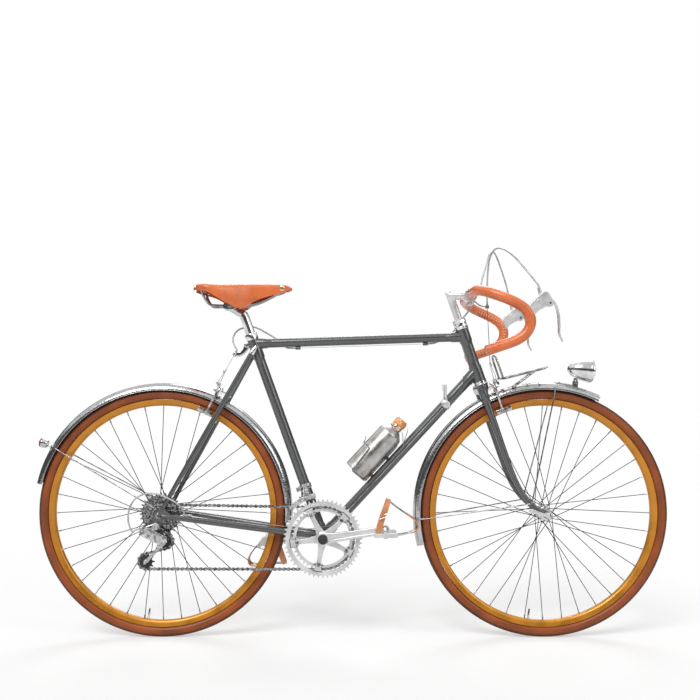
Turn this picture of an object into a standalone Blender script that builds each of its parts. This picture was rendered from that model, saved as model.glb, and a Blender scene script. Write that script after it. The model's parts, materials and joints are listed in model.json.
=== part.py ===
"""A touring bicycle with drop bars, mudguards, toe clips and a bottle.

The bicycle points along +X, its drive side faces -Y and +Z is up. The origin lies on the
ground, half way along the bicycle. Every length is in metres, written in millimetres
times MM. A joint's empty stands on the axis that its pieces turn or slide on.
"""

import math

import bmesh
import bpy
from mathutils import Matrix, Vector

MM = 0.001
GAP = 0.3 * MM
WELD = 0.004 * MM

# Wheels: the rims lead, and what clears them follows
RIM_RADIUS = 317 * MM
RIM_INNER_RADIUS = RIM_RADIUS - 18 * MM
RIM_WIDTH = 24 * MM
RIM_WALL = 1.4 * MM
TYRE_HEIGHT = 28 * MM
TYRE_RADIUS = RIM_RADIUS + TYRE_HEIGHT
TYRE_WIDTH = 34 * MM
TYRE_WALL = 3.2 * MM
SPOKE_COUNT = 36
SPOKE_RADIUS = 1.3 * MM
WHEEL_FACETS = 32
AXLE_RADIUS = 4.8 * MM
LOCKNUT_RADIUS = 8.5 * MM
FRONT_FLANGE_RADIUS = 21 * MM
REAR_FLANGE_RADIUS = 22 * MM
REAR_FLANGE_RIGHT_Y = -23.5 * MM
REAR_FLANGE_LEFT_Y = 36 * MM
HUB_BOSS_END = -44 * MM
FRONT_SPACING = 100 * MM
REAR_SPACING = 126 * MM
FORK_END_THICKNESS = 4 * MM
FRONT_AXLE_REACH = FRONT_SPACING / 2 + FORK_END_THICKNESS + GAP + 6.5 * MM
CAM_RADIUS = 5.5 * MM

# Frame: driving dimensions
BB_X = -78.75 * MM
BB_DROP = 65 * MM
CHAINSTAY_LENGTH = TYRE_RADIUS + 107 * MM
FRONT_CENTRE = TYRE_RADIUS + 268.5 * MM
SEAT_ANGLE = math.radians(70.2)
HEAD_ANGLE = math.radians(71.0)
SEAT_TUBE_LENGTH = 600 * MM
TOP_TUBE_AT_SEAT = SEAT_TUBE_LENGTH - 29 * MM
HEAD_TUBE_LENGTH = 153 * MM
TOP_TUBE_BELOW_HEAD_TOP = 22 * MM
DOWN_TUBE_ABOVE_HEAD_BOTTOM = 30 * MM
HEAD_TUBE_RADIUS = 15.9 * MM
TOP_TUBE_RADIUS = 12.7 * MM
MAIN_TUBE_RADIUS = 14.3 * MM
TUBE_WALL = 0.9 * MM
LUG_THICKNESS = 2.2 * MM
LUG_LENGTH = 30 * MM
HEAD_CUT_RADIUS = HEAD_TUBE_RADIUS + LUG_THICKNESS
SEAT_CUT_RADIUS = MAIN_TUBE_RADIUS + LUG_THICKNESS
SHELL_RADIUS = 20 * MM
SHELL_WIDTH = 68 * MM

# Stays and dropouts
STAY_WALL = 1.2 * MM
CHAINSTAY_RADIUS = 9 * MM
CHAINSTAY_TIP_RADIUS = 7 * MM
CHAINSTAY_TIP_AHEAD = 30 * MM
CHAINSTAY_TIP_BELOW = 4 * MM
CHAINSTAY_ROOT_Y = 23 * MM
CHAINSTAY_TAPER_AT = 190 * MM
BRIDGE_AT = 76 * MM
SEATSTAY_RADIUS = 7.5 * MM
SEATSTAY_TIP_RADIUS = 5.5 * MM
SEATSTAY_TOP_DROP = 25 * MM
SEATSTAY_TOP_BEHIND = 14 * MM
SEATSTAY_TOP_Y = 22.5 * MM
REAR_BRIDGE_AT = TYRE_RADIUS + 28 * MM
DROPOUT_THICKNESS = 4 * MM
DROPOUT_REACH = 22 * MM
HANGER_X = -4.6 * MM
HANGER_DROP = 28 * MM
STAY_EYELET = (-7 * MM, 18 * MM)
SHIFT_STOP_AT = 352 * MM

# Fork and headset
RAKE = 47.2 * MM
CROWN_TOP = TYRE_RADIUS + 47 * MM
CROWN_HEIGHT = 22 * MM
CROWN_DEPTH = 28 * MM
LOWER_RACE_HEIGHT = 13 * MM
RACE_RADIUS = 20.3 * MM
UPPER_STACK_HEIGHT = 28 * MM
STEERER_RADIUS = 12.7 * MM
STEERER_TOP = CROWN_TOP + LOWER_RACE_HEIGHT + HEAD_TUBE_LENGTH + 14 * MM
QUILL_RADIUS = 11.1 * MM
BLADE_SPREAD = 35 * MM
BLADE_RADIUS = 10 * MM
BLADE_TIP_RADIUS = 6 * MM
BLADE_SETBACK = 6 * MM
BLADE_CURVE_START = 200 * MM
BLADE_CURVE_POWER = 3.5
EYELET_AT = 44 * MM
EYELET_Y = 60 * MM

# Brakes: two arms on a plate each, in a plane ahead of or behind the tubes
BRAKE_PLATE_HALF = 37 * MM
BRAKE_PIVOT_HALF = 31 * MM
BRAKE_STUD_RADIUS = 3 * MM
REAR_PIVOT_RISE = -2 * MM
REAR_BRAKE_PLANE = 34 * MM
FRONT_PIVOT_AT = CROWN_TOP - 16 * MM
FRONT_BRAKE_PLANE = 34 * MM
CABLE_AHEAD_OF_ARMS = 9 * MM
PAD_RADIUS = RIM_RADIUS - 10 * MM
PAD_HALF_HEIGHT = 4 * MM

# Mudguards
MUDGUARD_WIDTH = 46 * MM
MUDGUARD_DEPTH = 19 * MM
MUDGUARD_THICKNESS = 1.0 * MM
FRONT_MUDGUARD_RADIUS = TYRE_RADIUS + 19 * MM
REAR_MUDGUARD_RADIUS = TYRE_RADIUS + 17 * MM
FRONT_MUDGUARD_ARC = (64.3, 194.4)
REAR_MUDGUARD_ARC = (-4.0, 167.8)
FRONT_MUDGUARD_SEGMENTS = 14
REAR_MUDGUARD_SEGMENTS = 18
MUDGUARD_FLATS = 5
FRONT_MUDGUARD_FACET = (FRONT_MUDGUARD_ARC[1] - FRONT_MUDGUARD_ARC[0]) / FRONT_MUDGUARD_SEGMENTS
FRONT_MUDGUARD_SAG = FRONT_MUDGUARD_RADIUS * (1 - math.cos(math.radians(FRONT_MUDGUARD_FACET / 2)))
STAY_WIRE_RADIUS = 2.2 * MM
FOOT_THICKNESS = 2.8 * MM

# Front rack and lamps
RACK_FOOT_ANGLE = 103.5
RACK_HALF = 52 * MM
RACK_REAR_BEHIND_AXLE = 116 * MM
RACK_REAR_ABOVE_AXLE = FRONT_MUDGUARD_RADIUS + 10 * MM
RACK_FRONT_BEHIND_AXLE = 4 * MM
RACK_FRONT_ABOVE_AXLE = FRONT_MUDGUARD_RADIUS + 38 * MM
RACK_BACKSTOP_RISE = 50 * MM
LAMP_BOLT_ANGLE = 84
LAMP_FOOT_ANGLE = 75.5
LAMP_TILT = math.radians(-7)
LAMP_LENGTH = 69 * MM
LAMP_RADIUS = 31 * MM
REAR_LAMP_ANGLE = 149.5

# Drive
CHAIN_PITCH = 12.7 * MM
CHAIN_HALF_WIDTH = 3.7 * MM
CHAIN_HALF_GROOVE = 2.3 * MM
CHAIN_HALF_HEIGHT = 4.2 * MM
CHAIN_WEB = 4.1 * MM
TOOTH_TIP = 3.3 * MM
TOOTH_ROOT = 3.7 * MM
COG_TEETH = (14, 17, 20, 24, 28)
COG_SPACING = 5.6 * MM
COG_THICKNESS = 1.8 * MM
SMALL_COG_Y = -54 * MM
FREEWHEEL_BORE = 17.1 * MM
FREEWHEEL_BODY = 23.5 * MM
INNER_RING_TEETH = 42
OUTER_RING_TEETH = 52
INNER_RING_Y = -44.5 * MM
OUTER_RING_Y = -51.8 * MM
RING_THICKNESS = 1.8 * MM
RING_BOLT_RADIUS = 72 * MM
SPIDER_REACH = 78 * MM
SPIDER_THICKNESS = 3.6 * MM
CRANK_LENGTH = 170 * MM
CRANK_ANGLE = math.radians(8.5)
CRANK_INNER_Y = 57 * MM
CRANK_THICKNESS = 12 * MM
CRANK_BOSS_RADIUS = 18 * MM
CRANK_TIP_RADIUS = 14 * MM
AXLE_SHAFT_RADIUS = 8.5 * MM
JOCKEY_TEETH = 10
JOCKEY_THICKNESS = 2.2 * MM
UPPER_JOCKEY = (16.2 * MM, -71 * MM)
LOWER_JOCKEY = (-36.2 * MM, -127 * MM)
HEEL = (-36 * MM, -79 * MM, -12 * MM)
SHIFTER_AT = 502 * MM
SHIFTER_BOSS_Y = 18.5 * MM

# Pedals and toe clips
PEDAL_INNER_Y = 85 * MM
PEDAL_OUTER_Y = 170 * MM
PEDAL_HALF_LENGTH = 30 * MM
PEDAL_PLATE = 2.5 * MM
PEDAL_PLATE_HEIGHT = 11 * MM
PEDAL_BARREL_RADIUS = 8 * MM
SPINDLE_RADIUS = 4.6 * MM
LEFT_PEDAL_TURN = math.radians(140)

# Saddle and seat post
BINDER_AT = SEAT_TUBE_LENGTH - 26 * MM
BINDER_BEHIND = 8 * MM
POST_RADIUS = 13.1 * MM
POST_TOP = SEAT_TUBE_LENGTH + 64 * MM
POST_BOTTOM = SEAT_TUBE_LENGTH - 130 * MM
SADDLE_LENGTH = 276 * MM
SADDLE_WIDTH = 160 * MM
SADDLE_WALL = 5 * MM
SADDLE_NOSE_AHEAD = 137 * MM
SADDLE_TOP_ABOVE = 81 * MM
RAIL_RADIUS = 3.5 * MM
RAIL_SPREAD = 22 * MM

# Bars, stem and levers
BAR_RADIUS = 11.9 * MM
BAR_SLEEVE_RADIUS = 12.7 * MM
COVER_THICKNESS = 1.9 * MM
COVER_RADIUS = BAR_RADIUS + GAP * 1.4 + COVER_THICKNESS
STEM_REACH = 56.5 * MM
STEM_RISE = CROWN_TOP + LOWER_RACE_HEIGHT + HEAD_TUBE_LENGTH + 104 * MM
STEM_DROP = 4.7 * MM
STEM_CLAMP_HALF = 20 * MM
LEVER_SPREAD = 198 * MM

# Cables and their stops
HOUSING_RADIUS = 2.5 * MM
HOUSING_BORE = 3.15 * MM
CABLE_STOP_RADIUS = 4.4 * MM
CABLE_STOP_DROP = 16.2 * MM
CABLE_STOP_LENGTH = 14 * MM
REAR_STOP_AT = 122 * MM
FRONT_STOP_AT = 478 * MM
HANGER_STOP_RISE = TYRE_RADIUS + 138 * MM

# Bottle and cage
CAGE_FEET_AT = (216 * MM, 280 * MM)
CAGE_BOSS_HEIGHT = 16.5 * MM
BOTTLE_OFFSET = 56.4 * MM
BOTTLE_AT = 193.5 * MM
BOTTLE_RADIUS = 35.7 * MM
CAGE_WIRE = 2.4 * MM
CAGE_FLOOR = CAGE_WIRE * math.cos(math.pi / 4) + 2 * GAP


def vec(x, y, z):
    return Vector((x, y, z))


# Places worked out from the driving dimensions
BB = vec(BB_X, 0, TYRE_RADIUS - BB_DROP)
REAR_AXLE = BB + vec(-math.sqrt(CHAINSTAY_LENGTH ** 2 - BB_DROP ** 2), 0, BB_DROP)
FRONT_AXLE = BB + vec(FRONT_CENTRE, 0, BB_DROP)
SIDE = vec(0, 1, 0)
SEAT_UP = vec(-math.cos(SEAT_ANGLE), 0, math.sin(SEAT_ANGLE))
SEAT_AHEAD = vec(math.sin(SEAT_ANGLE), 0, math.cos(SEAT_ANGLE))
STEER_UP = vec(-math.cos(HEAD_ANGLE), 0, math.sin(HEAD_ANGLE))
STEER_AHEAD = vec(math.sin(HEAD_ANGLE), 0, math.cos(HEAD_ANGLE))
STEER_FOOT = FRONT_AXLE - STEER_AHEAD * RAKE
HEAD_BOTTOM = CROWN_TOP + LOWER_RACE_HEIGHT
HEAD_TOP = HEAD_BOTTOM + HEAD_TUBE_LENGTH
STACK_TOP = HEAD_TOP + UPPER_STACK_HEIGHT


def on_seat(distance):
    """A point on the seat tube's axis, this far from the bottom bracket."""
    return BB + SEAT_UP * distance


def on_steer(distance, ahead=0.0, side=0.0):
    """A point this far up the steering axis, ahead of it and to its left."""
    return STEER_FOOT + STEER_UP * distance + STEER_AHEAD * ahead + SIDE * side


TOP_TUBE_REAR = on_seat(TOP_TUBE_AT_SEAT)
TOP_TUBE_FRONT = on_steer(HEAD_TOP - TOP_TUBE_BELOW_HEAD_TOP)
DOWN_TUBE_FRONT = on_steer(HEAD_BOTTOM + DOWN_TUBE_ABOVE_HEAD_BOTTOM)
DOWN_DIR = (DOWN_TUBE_FRONT - BB).normalized()
DOWN_OVER = vec(-DOWN_DIR.z, 0, DOWN_DIR.x)
TOP_DIR = (TOP_TUBE_FRONT - TOP_TUBE_REAR).normalized()
TOP_OVER = vec(-TOP_DIR.z, 0, TOP_DIR.x)
STAY_Y = REAR_SPACING / 2 + DROPOUT_THICKNESS / 2
SEATSTAY_TOP = on_seat(TOP_TUBE_AT_SEAT - SEATSTAY_TOP_DROP) - SEAT_AHEAD * SEATSTAY_TOP_BEHIND
STAY_UP = vec(SEATSTAY_TOP.x - REAR_AXLE.x, 0, SEATSTAY_TOP.z - REAR_AXLE.z).normalized()
STAY_BACK = vec(-STAY_UP.z, 0, STAY_UP.x)
HANGER_STOP = REAR_AXLE + STAY_UP * HANGER_STOP_RISE + STAY_BACK * (REAR_BRAKE_PLANE + CABLE_AHEAD_OF_ARMS)
CAM_CENTRE = FRONT_AXLE - SIDE * (FRONT_AXLE_REACH + GAP + CAM_RADIUS)
STEM_TOP = on_steer(STEM_RISE)
BAR_CENTRE = STEM_TOP + vec(STEM_REACH, 0, -STEM_DROP)
FRONT_STOP = BAR_CENTRE + vec(48 * MM, 0, -31 * MM)
LEVER_PIVOT = BAR_CENTRE + vec(178.5 * MM, 0, -42.5 * MM)
REAR_PIVOT_CENTRE = REAR_AXLE + STAY_UP * (REAR_BRIDGE_AT + REAR_PIVOT_RISE) + STAY_BACK * REAR_BRAKE_PLANE
FRONT_PIVOT_CENTRE = on_steer(FRONT_PIVOT_AT, FRONT_BRAKE_PLANE)
SADDLE_CLAMP = on_seat(POST_TOP) + vec(-34 * MM, 0, 17 * MM)


# Shape helpers: each returns a mesh in world coordinates
def finished(bm):
    bmesh.ops.remove_doubles(bm, verts=bm.verts, dist=1e-7)
    bmesh.ops.recalc_face_normals(bm, faces=bm.faces)
    mesh = bpy.data.meshes.new("shape")
    bm.to_mesh(mesh)
    bm.free()
    return mesh


def path_frames(points, closed, up):
    """A direction and two square directions at each point, turned as little as can be."""
    count = len(points)
    frames = []
    normal = up.normalized()
    for i in range(count):
        before = points[i - 1] if (i > 0 or closed) else points[i]
        after = points[(i + 1) % count] if (i < count - 1 or closed) else points[i]
        along = (after - before).normalized()
        normal = (normal - along * normal.dot(along)).normalized()
        frames.append((along, normal, along.cross(normal)))
    return frames


def loft(rings, closed):
    """Joins rings of points into a tube, with flat ends unless the tube closes on itself."""
    bm = bmesh.new()
    rows = [[bm.verts.new(p) for p in ring] for ring in rings]
    count = len(rows)
    sides = len(rows[0])
    last = count if closed else count - 1
    for i in range(last):
        here = rows[i]
        there = rows[(i + 1) % count]
        for j in range(sides):
            k = (j + 1) % sides
            bm.faces.new((here[j], here[k], there[k], there[j]))
    if not closed:
        bm.faces.new(rows[0])
        bm.faces.new(rows[-1])
    return finished(bm)


def sweep(points, section, closed=False, up=SIDE):
    """Runs a section along a path. A section is points (across, over), or one list per point."""
    frames = path_frames(points, closed, up)
    rings = []
    for i, (point, frame) in enumerate(zip(points, frames)):
        shape = section[i] if isinstance(section[0], list) else section
        rings.append([point + frame[1] * a + frame[2] * b for a, b in shape])
    return loft(rings, closed)


def circle(radius, sides, flat=1.0, turn=0.5):
    step = 2 * math.pi / sides
    return [
        (radius * math.cos(step * (i + turn)), radius * flat * math.sin(step * (i + turn)))
        for i in range(sides)
    ]


def tube(points, radius, sides=8, closed=False, up=SIDE):
    """A round bar along a path; radius is one number, or one for each point."""
    if isinstance(radius, (list, tuple)):
        return sweep(points, [circle(r, sides) for r in radius], closed, up)
    return sweep(points, circle(radius, sides), closed, up)


def rod(start, end, radius, sides=8, end_radius=None, up=SIDE):
    """A straight bar that may taper."""
    radii = [radius, radius if end_radius is None else end_radius]
    if abs((end - start).normalized().dot(up)) > 0.9:
        up = vec(1, 0, 0)
    return tube([start, end], radii, sides, up=up)


def pipe(points, outer, inner, sides=8, up=SIDE):
    """A hollow bar along a path, open at both ends."""
    frames = path_frames(points, False, up)
    rings = []
    for radius, order in ((outer, 1), (inner, -1)):
        walk = list(zip(points, frames))[::order]
        for point, frame in walk:
            rings.append([point + frame[1] * a + frame[2] * b for a, b in circle(radius, sides)])
    return loft(rings, True)


def turned(profile, centre, axis, facets=24):
    """Turns an outline of (radius, distance along the axis) points about an axis."""
    axis = axis.normalized()
    across = axis.orthogonal().normalized()
    over = axis.cross(across)
    bm = bmesh.new()
    rows = []
    for i in range(facets):
        angle = 2 * math.pi * i / facets
        out = across * math.cos(angle) + over * math.sin(angle)
        rows.append([centre + out * r + axis * h for r, h in profile])
    grid = [[bm.verts.new(p) for p in row] for row in rows]
    count = len(profile)
    for i in range(facets):
        here = grid[i]
        there = grid[(i + 1) % facets]
        for j in range(count):
            k = (j + 1) % count
            if profile[j][0] == 0 and profile[k][0] == 0:
                continue
            if profile[j][0] == 0:
                bm.faces.new((here[j], here[k], there[k]))
            elif profile[k][0] == 0:
                bm.faces.new((here[j], here[k], there[j]))
            else:
                bm.faces.new((here[j], here[k], there[k], there[j]))
    return finished(bm)


def ring(centre, axis, inner, outer, start, end, facets=24):
    """A washer or sleeve between two distances along its axis."""
    outline = [(inner, start), (outer, start), (outer, end), (inner, end)]
    return turned(outline, centre, axis, facets)


def slab(outline, centre, across, over, start, end):
    """A flat plate: an outline in a plane, given thickness along the plane's normal."""
    normal = across.cross(over)
    rings = []
    for depth in (start, end):
        rings.append([centre + across * a + over * b + normal * depth for a, b in outline])
    return loft(rings, False)


def box(low, high):
    outline = [(low[0], low[1]), (high[0], low[1]), (high[0], high[1]), (low[0], high[1])]
    return slab(outline, vec(0, 0, 0), vec(1, 0, 0), vec(0, 1, 0), low[2], high[2])


def smooth_path(knots, steps):
    """Points on a smooth curve through the knots, with the same number between each two."""
    count = len(knots)
    points = []
    for i in range(count - 1):
        before = knots[i - 1] if i > 0 else knots[0] * 2 - knots[1]
        after = knots[i + 2] if i + 2 < count else knots[i + 1] * 2 - knots[i]
        a, b = knots[i], knots[i + 1]
        for j in range(steps):
            t = j / steps
            points.append(
                0.5 * (
                    2 * a
                    + (b - before) * t
                    + (2 * before - 5 * a + 4 * b - after) * t * t
                    + (3 * a - before - 3 * b + after) * t * t * t
                )
            )
    points.append(knots[-1].copy())
    return points


def turned_about(mesh, point, angle, axis=SIDE):
    copy = mesh.copy()
    move = Matrix.Translation(point)
    copy.transform(move @ Matrix.Rotation(angle, 4, axis) @ move.inverted())
    return copy


# Nodes, materials and joints
def material(name, colour, metallic, roughness):
    made = bpy.data.materials.new(name)
    made.use_nodes = True
    shader = made.node_tree.nodes["Principled BSDF"]
    shader.inputs["Base Color"].default_value = (*colour, 1)
    shader.inputs["Metallic"].default_value = metallic
    shader.inputs["Roughness"].default_value = roughness
    return made


def make_materials():
    return {
        "enamel": material("enamel", (0.10, 0.11, 0.12), 0.3, 0.35),
        "chrome": material("chrome", (0.80, 0.80, 0.81), 1.0, 0.12),
        "alloy": material("alloy", (0.72, 0.72, 0.73), 1.0, 0.28),
        "steel": material("steel", (0.32, 0.32, 0.33), 1.0, 0.35),
        "hammered": material("hammered", (0.74, 0.75, 0.76), 1.0, 0.2),
        "rim": material("rim", (0.62, 0.34, 0.12), 0.8, 0.3),
        "tyre": material("tyre", (0.26, 0.10, 0.05), 0.0, 0.75),
        "leather": material("leather", (0.80, 0.26, 0.09), 0.0, 0.45),
        "strap": material("strap", (0.50, 0.24, 0.10), 0.0, 0.6),
        "rubber": material("rubber", (0.03, 0.03, 0.03), 0.0, 0.8),
        "cable": material("cable", (0.62, 0.62, 0.62), 0.2, 0.4),
        "bottle": material("bottle", (0.62, 0.60, 0.58), 1.0, 0.35),
        "cap": material("cap", (0.55, 0.28, 0.12), 0.0, 0.5),
    }


def temporary(mesh):
    made = bpy.data.objects.new("piece", mesh)
    bpy.context.scene.collection.objects.link(made)
    return made


def joined(meshes, cuts=()):
    """One mesh from several that overlap, with the cuts taken out of it."""
    body = temporary(meshes[0])
    spare = [body]
    groups = []
    for operation, shapes in (("UNION", meshes[1:]), ("DIFFERENCE", cuts)):
        if not shapes:
            continue
        group = bpy.data.collections.new(operation)
        bpy.context.scene.collection.children.link(group)
        groups.append(group)
        for shape in shapes:
            other = bpy.data.objects.new("other", shape)
            group.objects.link(other)
            spare.append(other)
        change = body.modifiers.new(operation, "BOOLEAN")
        change.operation = operation
        change.operand_type = "COLLECTION"
        change.collection = group
        change.solver = "EXACT"
    graph = bpy.context.evaluated_depsgraph_get()
    result = bpy.data.meshes.new_from_object(body.evaluated_get(graph))
    for other in spare:
        bpy.data.objects.remove(other)
    for group in groups:
        bpy.data.collections.remove(group)
    tidy = bmesh.new()
    tidy.from_mesh(result)
    bmesh.ops.remove_doubles(tidy, verts=tidy.verts, dist=WELD)
    bmesh.ops.dissolve_degenerate(tidy, edges=tidy.edges, dist=WELD)
    bmesh.ops.dissolve_limit(tidy, angle_limit=math.radians(0.4), verts=tidy.verts, edges=tidy.edges)
    tidy.to_mesh(result)
    tidy.free()
    return result


EMPTIES = {}


def joint_empty(name, place, parent=None):
    """An empty on a joint's axis; the pieces that the joint moves hang from it."""
    made = bpy.data.objects.new(name, None)
    made.empty_display_size = 20 * MM
    bpy.context.scene.collection.objects.link(made)
    start = vec(0, 0, 0)
    if parent is not None:
        made.parent = EMPTIES[parent][0]
        start = EMPTIES[parent][1]
    made.location = place - start
    EMPTIES[name] = (made, place)


def node(name, finish, meshes, cuts=(), body=None):
    """Makes one named sub-part, with its origin on its body's joint."""
    mesh = joined(meshes, cuts) if (len(meshes) > 1 or cuts) else meshes[0]
    mesh.name = name
    made = bpy.data.objects.new(name, mesh)
    bpy.context.scene.collection.objects.link(made)
    if body is not None:
        empty, place = EMPTIES[body]
        mesh.transform(Matrix.Translation(-place))
        made.parent = empty
    mesh.materials.clear()
    mesh.materials.append(MATERIALS[finish])
    mesh.shade_smooth()
    mesh.set_sharp_from_angle(angle=math.radians(35))
    return made


# Frame
def lugged_tube(start, end, radius, lugs, facets=12):
    """A hollow tube with a thicker socket at each end where a lug's length is given."""
    length = (end - start).length
    collar = radius + LUG_THICKNESS
    first, second = lugs
    outline = [(radius - TUBE_WALL, 0)]
    if first:
        outline += [(collar, 0), (collar, first), (radius, first + LUG_LENGTH / 3)]
    else:
        outline += [(radius, 0)]
    if second:
        outline += [(radius, length - second - LUG_LENGTH / 3), (collar, length - second)]
        outline += [(collar, length)]
    else:
        outline += [(radius, length)]
    outline += [(radius - TUBE_WALL, length)]
    return turned(outline, start, end - start, facets)


def cutter(start, end, radius, facets=16):
    """A round hole's shape that leaves the running gap round a bar of this radius."""
    return rod(start, end, (radius + GAP) / math.cos(math.pi / facets), facets)


def make_head_tube():
    collar = HEAD_TUBE_RADIUS + LUG_THICKNESS
    bore = HEAD_TUBE_RADIUS - TUBE_WALL
    lower = DOWN_TUBE_ABOVE_HEAD_BOTTOM + LUG_LENGTH * 0.8
    upper = HEAD_TUBE_LENGTH - TOP_TUBE_BELOW_HEAD_TOP - LUG_LENGTH * 0.7
    slope = LUG_LENGTH / 5
    outline = [
        (bore, 0),
        (collar, 0),
        (collar, lower),
        (HEAD_TUBE_RADIUS, lower + slope),
        (HEAD_TUBE_RADIUS, upper - slope),
        (collar, upper),
        (collar, HEAD_TUBE_LENGTH),
        (bore, HEAD_TUBE_LENGTH),
    ]
    node("head_tube", "enamel", [turned(outline, on_steer(HEAD_BOTTOM), STEER_UP, 14)])


def make_main_tubes():
    head_cut = cutter(on_steer(HEAD_BOTTOM - LUG_LENGTH), on_steer(HEAD_TOP + LUG_LENGTH),
                      HEAD_CUT_RADIUS)
    race_cut = cutter(on_steer(HEAD_BOTTOM - LUG_LENGTH), on_steer(HEAD_BOTTOM + GAP), RACE_RADIUS)
    seat_cut = cutter(on_seat(0), on_seat(SEAT_TUBE_LENGTH + LUG_LENGTH), SEAT_CUT_RADIUS)
    shell_cut = cutter(BB - SIDE * SHELL_WIDTH, BB + SIDE * SHELL_WIDTH, SHELL_RADIUS, 20)

    body = lugged_tube(TOP_TUBE_REAR, TOP_TUBE_FRONT, TOP_TUBE_RADIUS,
                       (LUG_LENGTH + SEAT_CUT_RADIUS, LUG_LENGTH + HEAD_CUT_RADIUS))
    stops = []
    bores = []
    for place, taper in ((REAR_STOP_AT, 1), (FRONT_STOP_AT, -1)):
        mouth = top_stop(place)
        tail = mouth + TOP_DIR * taper * CABLE_STOP_LENGTH
        stops.append(rod(mouth, tail, CABLE_STOP_RADIUS, 8))
        bores.append(rod(mouth - TOP_DIR * taper * 5 * MM, tail + TOP_DIR * taper * 5 * MM,
                         HOUSING_BORE, 8))
    node("top_tube", "enamel", [body] + stops, [head_cut, seat_cut] + bores)

    body = lugged_tube(BB, DOWN_TUBE_FRONT, MAIN_TUBE_RADIUS,
                       (LUG_LENGTH + SHELL_RADIUS, LUG_LENGTH + HEAD_CUT_RADIUS))
    boss_at = BB + DOWN_DIR * SHIFTER_AT
    band = ring(boss_at, DOWN_DIR, MAIN_TUBE_RADIUS - TUBE_WALL / 2, MAIN_TUBE_RADIUS + 1.5 * MM,
                -6 * MM, 6 * MM, 12)
    bosses = []
    for side in (-1, 1):
        bosses.append(rod(boss_at + SIDE * side * 13 * MM, boss_at + SIDE * side * SHIFTER_BOSS_Y,
                          6 * MM, 8))
    for at in CAGE_FEET_AT:
        base = BB + DOWN_DIR * at
        bosses.append(rod(base + DOWN_OVER * 13 * MM, base + DOWN_OVER * CAGE_BOSS_HEIGHT, 5 * MM, 8))
    node("down_tube", "enamel", [body, band] + bosses, [head_cut, race_cut, shell_cut, seat_cut])


def top_stop(place):
    """The cable's line through a stop under the top tube, this far ahead of the seat tube."""
    return TOP_TUBE_REAR + TOP_DIR * place - TOP_OVER * CABLE_STOP_DROP


def make_seat_tube():
    collar = MAIN_TUBE_RADIUS + LUG_THICKNESS
    bore = POST_RADIUS + GAP
    start = SHELL_RADIUS - 4 * MM
    outline = [
        (bore, start),
        (collar, start),
        (collar, SHELL_RADIUS + LUG_LENGTH * 0.7),
        (MAIN_TUBE_RADIUS, SHELL_RADIUS + LUG_LENGTH),
        (MAIN_TUBE_RADIUS, TOP_TUBE_AT_SEAT - 62 * MM),
        (collar, TOP_TUBE_AT_SEAT - 54 * MM),
        (collar, SEAT_TUBE_LENGTH),
        (bore, SEAT_TUBE_LENGTH),
    ]
    body = turned(outline, BB, SEAT_UP, 14)
    shell_cut = cutter(BB - SIDE * SHELL_WIDTH, BB + SIDE * SHELL_WIDTH, SHELL_RADIUS, 20)
    bolt_at = on_seat(BINDER_AT) - SEAT_AHEAD * (collar + BINDER_BEHIND)
    shapes = [body]
    ear = [(-6 * MM, -6 * MM), (BINDER_BEHIND + MM, -6 * MM), (BINDER_BEHIND + MM, 6 * MM),
           (-6 * MM, 6 * MM)]
    for side in (-1, 1):
        start, end = sorted((side * 2 * MM, side * 8 * MM))
        shapes.append(slab(ear, bolt_at, SEAT_AHEAD, SEAT_UP, start, end))
    shapes.append(rod(bolt_at - SIDE * 13 * MM, bolt_at + SIDE * 13 * MM, 4 * MM, 8))
    shapes.append(sweep([bolt_at, HANGER_STOP + STAY_UP * 2 * MM + STAY_BACK * -3 * MM],
                        [(-5 * MM, -1.5 * MM), (5 * MM, -1.5 * MM), (5 * MM, 1.5 * MM),
                         (-5 * MM, 1.5 * MM)]))
    shapes.append(rod(HANGER_STOP - STAY_UP * 4 * MM, HANGER_STOP + STAY_UP * 5 * MM, 5.5 * MM, 8))
    eye_bore = rod(HANGER_STOP - STAY_UP * 8 * MM, HANGER_STOP + STAY_UP * 9 * MM, HOUSING_BORE, 8)
    node("seat_tube", "enamel", shapes, [shell_cut, eye_bore])


def make_bottom_bracket_shell():
    half = SHELL_WIDTH / 2
    bore = AXLE_SHAFT_RADIUS + GAP * 1.4
    cup = 9 * MM
    inside = SHELL_RADIUS - 3 * MM
    outline = [
        (bore, -half),
        (SHELL_RADIUS, -half),
        (SHELL_RADIUS, half),
        (bore, half),
        (bore, half - cup),
        (inside, half - cup),
        (inside, cup - half),
        (bore, cup - half),
    ]
    node("bottom_bracket_shell", "enamel", [turned(outline, BB, SIDE, 16)])


def stay_side(side):
    """A chainstay's path and the dropout plate for one side."""
    tip = REAR_AXLE + vec(CHAINSTAY_TIP_AHEAD, STAY_Y * side, -CHAINSTAY_TIP_BELOW)
    root = BB + vec(-SHELL_RADIUS * 0.6, CHAINSTAY_ROOT_Y * side, 4 * MM)
    return root, tip


def shift_stop():
    """The gear cable's stop above the right chainstay, and the direction that the stay runs."""
    root, tip = stay_side(-1)
    run = (tip - root).normalized()
    share = SHIFT_STOP_AT / (tip - root).length
    width = CHAINSTAY_RADIUS + (CHAINSTAY_TIP_RADIUS - CHAINSTAY_RADIUS) * max(share - 0.5, 0) * 2
    lift = (vec(0, 0, 1) - run * run.z).normalized()
    return root + run * SHIFT_STOP_AT + lift * (width + 3.0 * MM), run


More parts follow.
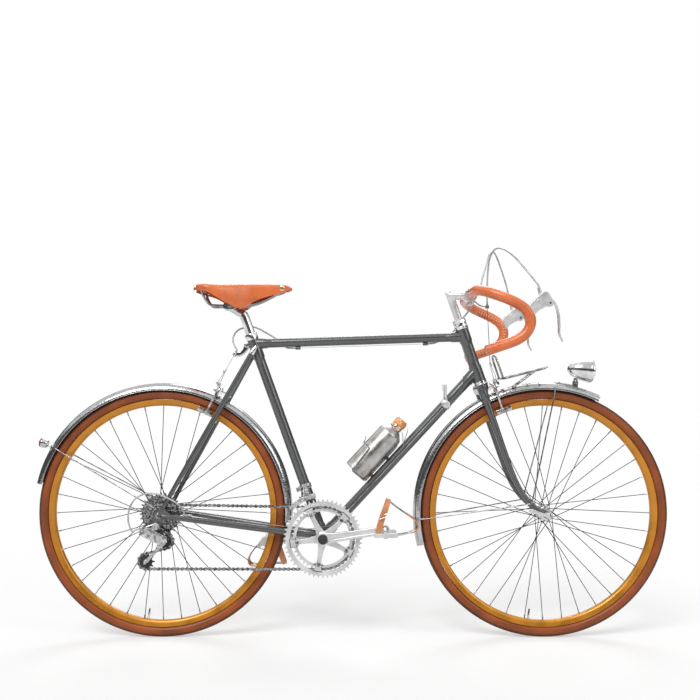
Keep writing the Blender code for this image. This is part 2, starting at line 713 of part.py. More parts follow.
def make_chainstays():
    shell_cut = cutter(BB - SIDE * SHELL_WIDTH, BB + SIDE * SHELL_WIDTH, SHELL_RADIUS, 20)
    pieces = []
    bores = []
    for side in (-1, 1):
        root, tip = stay_side(side)
        run = (tip - root).normalized()
        middle = root + run * CHAINSTAY_TAPER_AT
        pieces.append(tube([root, middle, tip], [CHAINSTAY_RADIUS, CHAINSTAY_RADIUS,
                                                 CHAINSTAY_TIP_RADIUS], 8))
        bores.append(tube([root - run * 5 * MM, middle, tip - run * 12 * MM],
                          [CHAINSTAY_RADIUS - STAY_WALL, CHAINSTAY_RADIUS - STAY_WALL,
                           CHAINSTAY_TIP_RADIUS - STAY_WALL], 6))
        seat_tab = STAY_UP * DROPOUT_REACH
        seat_side = STAY_BACK * SEATSTAY_TIP_RADIUS
        corners = [
            vec(CHAINSTAY_TIP_AHEAD + 6 * MM, 0, -CHAINSTAY_TIP_BELOW - 5 * MM),
            vec(CHAINSTAY_TIP_AHEAD + 6 * MM, 0, -CHAINSTAY_TIP_BELOW + 5 * MM),
            seat_tab - seat_side,
            seat_tab + seat_side,
            vec(-13 * MM, 0, 8 * MM),
            vec(-15 * MM, 0, -8 * MM),
        ]
        if side < 0:
            corners += [
                vec(HANGER_X - 8 * MM, 0, -HANGER_DROP - 4 * MM),
                vec(HANGER_X, 0, -HANGER_DROP - 9 * MM),
                vec(HANGER_X + 8 * MM, 0, -HANGER_DROP - 4 * MM),
                vec(10 * MM, 0, -14 * MM),
            ]
        else:
            corners += [vec(-6 * MM, 0, -15 * MM), vec(8 * MM, 0, -14 * MM)]
        outline = [(c.x, c.z) for c in corners]
        plate_y = STAY_Y * side
        centre = vec(REAR_AXLE.x, plate_y, REAR_AXLE.z)
        half = DROPOUT_THICKNESS / 2
        pieces.append(slab(outline, centre, vec(1, 0, 0), vec(0, 0, 1), -half, half))
        eyelet = centre + vec(STAY_EYELET[0], 0, STAY_EYELET[1])
        pieces.append(rod(eyelet - SIDE * half, eyelet + SIDE * half, 5 * MM, 6))
    left = stay_side(1)
    right = stay_side(-1)
    share = BRIDGE_AT / (left[1] - left[0]).length
    pieces.append(rod(left[0].lerp(left[1], share), right[0].lerp(right[1], share), 5 * MM, 8))
    stop, run = shift_stop()
    pieces.append(rod(stop - run * 7 * MM, stop + run * 5 * MM, 4.2 * MM, 8))
    axle_cut = rod(REAR_AXLE - SIDE * 0.1, REAR_AXLE + SIDE * 0.1, AXLE_RADIUS + GAP * 1.4, 12)
    bolt = REAR_AXLE + vec(HANGER_X, 0, -HANGER_DROP)
    bolt_cut = rod(bolt - SIDE * 0.1, bolt, 4 * MM + GAP * 1.4, 10)
    stop_cut = rod(stop - run * 12 * MM, stop + run * 10 * MM, HOUSING_BORE, 8)
    node("chainstays", "enamel", pieces, bores + [shell_cut, axle_cut, bolt_cut, stop_cut])


def make_seatstays():
    pieces = []
    bores = []
    for side in (-1, 1):
        low = REAR_AXLE + STAY_UP * (DROPOUT_REACH + GAP)
        low = vec(low.x, STAY_Y * side, low.z)
        top = vec(SEATSTAY_TOP.x, side * SEATSTAY_TOP_Y, SEATSTAY_TOP.z)
        run = (top - low).normalized()
        middle = low + run * 170 * MM
        pieces.append(tube([low, middle, top, top + run * 24 * MM],
                           [SEATSTAY_TIP_RADIUS, SEATSTAY_RADIUS, SEATSTAY_RADIUS,
                            SEATSTAY_RADIUS * 0.55], 8))
        bores.append(tube([low - run * 5 * MM, middle, top],
                          [SEATSTAY_TIP_RADIUS - STAY_WALL, SEATSTAY_RADIUS - STAY_WALL,
                           SEATSTAY_RADIUS - STAY_WALL], 6))
    bridge = REAR_AXLE + STAY_UP * REAR_BRIDGE_AT
    share = REAR_BRIDGE_AT / (SEATSTAY_TOP - REAR_AXLE).length
    reach = STAY_Y + (SEATSTAY_TOP_Y - STAY_Y) * share
    pieces.append(rod(bridge - SIDE * reach, bridge + SIDE * reach, 5 * MM, 8))
    low_cap = SEATSTAY_TOP + STAY_UP * 14 * MM
    pieces.append(rod(low_cap - SIDE * SEATSTAY_TOP_Y + STAY_BACK * 2 * MM,
                      low_cap + SIDE * SEATSTAY_TOP_Y + STAY_BACK * 2 * MM, 4 * MM, 8))
    plate = BRAKE_PLATE_HALF
    outline = [(-plate, -6 * MM), (plate, -6 * MM), (plate, 6 * MM), (0, 11 * MM), (-plate, 6 * MM)]
    centre = REAR_AXLE + STAY_UP * (REAR_BRIDGE_AT + REAR_PIVOT_RISE)
    pieces.append(slab(outline, centre, SIDE, STAY_UP, -REAR_BRAKE_PLANE + 8 * MM,
                       -REAR_BRAKE_PLANE + 12 * MM))
    pieces.append(rod(bridge + STAY_BACK * 2 * MM, centre + STAY_BACK * (REAR_BRAKE_PLANE - 10 * MM),
                      5 * MM, 8))
    for side in (-1, 1):
        pivot = centre + SIDE * side * BRAKE_PIVOT_HALF
        pieces.append(rod(pivot + STAY_BACK * (REAR_BRAKE_PLANE - 9 * MM),
                          pivot + STAY_BACK * (REAR_BRAKE_PLANE + 9 * MM), BRAKE_STUD_RADIUS, 8))
    seat_cut = cutter(on_seat(0), on_seat(SEAT_TUBE_LENGTH + LUG_LENGTH), SEAT_CUT_RADIUS)
    node("seatstays", "enamel", pieces, bores + [seat_cut])


# Wheels
def wheel_spokes(centre, flanges):
    """Spokes from the hub's flanges to the rim, crossing three others each."""
    spokes = []
    per_side = SPOKE_COUNT // 2
    step = 2 * math.pi / per_side
    crossing = math.radians(60)
    for side, (flange_y, flange_radius) in zip((-1, 1), flanges):
        for i in range(per_side):
            lead = 1 if i % 2 == 0 else -1
            hub_angle = step * i + (step / 2 if side > 0 else 0)
            rim_angle = hub_angle + lead * crossing
            root_r = flange_radius - 2.5 * MM
            tip_r = RIM_INNER_RADIUS * math.cos(math.pi / WHEEL_FACETS) - GAP
            root_y = flange_y + side * lead * 1.2 * MM
            tip_y = side * (2.4 + 1.2 * lead) * MM
            root = centre + vec(root_r * math.cos(hub_angle), root_y, root_r * math.sin(hub_angle))
            tip = centre + vec(tip_r * math.cos(rim_angle), tip_y, tip_r * math.sin(rim_angle))
            spokes.append(tube([root, tip], SPOKE_RADIUS, 3))
    return spokes


def make_tyre(name, centre, body):
    """An open tyre whose beads stand just over the rim's mouth."""
    seat = RIM_RADIUS + GAP * 1.5
    half = TYRE_WIDTH / 2
    right = [
        (seat, half - 8 * MM),
        (seat + MM, half - 3.4 * MM),
        (TYRE_RADIUS - 13 * MM, half),
        (TYRE_RADIUS, half - 10.5 * MM),
    ]
    hollow = [(TYRE_RADIUS - TYRE_WALL * 1.4, half - 11.5 * MM), (TYRE_RADIUS - 15 * MM, half - TYRE_WALL)]
    outline = right + [(r, -y) for r, y in reversed(right)]
    outline += [(r, -y) for r, y in reversed(hollow)] + hollow
    node(name, "tyre", [turned(outline, centre, SIDE, WHEEL_FACETS)], body=body)


def make_rim(name, centre, body):
    half = RIM_WIDTH / 2
    floor = RIM_RADIUS - 9 * MM
    outline = [
        (RIM_RADIUS, half),
        (RIM_INNER_RADIUS, half - 4 * MM),
        (RIM_INNER_RADIUS, 4 * MM - half),
        (RIM_RADIUS, -half),
        (RIM_RADIUS, RIM_WALL - half),
        (floor, RIM_WALL - half),
        (floor, half - RIM_WALL),
        (RIM_RADIUS, half - RIM_WALL),
    ]
    node(name, "rim", [turned(outline, centre, SIDE, WHEEL_FACETS)], body=body)


def make_front_wheel():
    make_tyre("front_tyre", FRONT_AXLE, "front_wheel_axis")
    make_rim("front_rim", FRONT_AXLE, "front_wheel_axis")
    flange_y = 34 * MM
    end = FRONT_SPACING / 2 - 6.3 * MM
    bore = AXLE_RADIUS + GAP * 1.4
    outline = [
        (bore, -end), (12 * MM, -end), (FRONT_FLANGE_RADIUS, -flange_y - 1.8 * MM),
        (FRONT_FLANGE_RADIUS, -flange_y + 1.8 * MM), (10.5 * MM, -flange_y + 5 * MM),
    ]
    outline += [(r, -h) for r, h in reversed(outline)]
    hub = turned(outline, FRONT_AXLE, SIDE, 12)
    spokes = wheel_spokes(FRONT_AXLE, ((-flange_y, FRONT_FLANGE_RADIUS),
                                       (flange_y, FRONT_FLANGE_RADIUS)))
    node("front_hub_and_spokes", "alloy", [hub] + spokes, body="front_wheel_axis")


def make_rear_wheel():
    make_tyre("rear_tyre", REAR_AXLE, "rear_wheel_axis")
    make_rim("rear_rim", REAR_AXLE, "rear_wheel_axis")
    bore = AXLE_RADIUS + GAP * 1.4
    boss = FREEWHEEL_BORE - GAP * 1.3
    left_end = REAR_SPACING / 2 - 6.3 * MM
    outline = [
        (bore, HUB_BOSS_END), (boss, HUB_BOSS_END), (boss, REAR_FLANGE_RIGHT_Y - 1.8 * MM),
        (REAR_FLANGE_RADIUS, REAR_FLANGE_RIGHT_Y - 1.8 * MM),
        (REAR_FLANGE_RADIUS, REAR_FLANGE_RIGHT_Y + 1.8 * MM),
        (13 * MM, REAR_FLANGE_RIGHT_Y + 5 * MM),
        (13 * MM, REAR_FLANGE_LEFT_Y - 5 * MM),
        (REAR_FLANGE_RADIUS, REAR_FLANGE_LEFT_Y - 1.8 * MM),
        (REAR_FLANGE_RADIUS, REAR_FLANGE_LEFT_Y + 1.8 * MM),
        (12 * MM, left_end), (bore, left_end),
    ]
    hub = turned(outline, REAR_AXLE, SIDE, 12)
    spokes = wheel_spokes(REAR_AXLE, ((REAR_FLANGE_RIGHT_Y, REAR_FLANGE_RADIUS),
                                      (REAR_FLANGE_LEFT_Y, REAR_FLANGE_RADIUS)))
    node("rear_hub_and_spokes", "alloy", [hub] + spokes, body="rear_wheel_axis")


def axle_outline(half, plate, reach, cones):
    """Half outlines of a solid axle with a locknut inside and a nut outside each fork end."""
    nut = LOCKNUT_RADIUS + MM
    outer = half + plate + GAP
    rows = []
    for side, cone in zip((-1, 1), cones):
        end = [
            (0, reach), (AXLE_RADIUS, reach), (AXLE_RADIUS, outer + 6 * MM), (nut, outer + 6 * MM),
            (nut, outer), (AXLE_RADIUS, outer), (AXLE_RADIUS, half - GAP),
            (LOCKNUT_RADIUS, half - GAP), (LOCKNUT_RADIUS, cone), (AXLE_RADIUS, cone),
        ]
        if side < 0:
            rows += [(r, -y) for r, y in end]
        else:
            rows += reversed(end)
    return rows


def make_axles():
    half = FRONT_SPACING / 2
    outline = axle_outline(half, FORK_END_THICKNESS, FRONT_AXLE_REACH, (half - 6 * MM, half - 6 * MM))
    node("front_axle", "steel", [turned(outline, FRONT_AXLE, SIDE, 8)], body="steering_axis")
    half = REAR_SPACING / 2
    outline = axle_outline(half, DROPOUT_THICKNESS, half + DROPOUT_THICKNESS + 8 * MM,
                           (-SMALL_COG_Y + 4 * MM, half - 6 * MM))
    node("rear_axle", "steel", [turned(outline, REAR_AXLE, SIDE, 8)])


# Fork, headset, stem and bars
def blade_point(distance, side):
    share = min(max(distance / CROWN_TOP, 0), 1)
    end_y = FRONT_SPACING / 2 + FORK_END_THICKNESS / 2
    y = end_y + (BLADE_SPREAD - end_y) * share
    bend = max(1 - distance / BLADE_CURVE_START, 0) ** BLADE_CURVE_POWER
    ahead = -BLADE_SETBACK + (RAKE + BLADE_SETBACK) * bend
    return on_steer(distance, ahead, y * side)


def make_fork():
    pieces = [pipe([on_steer(CROWN_TOP - 12 * MM), on_steer(STEERER_TOP)], STEERER_RADIUS,
                   QUILL_RADIUS + GAP * 1.3, 12)]
    half = BLADE_SPREAD + BLADE_RADIUS + 2 * MM
    bottom = CROWN_TOP - CROWN_HEIGHT
    outline = [
        (-half, bottom - 20 * MM), (-BLADE_SPREAD + BLADE_RADIUS + 0.5 * MM, bottom - 20 * MM),
        (-BLADE_SPREAD + BLADE_RADIUS + 2 * MM, bottom - 5 * MM), (-14 * MM, bottom),
    ]
    outline += [(-a, b) for a, b in reversed(outline)]
    top = [(half, CROWN_TOP - 12 * MM), (28 * MM, CROWN_TOP - 2 * MM), (20 * MM, CROWN_TOP)]
    outline += top + [(-a, b) for a, b in reversed(top)]
    pieces.append(slab(outline, STEER_FOOT, SIDE, STEER_UP, -CROWN_DEPTH / 2, CROWN_DEPTH / 2))
    race = STEERER_RADIUS - 0.5 * MM
    pieces.append(turned([(race, -2 * MM), (20 * MM, -2 * MM), (20 * MM, 4 * MM),
                          (18.2 * MM, 7 * MM), (19.8 * MM, LOWER_RACE_HEIGHT - GAP),
                          (race, LOWER_RACE_HEIGHT - GAP)], on_steer(CROWN_TOP), STEER_UP, 16))
    for side in (-1, 1):
        stations = [d * MM for d in (378, 200, 150, 110, 76, 48, 27, 12)]
        path = [blade_point(d, side) for d in stations]
        radii = []
        for d in stations:
            share = d / CROWN_TOP
            radii.append(BLADE_TIP_RADIUS + (BLADE_RADIUS + MM - BLADE_TIP_RADIUS) * share)
        pieces.append(tube(path, radii, 8))
        plate_y = side * (FRONT_SPACING / 2 + FORK_END_THICKNESS / 2)
        centre = vec(FRONT_AXLE.x, plate_y, FRONT_AXLE.z)
        up = (blade_point(30 * MM, side) - centre)
        up.y = 0
        up.normalize()
        across = vec(up.z, 0, -up.x)
        outline = [(-12 * MM, -6 * MM), (-5 * MM, -13 * MM), (5 * MM, -13 * MM), (12 * MM, -6 * MM),
                   (8 * MM, 18 * MM), (4 * MM, 30 * MM), (-4 * MM, 30 * MM), (-8 * MM, 18 * MM)]
        thick = FORK_END_THICKNESS / 2
        pieces.append(slab(outline, centre, across, up, -thick, thick))
        eyelet = blade_point(EYELET_AT, side)
        pieces.append(rod(eyelet, vec(eyelet.x, side * EYELET_Y, eyelet.z), 4 * MM, 8))
    plate = BRAKE_PLATE_HALF
    outline = [(-plate, -6 * MM), (plate, -6 * MM), (plate, 6 * MM), (0, 11 * MM), (-plate, 6 * MM)]
    centre = on_steer(FRONT_PIVOT_AT)
    pieces.append(slab(outline, centre, SIDE, STEER_UP, FRONT_BRAKE_PLANE - 12 * MM,
                       FRONT_BRAKE_PLANE - 8 * MM))
    pieces.append(rod(on_steer(FRONT_PIVOT_AT, 8 * MM), on_steer(FRONT_PIVOT_AT, FRONT_BRAKE_PLANE - 10 * MM),
                      5 * MM, 8))
    for side in (-1, 1):
        pieces.append(rod(on_steer(FRONT_PIVOT_AT, FRONT_BRAKE_PLANE - 9 * MM, side * BRAKE_PIVOT_HALF),
                          on_steer(FRONT_PIVOT_AT, FRONT_BRAKE_PLANE + 9 * MM, side * BRAKE_PIVOT_HALF),
                          BRAKE_STUD_RADIUS, 8))
    axle_cut = rod(FRONT_AXLE - SIDE * 0.1, FRONT_AXLE + SIDE * 0.1, AXLE_RADIUS + GAP * 1.4, 12)
    node("fork", "enamel", pieces, [axle_cut], body="steering_axis")


def make_upper_headset():
    inner = STEERER_RADIUS + GAP * 1.3
    quill = QUILL_RADIUS + GAP * 1.3
    step = STEERER_TOP - HEAD_TOP + GAP
    outline = [
        (inner, GAP), (19.5 * MM, GAP), (19.5 * MM, 7 * MM), (17.8 * MM, 9 * MM),
        (17.8 * MM, 17 * MM), (18.8 * MM, 18 * MM), (18.8 * MM, UPPER_STACK_HEIGHT - MM),
        (quill, UPPER_STACK_HEIGHT), (quill, step), (inner, step),
    ]
    node("upper_headset", "chrome", [turned(outline, on_steer(HEAD_TOP), STEER_UP, 14)],
         body="steering_axis")


def make_stem():
    quill = rod(on_steer(HEAD_TOP - 45 * MM), on_steer(STEM_RISE + 10 * MM), QUILL_RADIUS, 12)
    ahead = (BAR_CENTRE - STEM_TOP).normalized()
    extension = sweep([STEM_TOP - ahead * 2 * MM, BAR_CENTRE - ahead * 14 * MM],
                      circle(11 * MM, 10, 0.92))
    clamp = ring(BAR_CENTRE, SIDE, BAR_SLEEVE_RADIUS + GAP * 1.3, 18.5 * MM, -STEM_CLAMP_HALF,
                 STEM_CLAMP_HALF, 16)
    lug = box((BAR_CENTRE.x - 7 * MM, -12 * MM, BAR_CENTRE.z - 27 * MM),
              (BAR_CENTRE.x + 7 * MM, 12 * MM, BAR_CENTRE.z - 15 * MM))
    stop = FRONT_STOP
    arm = sweep([BAR_CENTRE + vec(12 * MM, 0, -14 * MM), stop + vec(-5 * MM, 0, 3 * MM)],
                [(-7 * MM, -1.5 * MM), (7 * MM, -1.5 * MM), (7 * MM, 1.5 * MM), (-7 * MM, 1.5 * MM)])
    eye = rod(stop - vec(0, 0, 5 * MM), stop + vec(0, 0, 6 * MM), 5.5 * MM, 8)
    eye_cut = rod(stop - vec(0, 0, 12 * MM), stop + vec(0, 0, 14 * MM), HOUSING_BORE, 8)
    bar_cut = rod(BAR_CENTRE - SIDE * 0.05, BAR_CENTRE + SIDE * 0.05,
                  BAR_SLEEVE_RADIUS + GAP * 1.8, 16)
    node("stem", "alloy", [quill, extension, clamp, lug, arm, eye], [eye_cut, bar_cut],
         body="steering_axis")


def bar_knots(side):
    """The right or left half of the bar, from the stem to its end."""
    rows = (
        (0, 30, 0), (0, 102, 0), (4, 142, -2), (21, 175, -10), (47, 193, -21.5), (74, 200, -33),
        (96, 200, -44), (113, 200, -56), (124, 200, -70), (129, 200, -86), (127, 200, -103),
        (118, 200, -119), (104, 200, -131), (87, 200, -140), (62, 200, -149), (15, 200, -165),
    )
    return [BAR_CENTRE + vec(x * MM, y * MM * side, z * MM) for x, y, z in rows]


def bar_stretch(side, radius, first=0, last=None):
    """Rings round one half of the bar, always turned the same way, so that tubes nest."""
    points = bar_knots(side)
    frames = path_frames(points, False, vec(0, 0, 1))
    rings = []
    for point, frame in list(zip(points, frames))[first:last]:
        shape = circle(radius, 8)
        rings.append([point + frame[1] * a * side + frame[2] * b for a, b in shape])
    return rings


def make_handlebar():
    right = bar_stretch(-1, BAR_RADIUS)
    left = bar_stretch(1, BAR_RADIUS)
    sleeve_half = STEM_CLAMP_HALF + 4 * MM
    sleeve = rod(BAR_CENTRE - SIDE * sleeve_half, BAR_CENTRE + SIDE * sleeve_half,
                 BAR_SLEEVE_RADIUS, 16)
    middle = rod(BAR_CENTRE - SIDE * 30 * MM, BAR_CENTRE + SIDE * 30 * MM, BAR_RADIUS - 0.3 * MM, 8)
    node("handlebar", "alloy", [loft(right, False), loft(left, False), middle, sleeve],
         body="steering_axis")
    outer = BAR_RADIUS + GAP * 1.4 + COVER_THICKNESS
    for name, side in (("right_bar_cover", -1), ("left_bar_cover", 1)):
        shell = bar_stretch(side, outer, 0, -1)
        hollow = bar_stretch(side, BAR_RADIUS + GAP * 1.4, 0, -1)
        node(name, "leather", [loft(shell + hollow[::-1], True)], body="steering_axis")


def ferrule_line(side):
    """The line that the housing leaves a lever body along: where it ends, and which way."""
    pivot = LEVER_PIVOT + SIDE * side * LEVER_SPREAD
    return pivot + vec(-25 * MM, 0, 28 * MM), vec(-0.22, 0, 0.975).normalized()


def make_brake_levers():
    forward, up = vec(1, 0, 0), vec(0, 0, 1)
    for name, side, body in (("right", -1, "right_lever_axis"), ("left", 1, "left_lever_axis")):
        pivot = LEVER_PIVOT + SIDE * side * LEVER_SPREAD
        rows = ((-66, -26), (-52, -2), (-30, 22), (-14, 36), (-4, 30), (7, 8), (7, -7), (-8, -8),
                (-30, -20), (-50, -42))
        half = 9 * MM
        shell = slab([(x * MM, z * MM) for x, z in rows], pivot, forward, up, -half, half)
        rows = ((-13, -14), (-13, 14), (-9, 50), (20, 50), (20, -30))
        slot = slab([(x * MM, z * MM) for x, z in rows], pivot, forward, up, -6.2 * MM, 6.2 * MM)
        end, out = ferrule_line(side)
        ferrule = rod(end - out * 4 * MM, end + out * 14 * MM, 4.6 * MM, 8)
        bore = rod(end, end + out * 30 * MM, HOUSING_BORE, 8)
        bar_cut = loft(bar_stretch(side, COVER_RADIUS + GAP * 1.4, 3), False)
        pin = rod(pivot - SIDE * half, pivot + SIDE * half, 2.5 * MM, 8)
        body_shell = joined([shell, ferrule], [slot, bore, bar_cut])
        node(name + "_lever_body", "alloy", [body_shell, pin], body="steering_axis")
        rows = ((-11, 9), (2, 11), (10, 4), (17, -8), (22, -30), (24, -80), (34, -99))
        path = [pivot + vec(x * MM, 0, z * MM) for x, z in rows]
        blade = sweep(path, [(-5.4 * MM, -1.6 * MM), (5.4 * MM, -1.6 * MM), (5.4 * MM, 1.6 * MM),
                             (-5.4 * MM, 1.6 * MM)])
        eye = rod(pivot - SIDE * 5.6 * MM, pivot + SIDE * 5.6 * MM, 6.5 * MM, 10)
        rows = ((-4, -5), (5, -5), (8, 8), (0, 12), (-8, 10))
        neck = slab([(x * MM, z * MM) for x, z in rows], pivot, forward, up, -5.6 * MM, 5.6 * MM)
        pin_cut = rod(pivot - SIDE * 0.02, pivot + SIDE * 0.02, 2.5 * MM + GAP * 1.4, 8)
        node(name + "_brake_lever", "alloy", [blade, eye, neck], [pin_cut], body=body)


# Mudguards, lamps and rack
def mudguard_section(radius):
    """Points (radius, sideways) of the curved sheet, outer side then inner side."""
    half = MUDGUARD_WIDTH / 2
    base = radius - MUDGUARD_DEPTH
    rows = []
    for shrink, order in ((0, 1), (MUDGUARD_THICKNESS, -1)):
        arc = []
        for i in range(MUDGUARD_FLATS + 1):
            angle = math.pi * i / MUDGUARD_FLATS
            arc.append((base + (MUDGUARD_DEPTH - shrink) * math.sin(angle),
                        -(half - shrink) * math.cos(angle)))
        rows += arc[::order]
    return rows


def mudguard_surface(radius, y):
    """How far out the faceted sheet reaches at this distance from its middle line."""
    outer = mudguard_section(radius)[:MUDGUARD_FLATS + 1]
    for (r0, y0), (r1, y1) in zip(outer, outer[1:]):
        if y0 <= y <= y1:
            return r0 + (r1 - r0) * (y - y0) / (y1 - y0)
    return radius - MUDGUARD_DEPTH


def mudguard(centre, radius, arc, segments):
    rings = []
    for i in range(segments + 1):
        angle = math.radians(arc[0] + (arc[1] - arc[0]) * i / segments)
        out = vec(math.cos(angle), 0, math.sin(angle))
        rings.append([centre + out * r + SIDE * y for r, y in mudguard_section(radius)])
    return loft(rings, False)


def wheel_point(centre, angle, radius, y=0.0):
    angle = math.radians(angle)
    return centre + vec(math.cos(angle) * radius, y, math.sin(angle) * radius)


def stay_wires(centre, radius, angle, foot, foot_y):
    """A pair of wires from the mudguard's edges to the eyelets, with a flat foot on each."""
    edge = radius - MUDGUARD_DEPTH + 2.5 * MM
    half = MUDGUARD_WIDTH / 2
    shapes = []
    for side in (-1, 1):
        top = wheel_point(centre, angle, edge, side * (half - 0.4 * MM))
        knee = wheel_point(centre, angle, edge - 14 * MM, side * (half + 2.5 * MM))
        end = vec(foot.x, side * (foot_y + STAY_WIRE_RADIUS + GAP), foot.z)
        shapes.append(tube([top, knee, end], STAY_WIRE_RADIUS, 4))
        disc = vec(foot.x, side * foot_y, foot.z)
        shapes.append(rod(disc, disc + SIDE * side * FOOT_THICKNESS, 5 * MM, 6))
    return shapes


def make_front_mudguard():
    outer = FRONT_MUDGUARD_RADIUS
    shapes = [mudguard(FRONT_AXLE, outer, FRONT_MUDGUARD_ARC, FRONT_MUDGUARD_SEGMENTS)]
    eyelet = blade_point(EYELET_AT, 1)
    inner_y = EYELET_Y + GAP
    shapes += stay_wires(FRONT_AXLE, outer, 182.5, eyelet, inner_y)
    shapes += stay_wires(FRONT_AXLE, outer, 85.3, eyelet, inner_y + FOOT_THICKNESS - 0.4 * MM)
    strip = []
    for share in (0, 0.5, 1):
        angle = LAMP_BOLT_ANGLE + (LAMP_FOOT_ANGLE - LAMP_BOLT_ANGLE) * share
        strip.append(wheel_point(FRONT_AXLE, angle, outer + 0.3 * MM))
    shapes.append(sweep(strip, [(-7 * MM, -1.2 * MM), (7 * MM, -1.2 * MM), (7 * MM, 1.2 * MM),
                                (-7 * MM, 1.2 * MM)]))
    foot = wheel_point(FRONT_AXLE, LAMP_FOOT_ANGLE, outer)
    ear = [(-6 * MM, -MM), (6 * MM, -MM), (6 * MM, 14 * MM), (0, 18 * MM), (-6 * MM, 14 * MM)]
    for start, end in ((-7.5 * MM, -5.5 * MM), (5.5 * MM, 7.5 * MM)):
        shapes.append(slab(ear, foot, vec(1, 0, 0), vec(0, 0, 1), start, end))
    shapes.append(rod(LAMP_PIVOT - SIDE * 8 * MM, LAMP_PIVOT + SIDE * 8 * MM, 2.2 * MM, 8))
    under_crown = on_steer(CROWN_TOP - CROWN_HEIGHT - 1.6 * MM)
    out = (under_crown - FRONT_AXLE).normalized()
    base = FRONT_AXLE + out * (outer - 2.5 * MM)
    shapes.append(rod(base, under_crown, 5 * MM, 8))
    node("front_mudguard", "hammered", shapes, body="steering_axis")


LAMP_PIVOT = wheel_point(FRONT_AXLE, LAMP_FOOT_ANGLE, FRONT_MUDGUARD_RADIUS) + vec(0, 0, 12 * MM)


def make_headlamp():
    ahead = vec(math.cos(LAMP_TILT), 0, math.sin(LAMP_TILT))
    over = vec(-ahead.z, 0, ahead.x)
    middle = LAMP_PIVOT + over * (LAMP_RADIUS + 4 * MM)
    tail = middle - ahead * 26 * MM
    outline = [
        (0, 0), (9 * MM, 2 * MM), (17 * MM, 9 * MM), (24 * MM, 22 * MM), (28.5 * MM, 40 * MM),
        (LAMP_RADIUS, 60 * MM), (LAMP_RADIUS, LAMP_LENGTH - 2 * MM), (22 * MM, LAMP_LENGTH + 5 * MM),
        (0, LAMP_LENGTH + 9 * MM),
    ]
    shell = turned(outline, tail, ahead, 16)
    neck = slab([(-5 * MM, -4 * MM), (5 * MM, -4 * MM), (7 * MM, 14 * MM), (-7 * MM, 14 * MM)],
                LAMP_PIVOT, ahead, over, -5.2 * MM, 5.2 * MM)
    pin_cut = rod(LAMP_PIVOT - SIDE * 0.02, LAMP_PIVOT + SIDE * 0.02, 2.2 * MM + GAP * 1.3, 8)
    node("headlamp", "chrome", [shell, neck], [pin_cut], body="headlamp_axis")


def make_rear_mudguard():
    sheet = mudguard(REAR_AXLE, REAR_MUDGUARD_RADIUS, REAR_MUDGUARD_ARC, REAR_MUDGUARD_SEGMENTS)
    foot = REAR_AXLE + vec(STAY_EYELET[0], 0, STAY_EYELET[1])
    foot_y = REAR_SPACING / 2 + DROPOUT_THICKNESS + GAP
    wires = stay_wires(REAR_AXLE, REAR_MUDGUARD_RADIUS, 148.5, foot, foot_y)
    bridge = REAR_AXLE + STAY_UP * REAR_BRIDGE_AT
    out = (bridge - REAR_AXLE).normalized()
    tab = rod(REAR_AXLE + out * (REAR_MUDGUARD_RADIUS - 2.5 * MM),
              bridge - out * (5 * MM + GAP * 1.5), 5 * MM, 8)
    node("rear_mudguard", "hammered", [sheet, tab] + wires)


def make_rear_lamp():
    seat = wheel_point(REAR_AXLE, REAR_LAMP_ANGLE, REAR_MUDGUARD_RADIUS)
    back = vec(-0.972, 0, 0.235)
    centre = seat + wheel_point(vec(0, 0, 0), REAR_LAMP_ANGLE, 17 * MM)
    outline = [(0, -6 * MM), (8 * MM, -4 * MM), (12 * MM, 2 * MM), (13.5 * MM, 10 * MM),
               (13.5 * MM, 15 * MM), (11 * MM, 19 * MM), (0, 21 * MM)]
    bullet = turned(outline, centre, back, 12)
    crown = mudguard_surface(REAR_MUDGUARD_RADIUS, 0)
    foot = rod(wheel_point(REAR_AXLE, REAR_LAMP_ANGLE, crown + GAP), centre, 8 * MM, 8)
    node("rear_lamp", "chrome", [bullet, foot])


